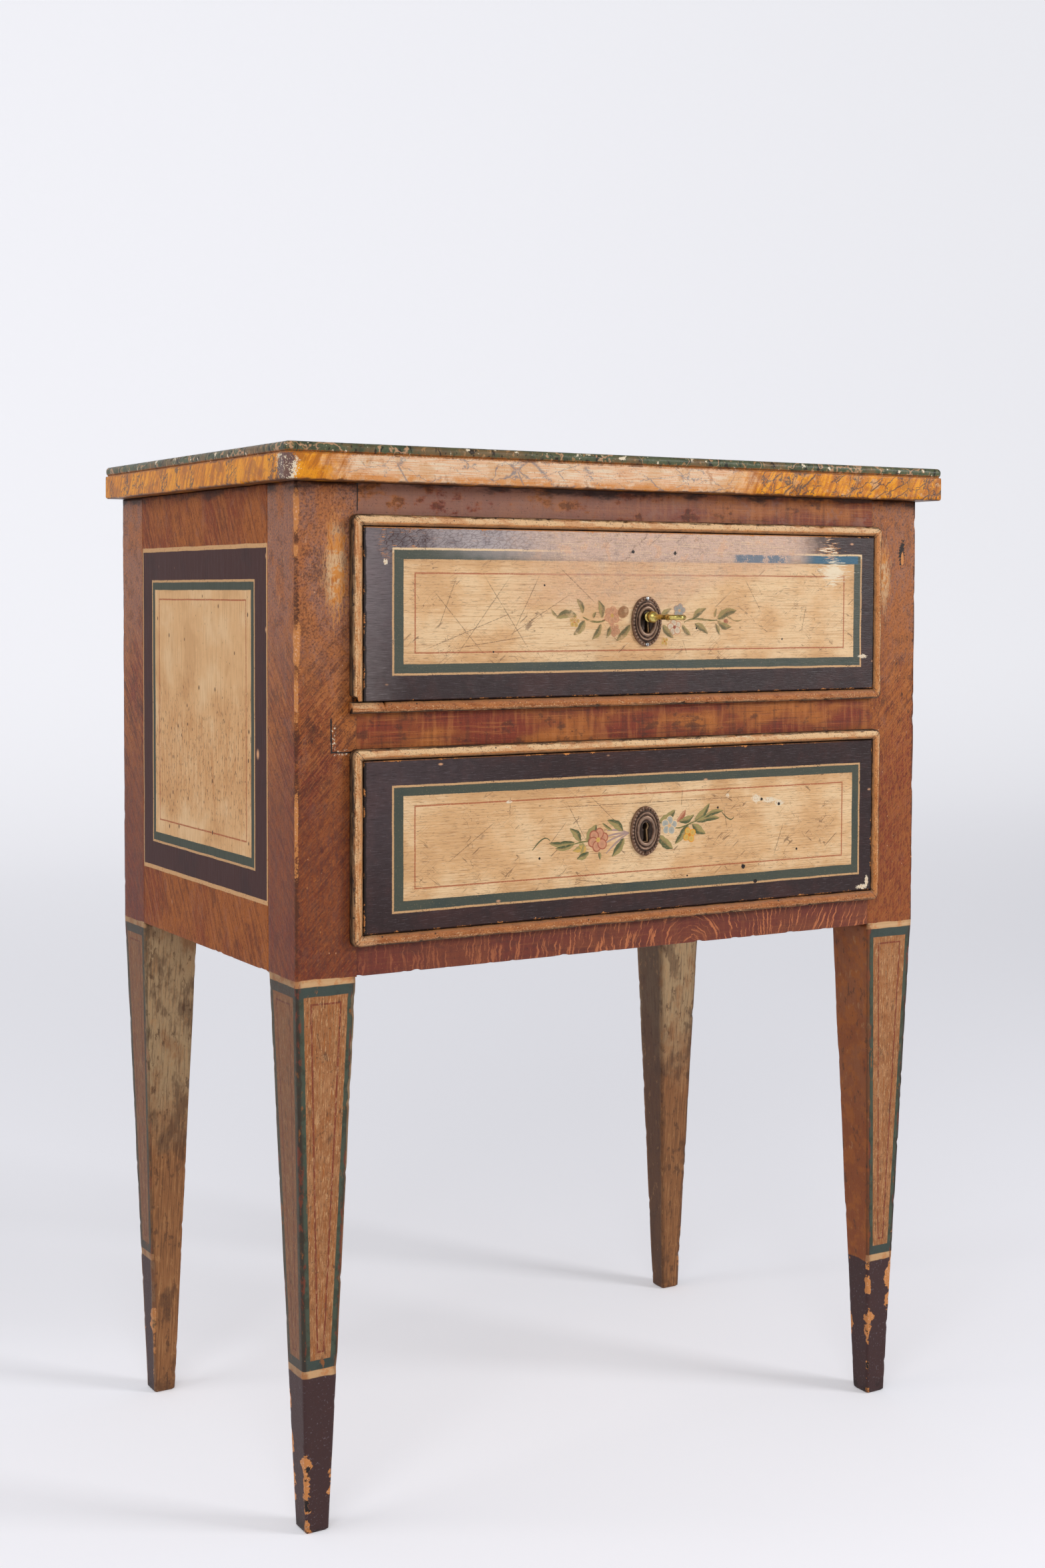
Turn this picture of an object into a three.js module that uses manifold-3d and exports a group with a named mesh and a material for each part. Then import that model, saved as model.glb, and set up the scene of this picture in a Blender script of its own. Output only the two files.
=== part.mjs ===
// Painted commode chest: four corner posts that taper into tall square legs carry a framed
// case under a moulded top, with two lipped, dovetailed drawers, their locks and one key.
// Millimetres, +X to the right, +Y to the back, +Z up, floor at zero, centred on the outer box.

import * as THREE from 'three';
import { mergeVertices } from 'three/addons/utils/BufferGeometryUtils.js';
import Module from 'manifold-3d';

const wasm = await Module();
wasm.setup();

// Case and legs
const CASE_WIDTH = 622;
const CASE_DEPTH = 385;
const LEG_HEIGHT = 444;
const BOTTOM_RAIL = 29;
const OPENING = 145.5;
const MIDDLE_RAIL = 37.5;
const TOP_RAIL = 29.5;
const RAIL_DEPTH = 46;
const POST = 52;
const FOOT = 20;
const LEG_INSET = 14.6;
const FOOT_ROUND = 1.5;
const ARRIS = 1.2;

// Top board: a bead over a quirk over a flat fascia
const FASCIA = 20.5;
const FASCIA_ROUND = 2;
const FASCIA_EASE = 0.7;
const QUIRK = 1;
const QUIRK_DEPTH = 1.6;
const BEAD = 7.5;
const BEAD_ROUND = 4;
const BEAD_SETBACK = 0.5;
const SIDE_OVERHANG = 16;
const FRONT_OVERHANG = 19;
const TOP_CORNER = 5;

// Joinery of the case
const FIT = 0.3;
const OVERRUN = 5;
const TENON = 20;
const TENON_THICK = 12;
const TENON_SETBACK = 10;
const TENON_SHOULDER = 5;
const BACK_RAIL = 20;
const BACK_TENON_THICK = 8;
const BACK_BOARD = 12;
const REBATE = 14;
const PANEL = 18;
const TONGUE = 8;
const TONGUE_STOP = 14;
const BOARD_SEAM = 0.6;

// Runners, guides and kickers inside the case
const RUNNER_WIDTH = 22;
const STUB = 8;
const STUB_THICK = 8;
const STUB_INSET = 3;
const GUIDE_RISE = 22;
const KICKER = 20;
const BOTTOM_BOARD = 8;
const GLUE_BLOCK = 20;
const GLUE_BLOCK_LENGTH = 180;

// Drawer fronts: a raised field inside an applied half-round strip that laps over the case
const SIDE_LIP = 6.5;
const LEVEL_LIP = 5;
const LIP_GAP = 1;
const FRONT_PLUG = 20;
const FIELD_RISE = 7.3;
const FIELD_EASE = 0.8;
const STRIP_WIDTH = 9.5;
const STRIP_BEAD = 7.5;
const STRIP_WALL = 4.6;
const STRIP_CROWN = 2.7;
const STRIP_QUIRK = 4;
const STRIP_CORNER = 6;
const CHIP_WIDTH = 4.5;
const CHIP_LENGTH = 4.7;
const PATCH_LENGTH = 29;
const PATCH_SLANT = 3;

// Drawer boxes
const SIDE_PLAY = 0.8;
const RUN_GAP = 0.4;
const TOP_PLAY = 4;
const SIDE_BOARD = 12;
const TAIL_LENGTH = 13;
const DRAWER_BACK = 10;
const BACK_DROP = 8;
const DRAWER_BOTTOM = 8;
const BOTTOM_RISE = 8;
const BOTTOM_GROOVE = 5;
const TAIL_COUNT = 3;
const TAIL_SHARE = 0.56;
const TAIL_SLOPE_SHARE = 0.16;

// Locks, key and escutcheons
const LOCK_OFFSET = 8;
const UPPER_LOCK_DROP = 6.7;
const LOWER_LOCK_DROP = 0.7;
const LOCK_WIDTH = 64;
const LOCK_DEPTH = 11;
const LOCK_BELOW_KEY = 18;
const LOCK_WALL = 1.5;
const SELVAGE_LENGTH = 84;
const SELVAGE = 2.5;
const BOLT_WIDTH = 20;
const BOLT_THICK = 5;
const BOLT_THROW = 7;
const MORTISE_PLAY = 1;
const KEYHOLE_RADIUS = 3.5;
const KEYHOLE_NECK = 4.4;
const KEYHOLE_FOOT = 6;
const KEYHOLE_HEIGHT = 16.4;
const KEY_RISE = 3.8;
const SHANK_RADIUS = 2.5;
const BIT_LENGTH = 9.5;
const BIT_THICK = 2.6;
const BIT_WIDTH = 6;
const BIT_PLAY = 1;
const COLLAR_RADIUS = 4.4;
const COLLAR_LENGTH = 1.6;
const BALL_RADIUS = 5;
const BALL_REACH = 9.5;
const NECK_RADIUS = 2.15;
const BOW_WIDTH = 18;
const BOW_LENGTH = 16.5;
const BOW_RADIUS = 2.3;
const KEY_REACH = 50;
const PLATE_HEIGHT = 42;
const PLATE_WIDTH = 30;
const PLATE_EDGE = 1.3;
const PLATE_FLOOR = 1.6;
const PLATE_RING = 2.2;
const PLATE_RIM = 3.2;
const BEAD_RADIUS = 1.3;
const BEAD_PLACES = 34;
const NAIL_HEAD = 1.7;
const NAIL_DOME = 1.3;
const NAIL_SHANK = 0.8;
const NAIL_LENGTH = 8;

// Places worked out from the sizes above
const HALF_WIDTH = CASE_WIDTH / 2;
const HALF_DEPTH = CASE_DEPTH / 2;
const FACE = -HALF_DEPTH;
const OPEN_HALF = HALF_WIDTH - POST;
const LOWER_OPENING = LEG_HEIGHT + BOTTOM_RAIL;
const MIDDLE_RAIL_LOW = LOWER_OPENING + OPENING;
const UPPER_OPENING = MIDDLE_RAIL_LOW + MIDDLE_RAIL;
const TOP_RAIL_LOW = UPPER_OPENING + OPENING;
const CASE_TOP = TOP_RAIL_LOW + TOP_RAIL;
const HEIGHT = CASE_TOP + FASCIA + QUIRK + BEAD;
const BACK_INSIDE = HALF_DEPTH - BACK_BOARD;
const BACK_RAIL_FRONT = BACK_INSIDE - BACK_RAIL;
const FRONT_RAIL_BACK = FACE + RAIL_DEPTH;
const SIDE_INSIDE = HALF_WIDTH - PANEL;
const POST_GAP = HALF_DEPTH - POST;
const STRIP_BACK = FACE - LIP_GAP;
const SHOULDER_FACE = STRIP_BACK + FIT;
const FIELD_FACE = FACE - FIELD_RISE;
const BOARD_BACK = SHOULDER_FACE + FRONT_PLUG;
const LIP_HALF = OPEN_HALF + SIDE_LIP;
const FIELD_HALF = LIP_HALF - STRIP_WIDTH - FIT;
const DRAWER_HALF = OPEN_HALF - SIDE_PLAY;
const DRAWER_REAR = BACK_INSIDE - FIT;
const PLATE_BACK = FIELD_FACE - FIT;
const BEAD_TRACK = PLATE_HEIGHT / 2 - BEAD_RADIUS - FIT;
const KEY_END = PLATE_BACK - PLATE_FLOOR - KEY_REACH;
const CENTRE_SHIFT = -(KEY_END + HALF_DEPTH) / 2;

// Colours read from the worn paint, the bare wood and the metal
const finish = (color, roughness, metalness) => (
  new THREE.MeshStandardMaterial({ color, roughness, metalness })
);
const FINISH = {
  casePaint: finish(0x784628, 0.55, 0),
  legPaint: finish(0xb8925f, 0.6, 0),
  topPaint: finish(0xcf9140, 0.4, 0),
  drawerPaint: finish(0x4a3434, 0.45, 0),
  stripPaint: finish(0xb97d3c, 0.5, 0),
  bareWood: finish(0xa07a4e, 0.75, 0),
  iron: finish(0x3a3836, 0.5, 0.9),
  bronze: finish(0x5f4b41, 0.4, 0.9),
  steel: finish(0xb9bcc0, 0.3, 1),
  brass: finish(0xbea550, 0.3, 1),
};

const commode = new THREE.Group();
commode.position.y = CENTRE_SHIFT;

// Closed geometry to a solid that can be joined and cut
function solidOf(geometry) {
  const bare = geometry.clone();
  bare.deleteAttribute('normal');
  bare.deleteAttribute('uv');
  const merged = mergeVertices(bare);
  return new wasm.Manifold(new wasm.Mesh({
    numProp: 3,
    vertProperties: Float32Array.from(merged.attributes.position.array),
    triVerts: Uint32Array.from(merged.index.array),
  }));
}

// A finished solid becomes a named piece of the commode
function piece(name, solid, material) {
  const { vertProperties, triVerts } = solid.getMesh();
  const shape = new THREE.BufferGeometry();
  shape.setAttribute('position', new THREE.BufferAttribute(vertProperties, 3));
  shape.setIndex(new THREE.BufferAttribute(triVerts, 1));
  const flat = shape.toNonIndexed();
  flat.computeVertexNormals();
  const mesh = new THREE.Mesh(flat, material);
  mesh.name = name;
  commode.add(mesh);
}

// A squared block between a low and a high value along each axis
function block(x, y, z) {
  const size = [x, y, z].map(([low, high]) => Math.abs(high - low));
  const middle = [x, y, z].map(([low, high]) => (low + high) / 2);
  return solidOf(new THREE.BoxGeometry(...size).translate(...middle));
}

// A span measured from the centre outwards, turned to the left or right half
const span = (side, near, far) => [Math.min(side * near, side * far), Math.max(side * near, side * far)];

// A flat outline drawn out along one axis: x takes (y, z) points, y takes (x, z), z takes (x, y)
const ACROSS = new THREE.Vector3(1, 0, 0);
const DEEP = new THREE.Vector3(0, 1, 0);
const UP = new THREE.Vector3(0, 0, 1);
const BASES = { x: [DEEP, UP, ACROSS], y: [UP, ACROSS, DEEP], z: [ACROSS, DEEP, UP] };

function prism(axis, points, [low, high]) {
  const outline = points.map(([a, b]) => (axis === 'y' ? new THREE.Vector2(b, a) : new THREE.Vector2(a, b)));
  const shape = new THREE.Shape(outline);
  const length = { depth: high - low, bevelEnabled: false, curveSegments: 1 };
  const drawn = new THREE.ExtrudeGeometry(shape, length);
  drawn.translate(0, 0, low);
  return solidOf(drawn.applyMatrix4(new THREE.Matrix4().makeBasis(...BASES[axis])));
}

// Rings of equal count, lowest first and turning left seen from above, skinned and capped
function loft(levels) {
  const corners = [];
  const face = (...points) => points.forEach((point) => corners.push(...point));
  const rings = levels.map(({ z, ring }) => ring.map(([x, y]) => [x, y, z]));
  rings.slice(1).forEach((high, index) => {
    const low = rings[index];
    low.forEach((point, i) => {
      const next = (i + 1) % low.length;
      face(point, low[next], high[next]);
      face(point, high[next], high[i]);
    });
  });
  const fan = THREE.ShapeUtils.triangulateShape(levels[0].ring.map(([x, y]) => new THREE.Vector2(x, y)), []);
  const last = rings.length - 1;
  fan.forEach(([a, b, c]) => {
    face(rings[0][c], rings[0][b], rings[0][a]);
    face(rings[last][a], rings[last][b], rings[last][c]);
  });
  const shape = new THREE.BufferGeometry();
  shape.setAttribute('position', new THREE.Float32BufferAttribute(corners, 3));
  return solidOf(shape);
}

// Points of an arc from one angle to another, ends included
function arc(centre, radii, from, to, steps) {
  return Array.from({ length: steps + 1 }, (_, i) => {
    const angle = from + (to - from) * i / steps;
    return [centre[0] + radii[0] * Math.cos(angle), centre[1] + radii[1] * Math.sin(angle)];
  });
}

// A turned form about an axis that runs from front to back, its profile given as (radius, y) points
function turned(profile, segments) {
  return solidOf(new THREE.LatheGeometry(profile.map(([r, y]) => new THREE.Vector2(r, y)), segments));
}

const joined = (solids) => solids.reduce((whole, next) => whole.add(next));
const cutAway = (solid, cuts) => cuts.reduce((left, cut) => left.subtract(cut), solid);

// The heights of the three rails, front and back
const RAIL_HEIGHTS = {
  bottom: [LEG_HEIGHT, LOWER_OPENING],
  middle: [MIDDLE_RAIL_LOW, UPPER_OPENING],
  top: [TOP_RAIL_LOW, CASE_TOP - FIT],
};
const TENON_DEPTHS = {
  front: [FACE + TENON_SETBACK, FACE + TENON_SETBACK + TENON_THICK],
  back: [BACK_INSIDE - (BACK_RAIL + BACK_TENON_THICK) / 2, BACK_INSIDE - (BACK_RAIL - BACK_TENON_THICK) / 2],
};
const grown = ([low, high], by) => [low - by, high + by];

// One post: a square stile above, a leg below that tapers on all four faces, eased arrises
function postRing(side, depth, size, inset) {
  const half = size / 2;
  const x = side * (HALF_WIDTH - inset - half);
  const y = depth * (HALF_DEPTH - inset - half);
  const eased = half - ARRIS;
  return [[1, 0], [0, 1], [-1, 0], [0, -1]].flatMap(([u, v]) => [-1, 1].map((turn) => [
    x + u * half - v * turn * eased,
    y + v * half + u * turn * eased,
  ]));
}

function post(side, depth) {
  const levels = [
    { z: 0, ring: postRing(side, depth, FOOT - 2 * FOOT_ROUND, LEG_INSET + FOOT_ROUND) },
    { z: FOOT_ROUND, ring: postRing(side, depth, FOOT, LEG_INSET) },
    { z: LEG_HEIGHT, ring: postRing(side, depth, POST, 0) },
    { z: CASE_TOP - FIT, ring: postRing(side, depth, POST, 0) },
  ];
  const tongueMiddle = HALF_WIDTH - PANEL / 2;
  const cuts = [block(
    span(side, tongueMiddle - TONGUE / 2 - FIT, tongueMiddle + TONGUE / 2 + FIT),
    span(depth, POST_GAP - OVERRUN, POST_GAP + TONGUE + FIT),
    [LEG_HEIGHT + TONGUE_STOP - FIT, CASE_TOP + OVERRUN],
  )];
  const mortiseDepth = grown(depth < 0 ? TENON_DEPTHS.front : TENON_DEPTHS.back, FIT);
  Object.values(RAIL_HEIGHTS).forEach((heights) => cuts.push(block(
    span(side, OPEN_HALF - OVERRUN, OPEN_HALF + TENON + FIT),
    mortiseDepth,
    grown(heights, FIT - TENON_SHOULDER),
  )));
  if (depth > 0) {
    cuts.push(block(
      span(side, OPEN_HALF - OVERRUN, OPEN_HALF + REBATE),
      [BACK_INSIDE, HALF_DEPTH + OVERRUN],
      [LEG_HEIGHT, CASE_TOP + OVERRUN],
    ));
  }
  return cutAway(loft(levels), cuts);
}

// A rail between two posts with a tenon at each end
function rail(heights, depths, tenonDepths) {
  const tenons = block(
    [-(OPEN_HALF + TENON), OPEN_HALF + TENON],
    tenonDepths,
    grown(heights, -TENON_SHOULDER),
  );
  return block([FIT - OPEN_HALF, OPEN_HALF - FIT], depths, heights).add(tenons);
}

// The stub tenons of a runner or kicker, and the mortises that the rails hold for them
function stub(side, heights, spread) {
  const middle = (heights[0] + heights[1]) / 2;
  return block(
    span(side, OPEN_HALF - RUNNER_WIDTH + STUB_INSET - spread, OPEN_HALF - FIT - STUB_INSET + spread),
    [FRONT_RAIL_BACK - STUB - spread, BACK_RAIL_FRONT + STUB + spread],
    grown([middle - STUB_THICK / 2, middle + STUB_THICK / 2], spread),
  );
}

function runner(side, heights) {
  const bar = block(
    span(side, OPEN_HALF - RUNNER_WIDTH, OPEN_HALF - FIT),
    [FRONT_RAIL_BACK + FIT, BACK_RAIL_FRONT - FIT],
    heights,
  );
  return bar.add(stub(side, heights, 0));
}

const RUNNER_HEIGHTS = {
  bottom: [LEG_HEIGHT + BOTTOM_BOARD + FIT, LOWER_OPENING],
  middle: [MIDDLE_RAIL_LOW, UPPER_OPENING],
  top: [TOP_RAIL_LOW, TOP_RAIL_LOW + KICKER],
};

function guide(side, runnerHeights) {
  return block(
    span(side, OPEN_HALF, SIDE_INSIDE - FIT),
    [FIT - POST_GAP, POST_GAP - FIT],
    [runnerHeights[0], runnerHeights[1] + GUIDE_RISE],
  );
}

// The side board of the case, with a tongue along each end for the grooves in the posts
function sidePanel(side) {
  const middle = HALF_WIDTH - PANEL / 2;
  const board = block(
    span(side, SIDE_INSIDE, HALF_WIDTH),
    [FIT - POST_GAP, POST_GAP - FIT],
    [LEG_HEIGHT, CASE_TOP - FIT],
  );
  const tongues = block(
    span(side, middle - TONGUE / 2, middle + TONGUE / 2),
    [-POST_GAP - TONGUE, POST_GAP + TONGUE],
    [LEG_HEIGHT + TONGUE_STOP, CASE_TOP - FIT],
  );
  return board.add(tongues);
}

function backBoard(heights) {
  const half = OPEN_HALF + REBATE - FIT;
  return block([-half, half], [BACK_INSIDE + FIT, HALF_DEPTH], heights);
}

// The thin board under the lower runners, notched round the four posts
function bottomBoard() {
  const wide = SIDE_INSIDE - FIT;
  const narrow = OPEN_HALF - FIT;
  const shallow = POST_GAP - FIT;
  const front = FRONT_RAIL_BACK + FIT;
  const back = BACK_RAIL_FRONT - FIT;
  const frontEdge = [[-wide, -shallow], [-narrow, -shallow], [-narrow, front]];
  const backEdge = [[wide, shallow], [narrow, shallow], [narrow, back]];
  const mirrored = (points) => points.map(([x, y]) => [-x, y]).reverse();
  const outline = [...frontEdge, ...mirrored(frontEdge), ...backEdge, ...mirrored(backEdge)];
  return prism('z', outline, [LEG_HEIGHT, LEG_HEIGHT + BOTTOM_BOARD]);
}

// Moulded top: one outline, drawn in by the edge profile at each height, its back edge plain
function topRing(inset) {
  const x = HALF_WIDTH + SIDE_OVERHANG - inset;
  const y = FACE - FRONT_OVERHANG + inset;
  const radius = TOP_CORNER - inset;
  const steps = 6;
  return [
    [x, HALF_DEPTH],
    [-x, HALF_DEPTH],
    ...arc([radius - x, y + radius], [radius, radius], Math.PI, 1.5 * Math.PI, steps),
    ...arc([x - radius, y + radius], [radius, radius], 1.5 * Math.PI, 2 * Math.PI, steps),
  ];
}

function topBoard() {
  const fasciaTop = CASE_TOP + FASCIA;
  const beadFoot = fasciaTop + QUIRK;
  const beadMiddle = beadFoot + BEAD / 2;
  const quarter = Math.PI / 2;
  const profile = [
    ...arc([FASCIA_ROUND, CASE_TOP + FASCIA_ROUND], [-FASCIA_ROUND, -FASCIA_ROUND], quarter, 0, 3),
    ...arc([FASCIA_EASE, fasciaTop - FASCIA_EASE], [-FASCIA_EASE, FASCIA_EASE], 0, quarter, 1),
    [BEAD_SETBACK + QUIRK_DEPTH, fasciaTop],
    ...arc([BEAD_SETBACK + QUIRK_DEPTH, beadMiddle], [-QUIRK_DEPTH, BEAD / 2], -quarter, 0, 4),
    ...arc([BEAD_SETBACK + BEAD_ROUND, beadMiddle], [-BEAD_ROUND, BEAD / 2], 0, quarter, 5).slice(1),
  ];
  return loft(profile.map(([inset, z]) => ({ z, ring: topRing(inset) })));
}

function glueBlock(side) {
  const inside = SIDE_INSIDE - FIT;
  const top = CASE_TOP - FIT;
  const outline = [
    [side * inside, top],
    [side * (inside - GLUE_BLOCK), top],
    [side * inside, top - GLUE_BLOCK],
  ];
  return prism('y', outline, [-GLUE_BLOCK_LENGTH / 2, GLUE_BLOCK_LENGTH / 2]);
}

// Where a drawer side lies across the width of its drawer
const boardSpan = (side) => span(side, DRAWER_HALF - SIDE_BOARD, DRAWER_HALF);

// Dovetails: wedges on the end of a drawer side, seen from the side, wider at the tip
function tailOutlines([low, high], root, tip, spread) {
  const pitch = (high - low) / TAIL_COUNT;
  const outward = Math.sign(tip - root);
  return Array.from({ length: TAIL_COUNT }, (_, i) => {
    const middle = low + pitch * (i + 0.5);
    const narrow = pitch * TAIL_SHARE / 2 + spread;
    const wide = narrow + Math.abs(tip - root) * TAIL_SLOPE_SHARE;
    const end = tip + outward * spread;
    return [[root, middle - narrow], [root, middle + narrow], [end, middle + wide], [end, middle - wide]];
  });
}

// The sizes that one drawer takes from its opening
function drawerPlan(name, opening, lockDrop) {
  const boardLow = opening + SIDE_PLAY;
  const boardHigh = opening + OPENING - SIDE_PLAY;
  const sideLow = opening + RUN_GAP;
  const sideHigh = opening + OPENING - TOP_PLAY;
  const bottomLow = sideLow + BOTTOM_RISE;
  const plateMiddle = opening + OPENING / 2 - lockDrop;
  return {
    name,
    opening,
    lipHeights: [opening - LEVEL_LIP, opening + OPENING + LEVEL_LIP],
    boardHeights: [boardLow, boardHigh],
    sideHeights: [sideLow, sideHigh],
    frontTailHeights: [boardLow, sideHigh],
    bottomHeights: [bottomLow, bottomLow + DRAWER_BOTTOM],
    backHeights: [bottomLow + DRAWER_BOTTOM + FIT, sideHigh - BACK_DROP],
    plateMiddle,
    keyHeight: plateMiddle + KEY_RISE,
  };
}

// Keyhole: a round top over a slot that flares towards its foot
function keyhole(plan, depths, spread) {
  const [x, z] = [LOCK_OFFSET, plan.keyHeight];
  const radius = KEYHOLE_RADIUS + spread;
  const neck = KEYHOLE_NECK / 2 + spread;
  const foot = KEYHOLE_FOOT / 2 + spread;
  const low = z + KEYHOLE_RADIUS - KEYHOLE_HEIGHT - spread;
  const start = -Math.acos(neck / radius);
  const outline = [
    [x - foot, low],
    [x + foot, low],
    ...arc([x, z], [radius, radius], start, Math.PI - start, 14),
  ];
  return prism('y', outline, depths);
}

// The two nails of an escutcheon take the top and the bottom place in its row of beads
function nailHeights(plan) {
  return { top: plan.plateMiddle + BEAD_TRACK, bottom: plan.plateMiddle - BEAD_TRACK };
}

function shaftHole(height, radius, depths) {
  const [low, high] = depths;
  const rod = turned([[0, low], [radius, low], [radius, high], [0, high]], 10);
  return rod.translate([LOCK_OFFSET, 0, height]);
}

// The lock's outer form, also the shape of its recess in the drawer front
function lockForm(plan, spread) {
  const top = plan.boardHeights[1];
  const depths = [BOARD_BACK - LOCK_DEPTH - spread, BOARD_BACK];
  const body = block(
    grown([LOCK_OFFSET - LOCK_WIDTH / 2, LOCK_OFFSET + LOCK_WIDTH / 2], spread),
    depths,
    [plan.keyHeight - LOCK_BELOW_KEY - spread, top - SELVAGE / 2],
  );
  const selvage = block(
    grown([LOCK_OFFSET - SELVAGE_LENGTH / 2, LOCK_OFFSET + SELVAGE_LENGTH / 2], spread),
    depths,
    [top - SELVAGE - spread, top],
  );
  return body.add(selvage);
}

// A drawer front: a board in the opening with a raised field, cut for all that it holds
function drawerFront(plan) {
  const [lipLow, lipHigh] = plan.lipHeights;
  const margin = STRIP_WIDTH + FIT;
  const plug = block([-DRAWER_HALF, DRAWER_HALF], [SHOULDER_FACE, BOARD_BACK], plan.boardHeights);
  const fieldRing = (inset) => [
    [-FIELD_HALF + inset, lipLow + margin + inset],
    [FIELD_HALF - inset, lipLow + margin + inset],
    [FIELD_HALF - inset, lipHigh - margin - inset],
    [-FIELD_HALF + inset, lipHigh - margin - inset],
  ];
  const field = loft([
    { z: -SHOULDER_FACE, ring: fieldRing(0) },
    { z: -FIELD_FACE - FIELD_EASE, ring: fieldRing(0) },
    { z: -FIELD_FACE, ring: fieldRing(FIELD_EASE) },
  ]).transform([1, 0, 0, 0, 0, 0, 1, 0, 0, -1, 0, 0, 0, 0, 0, 1]);
  const sockets = [-1, 1].flatMap((side) => tailOutlines(
    plan.frontTailHeights, BOARD_BACK + OVERRUN, BOARD_BACK - TAIL_LENGTH, FIT,
  ).map((outline) => prism('x', outline, grown(boardSpan(side), FIT))));
  const grooveHalf = DRAWER_HALF - SIDE_BOARD + BOTTOM_GROOVE;
  const groove = block(
    [-grooveHalf, grooveHalf],
    [BOARD_BACK - BOTTOM_GROOVE, BOARD_BACK + OVERRUN],
    grown(plan.bottomHeights, FIT),
  );
  const nails = Object.values(nailHeights(plan)).map((height) => shaftHole(
    height, NAIL_SHANK + FIT, [FIELD_FACE - OVERRUN, PLATE_BACK + NAIL_LENGTH + FIT],
  ));
  const recess = lockForm(plan, FIT).add(block(
    grown([LOCK_OFFSET - SELVAGE_LENGTH / 2, LOCK_OFFSET + SELVAGE_LENGTH / 2], FIT),
    [BOARD_BACK - LOCK_DEPTH - FIT, BOARD_BACK + OVERRUN],
    [plan.boardHeights[1] - SELVAGE - FIT, plan.boardHeights[1] + OVERRUN],
  )).add(block(
    grown([LOCK_OFFSET - LOCK_WIDTH / 2, LOCK_OFFSET + LOCK_WIDTH / 2], FIT),
    [BOARD_BACK - LOCK_DEPTH - FIT, BOARD_BACK + OVERRUN],
    [plan.keyHeight - LOCK_BELOW_KEY - FIT, plan.boardHeights[1]],
  ));
  return cutAway(plug.add(field), [
    ...sockets, groove, ...nails, recess, keyhole(plan, [FIELD_FACE - OVERRUN, BOARD_BACK], 0),
  ]);
}

// Beaded strip round a drawer front: the section, its width counted inwards from the outer edge
function stripSection() {
  const half = STRIP_BEAD / 2;
  return [
    [0, 0],
    [STRIP_WIDTH, 0],
    [STRIP_WIDTH, STRIP_QUIRK],
    [STRIP_BEAD, STRIP_QUIRK],
    ...arc([half, STRIP_WALL], [half, STRIP_CROWN], 0, Math.PI, 8),
  ];
}

// The depths that a cutting outline of a strip spans
const STRIP_REACH = [STRIP_BACK - STRIP_WALL - STRIP_CROWN - OVERRUN, STRIP_BACK + OVERRUN];

// The corner where two strips meet: cut to a mitre, rounded outside
function stripCorner(x, z, sides) {
  const [u, v] = sides;
  const centre = [x - u * STRIP_CORNER, z - v * STRIP_CORNER];
  return { centre, u, v };
}

function uprightStrip(plan, side, chipped) {
  const [lipLow, lipHigh] = plan.lipHeights;
  const low = lipLow + STRIP_WIDTH + FIT;
  const section = stripSection().map(([x, h]) => [side * (LIP_HALF - x), STRIP_BACK - h]);
  const bar = prism('z', section, [lipLow - OVERRUN, lipHigh + OVERRUN]);
  const quarter = Math.PI / 4;
  const top = stripCorner(side * LIP_HALF, lipHigh, [side, 1]);
  const foot = stripCorner(side * LIP_HALF, lipLow, [side, -1]);
  const corner = ({ centre, u, v }, from, to) => (
    arc(centre, [u * STRIP_CORNER, v * STRIP_CORNER], from, to, 3)
  );
  const inner = side * (LIP_HALF - STRIP_WIDTH);
  const clear = FIT * Math.SQRT1_2;
  const chipEdge = side * (LIP_HALF - CHIP_WIDTH);
  const start = chipped ? [
    [chipEdge, low],
    [chipEdge, low + CHIP_LENGTH],
    [side * LIP_HALF, low + CHIP_LENGTH],
  ] : corner(foot, quarter, 0).map(([x, z]) => [x, z + clear]);
  const outline = [
    ...start,
    ...corner(top, 0, quarter).map(([x, z]) => [x, z - clear]),
    [inner, lipHigh - STRIP_WIDTH - clear],
    [inner, chipped ? low : lipLow + STRIP_WIDTH + clear],
  ];
  return bar.intersect(prism('y', outline, STRIP_REACH));
}

function levelStrip(plan, rise, ends) {
  const edge = rise > 0 ? plan.lipHeights[1] : plan.lipHeights[0];
  const section = stripSection().map(([x, h]) => [STRIP_BACK - h, edge - rise * x]);
  const bar = prism('x', section, [-LIP_HALF - OVERRUN, LIP_HALF + OVERRUN]);
  const quarter = Math.PI / 4;
  const inner = edge - rise * STRIP_WIDTH;
  const clear = FIT * Math.SQRT1_2;
  const mitred = (side) => {
    const centre = [side * (LIP_HALF - STRIP_CORNER - clear), edge - rise * STRIP_CORNER];
    return [
      [side * (LIP_HALF - STRIP_WIDTH - clear), inner],
      ...arc(centre, [side * STRIP_CORNER, rise * STRIP_CORNER], quarter, 2 * quarter, 3),
    ];
  };
  const squared = ([innerX, outerX]) => [[innerX, inner], [outerX, edge]];
  const left = ends.left ? squared(ends.left) : mitred(-1);
  const right = ends.right ? squared(ends.right) : mitred(1);
  const outline = [...left, ...right.reverse()];
  return bar.intersect(prism('y', outline, STRIP_REACH));
}

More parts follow.
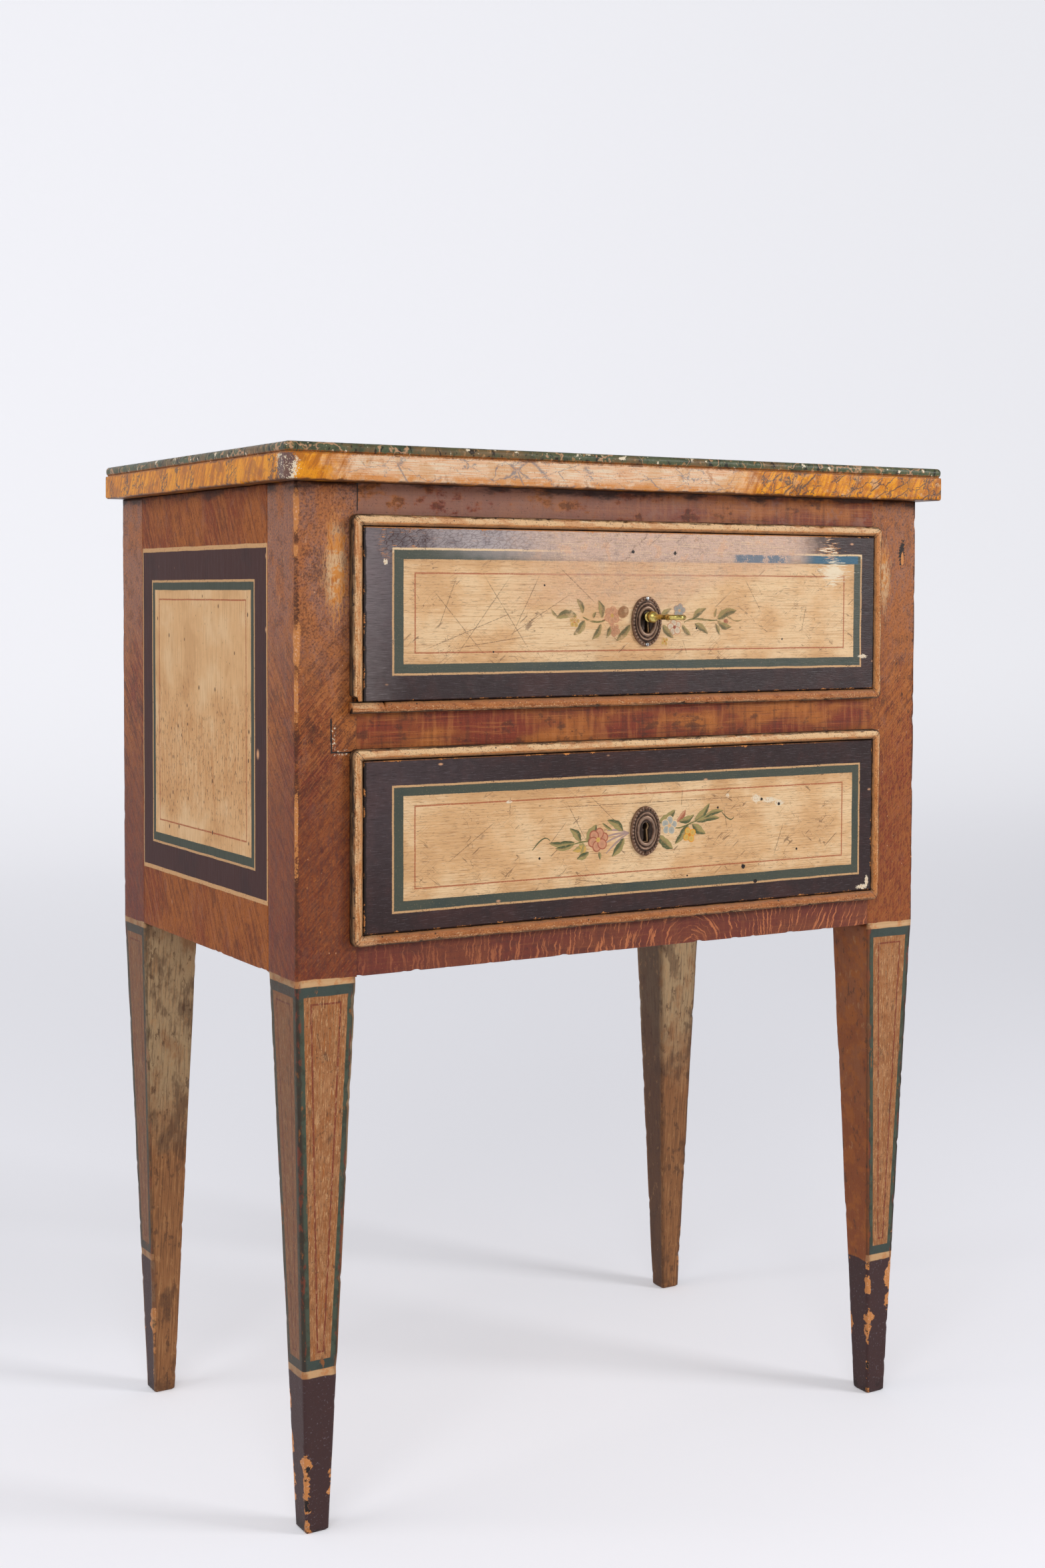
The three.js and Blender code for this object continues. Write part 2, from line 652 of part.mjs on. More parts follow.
// A drawer side: grooved for the bottom, dovetailed into the front and through the back
function drawerSide(plan, side) {
  const across = boardSpan(side);
  const rearShoulder = DRAWER_REAR - DRAWER_BACK - FIT;
  const board = block(across, [BOARD_BACK + FIT, rearShoulder], plan.sideHeights);
  const lowHeights = [plan.sideHeights[0], plan.bottomHeights[1]];
  const below = block(across, [BOARD_BACK + OVERRUN, DRAWER_REAR], lowHeights);
  const front = tailOutlines(plan.frontTailHeights, BOARD_BACK + OVERRUN, BOARD_BACK - TAIL_LENGTH, 0);
  const rear = tailOutlines(plan.backHeights, rearShoulder - OVERRUN, DRAWER_REAR, 0);
  const tails = [...front, ...rear].map((outline) => prism('x', outline, across));
  const groove = block(
    span(side, DRAWER_HALF - SIDE_BOARD - OVERRUN, DRAWER_HALF - SIDE_BOARD + BOTTOM_GROOVE),
    [BOARD_BACK - TAIL_LENGTH - OVERRUN, DRAWER_REAR + OVERRUN],
    grown(plan.bottomHeights, FIT),
  );
  return joined([board, below, ...tails]).subtract(groove);
}

function drawerBack(plan) {
  const depths = [DRAWER_REAR - DRAWER_BACK, DRAWER_REAR];
  const board = block([-DRAWER_HALF, DRAWER_HALF], depths, plan.backHeights);
  const rearShoulder = DRAWER_REAR - DRAWER_BACK - FIT;
  const sockets = [-1, 1].flatMap((side) => tailOutlines(
    plan.backHeights, rearShoulder - OVERRUN, DRAWER_REAR, FIT,
  ).map((outline) => prism('x', outline, grown(boardSpan(side), FIT))));
  return cutAway(board, sockets);
}

function drawerBottom(plan) {
  const half = DRAWER_HALF - SIDE_BOARD + BOTTOM_GROOVE - FIT;
  return block([-half, half], [BOARD_BACK - BOTTOM_GROOVE + FIT, DRAWER_REAR], plan.bottomHeights);
}

// The room in the middle of the lock, from front to back
const LOCK_ROOM = [BOARD_BACK - LOCK_DEPTH + LOCK_WALL, BOARD_BACK - LOCK_WALL];
const BOLT_MIDDLE = (LOCK_ROOM[0] + LOCK_ROOM[1]) / 2;
const BIT_ROOM = BIT_LENGTH + BIT_PLAY;

function lockCase(plan) {
  const chamber = turned(
    [[0, LOCK_ROOM[0]], [BIT_ROOM, LOCK_ROOM[0]], [BIT_ROOM, LOCK_ROOM[1]], [0, LOCK_ROOM[1]]], 24,
  ).translate([LOCK_OFFSET, 0, plan.keyHeight]);
  const channel = block(
    grown([LOCK_OFFSET - BOLT_WIDTH / 2, LOCK_OFFSET + BOLT_WIDTH / 2], FIT),
    grown([BOLT_MIDDLE - BOLT_THICK / 2, BOLT_MIDDLE + BOLT_THICK / 2], FIT),
    [plan.keyHeight, plan.boardHeights[1] + OVERRUN],
  );
  const hole = keyhole(plan, [BOARD_BACK - LOCK_DEPTH - OVERRUN, BOLT_MIDDLE], 0);
  return cutAway(lockForm(plan, 0), [chamber, channel, hole]);
}

function lockBolt(plan) {
  return block(
    [LOCK_OFFSET - BOLT_WIDTH / 2, LOCK_OFFSET + BOLT_WIDTH / 2],
    [BOLT_MIDDLE - BOLT_THICK / 2, BOLT_MIDDLE + BOLT_THICK / 2],
    [plan.keyHeight + BIT_ROOM, plan.boardHeights[1]],
  );
}

// The mortise in a rail that takes the thrown bolt of the drawer below it
function boltMortise(plan) {
  const ceiling = plan.opening + OPENING;
  return block(
    grown([LOCK_OFFSET - BOLT_WIDTH / 2, LOCK_OFFSET + BOLT_WIDTH / 2], MORTISE_PLAY),
    grown([BOLT_MIDDLE - BOLT_THICK / 2, BOLT_MIDDLE + BOLT_THICK / 2], MORTISE_PLAY),
    [ceiling - OVERRUN, plan.boardHeights[1] + BOLT_THROW + MORTISE_PLAY],
  );
}

// The key lies a quarter turn round, its bow and its bit level
function keySolid(plan) {
  const shankEnd = LOCK_ROOM[1] - FIT;
  const collarStart = PLATE_BACK - PLATE_RIM - FIT;
  const collarEnd = collarStart - COLLAR_LENGTH;
  const bowMiddle = KEY_END + BOW_LENGTH / 2;
  const neckStart = bowMiddle + BOW_LENGTH / 2 - BOW_RADIUS;
  const ballMiddle = PLATE_BACK - BALL_REACH;
  const ballFront = -Math.acos(NECK_RADIUS / BALL_RADIUS);
  const ballBack = Math.acos(SHANK_RADIUS / BALL_RADIUS);
  const body = turned([
    [0, neckStart],
    [NECK_RADIUS, neckStart],
    ...arc([0, ballMiddle], [BALL_RADIUS, BALL_RADIUS], ballFront, ballBack, 7),
    [SHANK_RADIUS, collarEnd],
    [COLLAR_RADIUS, collarEnd],
    [COLLAR_RADIUS, collarStart],
    [SHANK_RADIUS, collarStart],
    [SHANK_RADIUS, shankEnd],
    [0, shankEnd],
  ], 16);
  const ringRadius = BOW_LENGTH / 2 - BOW_RADIUS;
  const bow = solidOf(new THREE.TorusGeometry(ringRadius, BOW_RADIUS, 8, 24)
    .scale((BOW_WIDTH / 2 - BOW_RADIUS) / ringRadius, 1, 1)
    .translate(0, bowMiddle, 0));
  const bitMiddle = (LOCK_ROOM[0] + LOCK_ROOM[1]) / 2;
  const bitDepths = [bitMiddle - BIT_WIDTH / 2, bitMiddle + BIT_WIDTH / 2];
  const bit = block([0, BIT_LENGTH], bitDepths, [-BIT_THICK / 2, BIT_THICK / 2]);
  return joined([body, bow, bit]).translate([LOCK_OFFSET, 0, plan.keyHeight]);
}

// An oval plate: stepped rings round a sunk middle with the keyhole, and a rim of beads
function escutcheon(plan) {
  const radius = PLATE_HEIGHT / 2;
  const squeeze = PLATE_WIDTH / PLATE_HEIGHT;
  const stepShares = [
    [0, PLATE_FLOOR], [0.47, PLATE_FLOOR], [0.53, PLATE_RIM], [0.62, PLATE_RIM], [0.66, PLATE_FLOOR],
    [0.7, PLATE_RING], [0.76, PLATE_RING], [0.8, PLATE_FLOOR], [0.98, PLATE_FLOOR], [1, PLATE_EDGE],
  ];
  const profile = stepShares.map(([share, height]) => [share * radius, -height]);
  const plate = solidOf(new THREE.LatheGeometry(
    [...profile, [radius, 0], [0, 0]].map(([r, y]) => new THREE.Vector2(r, y)), 36,
  ).scale(squeeze, 1, 1));
  const acrossTrack = PLATE_WIDTH / 2 - BEAD_RADIUS - FIT;
  const oval = new THREE.EllipseCurve(0, 0, acrossTrack, BEAD_TRACK, Math.PI / 2, 2.5 * Math.PI);
  const places = oval.getSpacedPoints(BEAD_PLACES).slice(1);
  const beads = places.filter((_, i) => (i + 1) % (BEAD_PLACES / 2)).map(({ x, y }) => solidOf(
    new THREE.IcosahedronGeometry(BEAD_RADIUS, 0).translate(x, -PLATE_FLOOR, y),
  ));
  const seated = joined([plate, ...beads]).translate([LOCK_OFFSET, PLATE_BACK, plan.plateMiddle]);
  const through = [PLATE_BACK - PLATE_RIM - OVERRUN, PLATE_BACK + OVERRUN];
  const holes = Object.values(nailHeights(plan)).map(
    (height) => shaftHole(height, NAIL_SHANK + FIT, through),
  );
  return cutAway(seated, [...holes, keyhole(plan, through, 0)]);
}

// A domed nail whose head bears on the rim of its plate
function nail(height) {
  const seat = PLATE_BACK - PLATE_FLOOR - FIT;
  const dome = arc([0, seat], [NAIL_HEAD, NAIL_DOME], -Math.PI / 2, 0, 4);
  const tip = PLATE_BACK + NAIL_LENGTH;
  const profile = [...dome, [NAIL_SHANK, seat], [NAIL_SHANK, tip], [0, tip]];
  return turned(profile, 12).translate([LOCK_OFFSET, 0, height]);
}

// Assembly of the case
const SIDES = { left: -1, right: 1 };
const plans = {
  upper: drawerPlan('upper', UPPER_OPENING, UPPER_LOCK_DROP),
  lower: drawerPlan('lower', LOWER_OPENING, LOWER_LOCK_DROP),
};

piece('top_board', topBoard(), FINISH.topPaint);
Object.entries(SIDES).forEach(([sideName, side]) => {
  piece(`front_${sideName}_post`, post(side, -1), FINISH.legPaint);
  piece(`back_${sideName}_post`, post(side, 1), FINISH.legPaint);
  piece(`${sideName}_side_panel`, sidePanel(side), FINISH.casePaint);
  piece(`${sideName}_glue_block`, glueBlock(side), FINISH.bareWood);
  piece(`upper_${sideName}_runner`, runner(side, RUNNER_HEIGHTS.middle), FINISH.bareWood);
  piece(`lower_${sideName}_runner`, runner(side, RUNNER_HEIGHTS.bottom), FINISH.bareWood);
  piece(`${sideName}_kicker`, runner(side, RUNNER_HEIGHTS.top), FINISH.bareWood);
  piece(`upper_${sideName}_guide`, guide(side, RUNNER_HEIGHTS.middle), FINISH.bareWood);
  piece(`lower_${sideName}_guide`, guide(side, RUNNER_HEIGHTS.bottom), FINISH.bareWood);
});

const boltMortises = { bottom: [], middle: [boltMortise(plans.lower)], top: [boltMortise(plans.upper)] };
Object.entries(RAIL_HEIGHTS).forEach(([level, heights]) => {
  const stubs = Object.values(SIDES).map((side) => stub(side, RUNNER_HEIGHTS[level], FIT));
  const front = rail(heights, [FACE, FRONT_RAIL_BACK], TENON_DEPTHS.front);
  const back = rail(heights, [BACK_RAIL_FRONT, BACK_INSIDE], TENON_DEPTHS.back);
  piece(`${level}_front_rail`, cutAway(front, [...stubs, ...boltMortises[level]]), FINISH.casePaint);
  piece(`${level}_back_rail`, cutAway(back, stubs), FINISH.bareWood);
});

const backSeam = (LEG_HEIGHT + CASE_TOP) / 2;
piece('lower_back_board', backBoard([LEG_HEIGHT + FIT, backSeam - BOARD_SEAM / 2]), FINISH.bareWood);
piece('upper_back_board', backBoard([backSeam + BOARD_SEAM / 2, CASE_TOP - FIT]), FINISH.bareWood);
piece('bottom_board', bottomBoard(), FINISH.bareWood);

// Assembly of the two drawers; the upper one has a chipped strip and a mended strip at its lower left
Object.values(plans).forEach((plan) => {
  const mended = plan === plans.upper;
  const scarf = [PATCH_LENGTH - PATCH_SLANT - LIP_HALF, PATCH_LENGTH - LIP_HALF];
  const bottomEnds = mended ? { left: scarf.map((x) => x + FIT) } : {};
  piece(`${plan.name}_drawer_front`, drawerFront(plan), FINISH.drawerPaint);
  piece(`${plan.name}_left_strip`, uprightStrip(plan, SIDES.left, mended), FINISH.stripPaint);
  piece(`${plan.name}_right_strip`, uprightStrip(plan, SIDES.right, false), FINISH.stripPaint);
  piece(`${plan.name}_top_strip`, levelStrip(plan, 1, {}), FINISH.stripPaint);
  piece(`${plan.name}_bottom_strip`, levelStrip(plan, -1, bottomEnds), FINISH.stripPaint);
  if (mended) {
    const ends = { left: [-LIP_HALF, -LIP_HALF], right: scarf };
    piece(`${plan.name}_bottom_strip_patch`, levelStrip(plan, -1, ends), FINISH.stripPaint);
  }
  Object.entries(SIDES).forEach(([sideName, side]) => {
    piece(`${plan.name}_drawer_${sideName}_side`, drawerSide(plan, side), FINISH.bareWood);
  });
  piece(`${plan.name}_drawer_back`, drawerBack(plan), FINISH.bareWood);
  piece(`${plan.name}_drawer_bottom`, drawerBottom(plan), FINISH.bareWood);
  piece(`${plan.name}_lock_case`, lockCase(plan), FINISH.iron);
  piece(`${plan.name}_lock_bolt`, lockBolt(plan), FINISH.iron);
  piece(`${plan.name}_escutcheon`, escutcheon(plan), FINISH.bronze);
  Object.entries(nailHeights(plan)).forEach(([place, height]) => {
    piece(`${plan.name}_escutcheon_${place}_nail`, nail(height), FINISH.steel);
  });
});
piece('key', keySolid(plans.upper), FINISH.brass);

export default commode;
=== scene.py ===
"""A small painted commode chest on four tapered legs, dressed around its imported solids.

The solids give every place and size. This script gives the worn paint, the fine mouldings,
the beaded escutcheons, the key, the painted garlands, a pale floor, lamps and a camera.
Lengths are written in millimetres and turned into metres where a mesh or a lamp is made.
"""
from __future__ import annotations

import logging
import math
from dataclasses import dataclass, field
from enum import Enum
from typing import Callable, Optional, Sequence, Union

import bpy
import numpy as np
from mathutils import Matrix, Vector


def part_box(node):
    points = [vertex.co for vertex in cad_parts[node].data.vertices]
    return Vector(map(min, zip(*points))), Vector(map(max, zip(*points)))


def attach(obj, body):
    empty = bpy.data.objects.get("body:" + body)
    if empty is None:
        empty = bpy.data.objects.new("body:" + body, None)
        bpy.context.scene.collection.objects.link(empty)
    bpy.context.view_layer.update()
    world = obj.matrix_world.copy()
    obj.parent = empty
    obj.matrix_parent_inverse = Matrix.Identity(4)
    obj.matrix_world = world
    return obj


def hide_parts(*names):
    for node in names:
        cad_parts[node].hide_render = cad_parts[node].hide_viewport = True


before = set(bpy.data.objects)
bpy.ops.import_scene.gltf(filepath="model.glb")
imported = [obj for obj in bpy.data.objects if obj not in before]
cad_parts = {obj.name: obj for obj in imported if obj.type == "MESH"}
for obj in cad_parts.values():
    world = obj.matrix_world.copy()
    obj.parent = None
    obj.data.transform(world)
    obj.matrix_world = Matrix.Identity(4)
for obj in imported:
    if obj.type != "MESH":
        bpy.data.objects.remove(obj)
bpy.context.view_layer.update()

log = logging.getLogger("commode")

MM = 0.001
Array = np.ndarray
Mesh = tuple[np.ndarray, np.ndarray]
Pair = tuple[float, float]
Triple = tuple[float, float, float]
Quad = tuple[float, float, float, float]
Socket = bpy.types.NodeSocket
Material = bpy.types.Material
Value = Union["Term", float]
Tone = Union["Hue", Triple, Socket]
Where = Union[float, Socket, tuple[Value, Value, Value]]


# Places taken from the frame

@dataclass(frozen=True)
class Span:
    """A box in millimetres: its lowest and highest corner."""

    low: Triple
    high: Triple

    @classmethod
    def of(cls, node: str) -> "Span":
        """Return the box of a node of the frame, in millimetres."""
        low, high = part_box(node)
        return cls(tuple(v / MM for v in low), tuple(v / MM for v in high))

    def middle(self, axis: int) -> float:
        """Return the middle of the box along one axis."""
        return (self.low[axis] + self.high[axis]) / 2


CASE_POST = Span.of("front_left_post")
BACK_POST = Span.of("back_left_post")
SIDE_PANEL = Span.of("left_side_panel")
TOP = Span.of("top_board")
FRONT_Y = CASE_POST.low[1]
BACK_Y = BACK_POST.high[1]
CENTRE_Y = (FRONT_Y + BACK_Y) / 2
LEG_TOP = SIDE_PANEL.low[2]
CASE_TOP = TOP.low[2]


# Smooth random relief

def lumps(points: Array, size: float, seed: int, waves: int = 14) -> Array:
    """Return smooth random relief at points, about -1 to 1.

    It is a sum of plane waves with random directions, lengths near the size and phases.

    Args:
        points: Places in millimetres, the last axis holds x, y and z.
        size: Typical width of a lump in millimetres.
        seed: Number that picks the waves.
        waves: How many waves are summed.

    Returns:
        One value for each point.
    """
    draw = np.random.default_rng(seed)
    direction = draw.normal(size=(waves, 3))
    direction /= np.linalg.norm(direction, axis=1, keepdims=True)
    length = size * draw.uniform(1.2, 3.2, waves)
    phase = draw.uniform(0, 2 * np.pi, waves)
    turns = points @ (direction / length[:, None] * 2 * np.pi).T + phase
    return np.sin(turns).sum(-1) / math.sqrt(waves / 2) / 2


def ramp(value: Array, low: float, high: float) -> Array:
    """Return a smooth step from 0 at low to 1 at high: three t squared less two t cubed."""
    t = np.clip((value - low) / (high - low), 0, 1)
    return t * t * (3 - 2 * t)


def stacked(*parts: Union[Array, float]) -> Array:
    """Return coordinates side by side in a new last axis, each spread to the shape of all."""
    return np.stack(np.broadcast_arrays(*parts), axis=-1)


# Meshes

def make_piece(
    name: str,
    shape: Mesh,
    body: str,
    finish: Material,
    replaced: Sequence[str] = (),
    values: Optional[dict[str, Array]] = None,
    tints: Optional[Array] = None,
) -> None:
    """Put points and faces into a mesh object that rides on a body.

    Args:
        name: Name of the piece.
        shape: Places in millimetres, and for each face three or four point numbers; a row that
            repeats its last number is a triangle.
        body: Body of the frame that carries the piece.
        finish: Its material.
        replaced: Nodes of the frame that the piece stands for.
        values: Named numbers, one for each point, that materials read.
        tints: A colour for each point, which a material reads as "tint".
    """
    points, faces = shape
    mesh = bpy.data.meshes.new(name)
    rows = [tuple(dict.fromkeys(row)) for row in faces.tolist()]
    mesh.from_pydata((points * MM).tolist(), [], [row for row in rows if len(row) > 2])
    for key, value in (values or {}).items():
        layer = mesh.attributes.new(key, "FLOAT", "POINT")
        layer.data.foreach_set("value", np.asarray(value, np.float32).ravel())
    if tints is not None:
        layer = mesh.attributes.new("tint", "FLOAT_COLOR", "POINT")
        rgba = np.concatenate([tints, np.ones((len(tints), 1))], axis=1)
        layer.data.foreach_set("color", rgba.astype(np.float32).ravel())
    mesh.polygons.foreach_set("use_smooth", np.ones(len(mesh.polygons), bool))
    mesh.update()
    piece = bpy.data.objects.new(name, mesh)
    bpy.context.scene.collection.objects.link(piece)
    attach(piece, body)
    if replaced:
        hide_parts(*replaced)
    mesh.materials.append(finish)
    log.info("%s: %d points, rides on %s", name, len(points), body)


def grid_faces(rows: int, columns: int, closed: bool, flip: bool = False) -> Array:
    """Return the quads of a grid of points numbered row by row.

    Args:
        rows: Number of rows.
        columns: Number of points in a row.
        closed: Whether the last column joins the first.
        flip: Whether the faces turn the other way.

    Returns:
        Four point numbers for each quad.
    """
    i, j = np.meshgrid(np.arange(rows - 1), np.arange(columns if closed else columns - 1), indexing="ij")
    a = i * columns + j
    b = i * columns + (j + 1) % columns
    quads = stacked(a, b, b + columns, a + columns).reshape(-1, 4)
    return quads[:, ::-1] if flip else quads


def cap_faces(ring: Array, centre: int, flip: bool = False) -> Array:
    """Return a fan of triangles from a centre point to a closed ring of point numbers."""
    fan = stacked(ring, np.roll(ring, -1), centre, centre)
    return fan[:, [1, 0, 2, 3]] if flip else fan


def closed_tube(rings: Array, flip: bool = False) -> Mesh:
    """Skin closed rings in a row and close both ends with fans.

    Args:
        rings: Rings by points by x, y and z.
        flip: Whether the faces turn the other way.

    Returns:
        The points and the faces.
    """
    count, around = rings.shape[:2]
    points = np.concatenate([rings.reshape(-1, 3), rings[0].mean(0)[None], rings[-1].mean(0)[None]])
    first = np.arange(around)
    last = first + (count - 1) * around
    faces = np.concatenate([
        grid_faces(count, around, True, flip),
        cap_faces(first, count * around, not flip),
        cap_faces(last, count * around + 1, flip),
    ])
    return points, faces


def joined(parts: Sequence[Mesh]) -> Mesh:
    """Return several sets of points and faces as one set.

    Args:
        parts: Points and faces of each.

    Returns:
        All points, and faces that count on.
    """
    offsets = np.cumsum([0] + [len(points) for points, _ in parts[:-1]])
    points = np.concatenate([points for points, _ in parts])
    return points, np.concatenate([faces + offset for (_, faces), offset in zip(parts, offsets)])


def arc_points(centre: Pair, radii: Pair, start: float, end: float, steps: int) -> Array:
    """Return points of an elliptical arc, ends included, angles in radians."""
    angle = np.linspace(start, end, steps + 1)
    return stacked(centre[0] + radii[0] * np.cos(angle), centre[1] + radii[1] * np.sin(angle))


def resampled(outline: Array, spacing: float, closed: bool = True) -> Array:
    """Return an outline with evenly spaced points along each of its straight stretches.

    Args:
        outline: Corners, one row each.
        spacing: Wanted distance of the points.
        closed: Whether the last corner joins the first.

    Returns:
        The points.
    """
    ends = np.roll(outline, -1, axis=0) if closed else outline[1:]
    starts = outline if closed else outline[:-1]
    pieces = []
    for a, b in zip(starts, ends):
        steps = max(1, int(round(np.linalg.norm(b - a) / spacing)))
        pieces.append(a + (b - a) * np.arange(steps)[:, None] / steps)
    if not closed:
        pieces.append(outline[-1:])
    return np.concatenate(pieces)


# Shader expressions

def linear(*display: int) -> Triple:
    """Return a colour that was read as display values, 0 to 255, in linear light."""
    shares = (value / 255 for value in display)
    return tuple(share / 12.92 if share <= 0.04045 else ((share + 0.055) / 1.055) ** 2.4 for share in shares)


def operator(operation: str, swapped: bool = False) -> Callable[["Term", Value], "Term"]:
    """Return a method that joins a term and another value by a Math node.

    Args:
        operation: Name of the node's operation.
        swapped: Whether the other value comes first.

    Returns:
        The method.
    """
    def method(self: "Term", other: Value) -> "Term":
        """Return the node's result."""
        return self.paint.math(operation, *((other, self) if swapped else (self, other)))
    return method


class Term:
    """A number in a material, either plain or a socket, whose arithmetic adds Math nodes."""

    __add__ = __radd__ = operator("ADD")
    __sub__ = operator("SUBTRACT")
    __rsub__ = operator("SUBTRACT", swapped=True)
    __mul__ = __rmul__ = operator("MULTIPLY")
    __truediv__ = operator("DIVIDE")
    least = operator("MINIMUM")
    either = operator("MAXIMUM")

    def __init__(self, paint: "Paint", source: Union[float, Socket]) -> None:
        """Hold a plain number or a socket of the given material."""
        self.paint = paint
        self.source = source

    def math(self, operation: str) -> "Term":
        """Return the result of a Math node on this term alone."""
        return self.paint.math(operation, self)

    def __abs__(self) -> "Term":
        """Return the size without its sign."""
        return self.math("ABSOLUTE")

    def above(self, low: float, high: float) -> "Term":
        """Return a smooth step from 0 at low to 1 at high."""
        return self.paint.step(self, low, high)

    def below(self, low: float, high: float) -> "Term":
        """Return a smooth step from 1 at low to 0 at high."""
        return self.paint.step(self, low, high, falling=True)

    def line(self, at: float, half_width: float, soft: float) -> "Term":
        """Return 1 within half a width of a value, with soft sides."""
        return abs(self - at).below(half_width - soft / 2, half_width + soft / 2)

    def hypot(self, other: "Term") -> "Term":
        """Return the root of the sum of the squares of two terms."""
        return (self * self + other * other).math("SQRT")

    def sway(self, by: float) -> "Term":
        """Return noise about 0.5 as a shift to both sides of nought."""
        return (self - 0.5) * by


class Paint:
    """One material under construction, with places in millimetres and expressions on them."""

    def __init__(self, name: str) -> None:
        """Start a material with an empty tree, a surface shader and an output.

        Args:
            name: Name of the material.
        """
        self.material = bpy.data.materials.new(name)
        self.material.use_nodes = True
        self.tree = self.material.node_tree
        self.tree.nodes.clear()
        self.surface = self.node("ShaderNodeBsdfPrincipled")
        output = self.node("ShaderNodeOutputMaterial")
        self.tree.links.new(self.surface.outputs[0], output.inputs["Surface"])
        place = self.node("ShaderNodeTexCoord").outputs["Object"]
        scaled = self.node("ShaderNodeVectorMath", {"operation": "SCALE"}, {0: place, "Scale": 1 / MM})
        parts = self.node("ShaderNodeSeparateXYZ", {}, {0: scaled.outputs[0]})
        self.x, self.y, self.z = self.axes = tuple(Term(self, socket) for socket in parts.outputs)

    def node(self, kind: str, settings: Optional[dict] = None, inputs: Optional[dict] = None) -> bpy.types.Node:
        """Add a node.

        Args:
            kind: Type name of the node.
            settings: Properties, set before the sockets.
            inputs: Socket name or number to a value, a term or a socket.

        Returns:
            The node.
        """
        made = self.tree.nodes.new(kind)
        for key, value in (settings or {}).items():
            setattr(made, key, value)
        for key, value in (inputs or {}).items():
            self.feed(made.inputs[key], value)
        return made

    def feed(self, socket: Socket, value: object) -> None:
        """Link a socket or a term to an input, or set it to a plain value or a colour.

        Args:
            socket: The input.
            value: What goes in.
        """
        value = value.source if isinstance(value, Term) else value.light if isinstance(value, Hue) else value
        if isinstance(value, Socket):
            self.tree.links.new(value, socket)
        elif isinstance(value, tuple) and len(value) == 3 and socket.type == "RGBA":
            socket.default_value = (*value, 1)
        else:
            socket.default_value = value

    def math(self, operation: str, *terms: Value) -> Term:
        """Return a Math node's result."""
        node = self.node("ShaderNodeMath", {"operation": operation}, dict(enumerate(terms)))
        return Term(self, node.outputs[0])

    def step(self, value: Term, low: float, high: float, falling: bool = False) -> Term:
        """Return a smooth step of a term between two values.

        Args:
            value: The term.
            low: Where the step starts.
            high: Where it ends.
            falling: Whether it goes from 1 to 0.

        Returns:
            The step.
        """
        ends = {"To Min": 1.0, "To Max": 0.0} if falling else {"To Min": 0.0, "To Max": 1.0}
        node = self.node(
            "ShaderNodeMapRange", {"interpolation_type": "SMOOTHSTEP"},
            {"Value": value, "From Min": low, "From Max": high, **ends},
        )
        return Term(self, node.outputs[0])

    def vector(self, where: Where) -> Socket:
        """Return a vector from three terms, or the place for features of a size in millimetres.

        Args:
            where: The terms, the size or a vector already.

        Returns:
            The vector.
        """
        if isinstance(where, tuple):
            return self.node("ShaderNodeCombineXYZ", {}, dict(enumerate(where))).outputs[0]
        return where if isinstance(where, Socket) else self.place(where)

    def place(self, size: float, stretch: Triple = (1, 1, 1), shift: float = 0) -> Socket:
        """Return the place as a vector for a texture whose features have a size in millimetres."""
        sx, sy, sz = stretch
        return self.vector((self.x / (size * sx) + shift, self.y / (size * sy), self.z / (size * sz)))

    def noise(self, where: Where, detail: float = 3, rough: float = 0.55, warp: float = 0) -> Term:
        """Return a noise texture, about 0.5 in the mean, at a place that vector takes.

        Args:
            where: A place, as vector takes it.
            detail: How many finer layers.
            rough: Strength of the finer layers.
            warp: How far it is distorted.

        Returns:
            The noise.
        """
        node = self.node("ShaderNodeTexNoise", {}, {
            "Vector": self.vector(where), "Scale": 1.0, "Detail": detail, "Roughness": rough, "Distortion": warp,
        })
        return Term(self, node.outputs[0])

    def specks(self, where: Where, radius: float, share: float) -> Term:
        """Return small spots in some of a texture's cells.

        Args:
            where: Place in the texture, as vector takes it.
            radius: Radius of a spot as a share of its cell.
            share: How many of the cells have a spot.

        Returns:
            A mask that is 1 inside the spots.
        """
        cells = self.node("ShaderNodeTexVoronoi", {}, {"Vector": self.vector(where), "Scale": 1.0})
        colour = self.node("ShaderNodeSeparateColor", {}, {0: cells.outputs["Color"]})
        chosen = Term(self, colour.outputs[0]).above(1 - share, 1 - share + 0.01)
        size = Term(self, colour.outputs[1]) * radius
        near = (Term(self, cells.outputs["Distance"]) - size).below(-0.05, 0.03)
        return near * chosen

    def blot(self, level: Term, spot: Pair, half: Pair, rag: Term) -> Term:
        """Return an oval mark with a torn edge.

        Args:
            level: Place along the face.
            spot: Middle of the mark, along the face and in height.
            half: Half its length and half its height.
            rag: Noise about 0.5 that tears the edge.

        Returns:
            A mask that is 1 inside the mark.
        """
        over, up = (level - spot[0]) / half[0], (self.z - spot[1]) / half[1]
        return (over.hypot(up) + rag.sway(3.5)).below(0.7, 1.0)

    def scratch(self, level: Term, spot: Pair, degrees: float, half: float, width: float) -> Term:
        """Return a straight scratch.

        Args:
            level: Place along the face.
            spot: Middle of the scratch, along the face and in height.
            degrees: Its angle from level.
            half: Half its length.
            width: Half its width.

        Returns:
            A mask that is 1 inside the scratch.
        """
        c, s = math.cos(math.radians(degrees)), math.sin(math.radians(degrees))
        over, up = level - spot[0], self.z - spot[1]
        return abs(up * c - over * s).below(width, width * 2) * abs(over * c + up * s).below(half * 0.6, half)

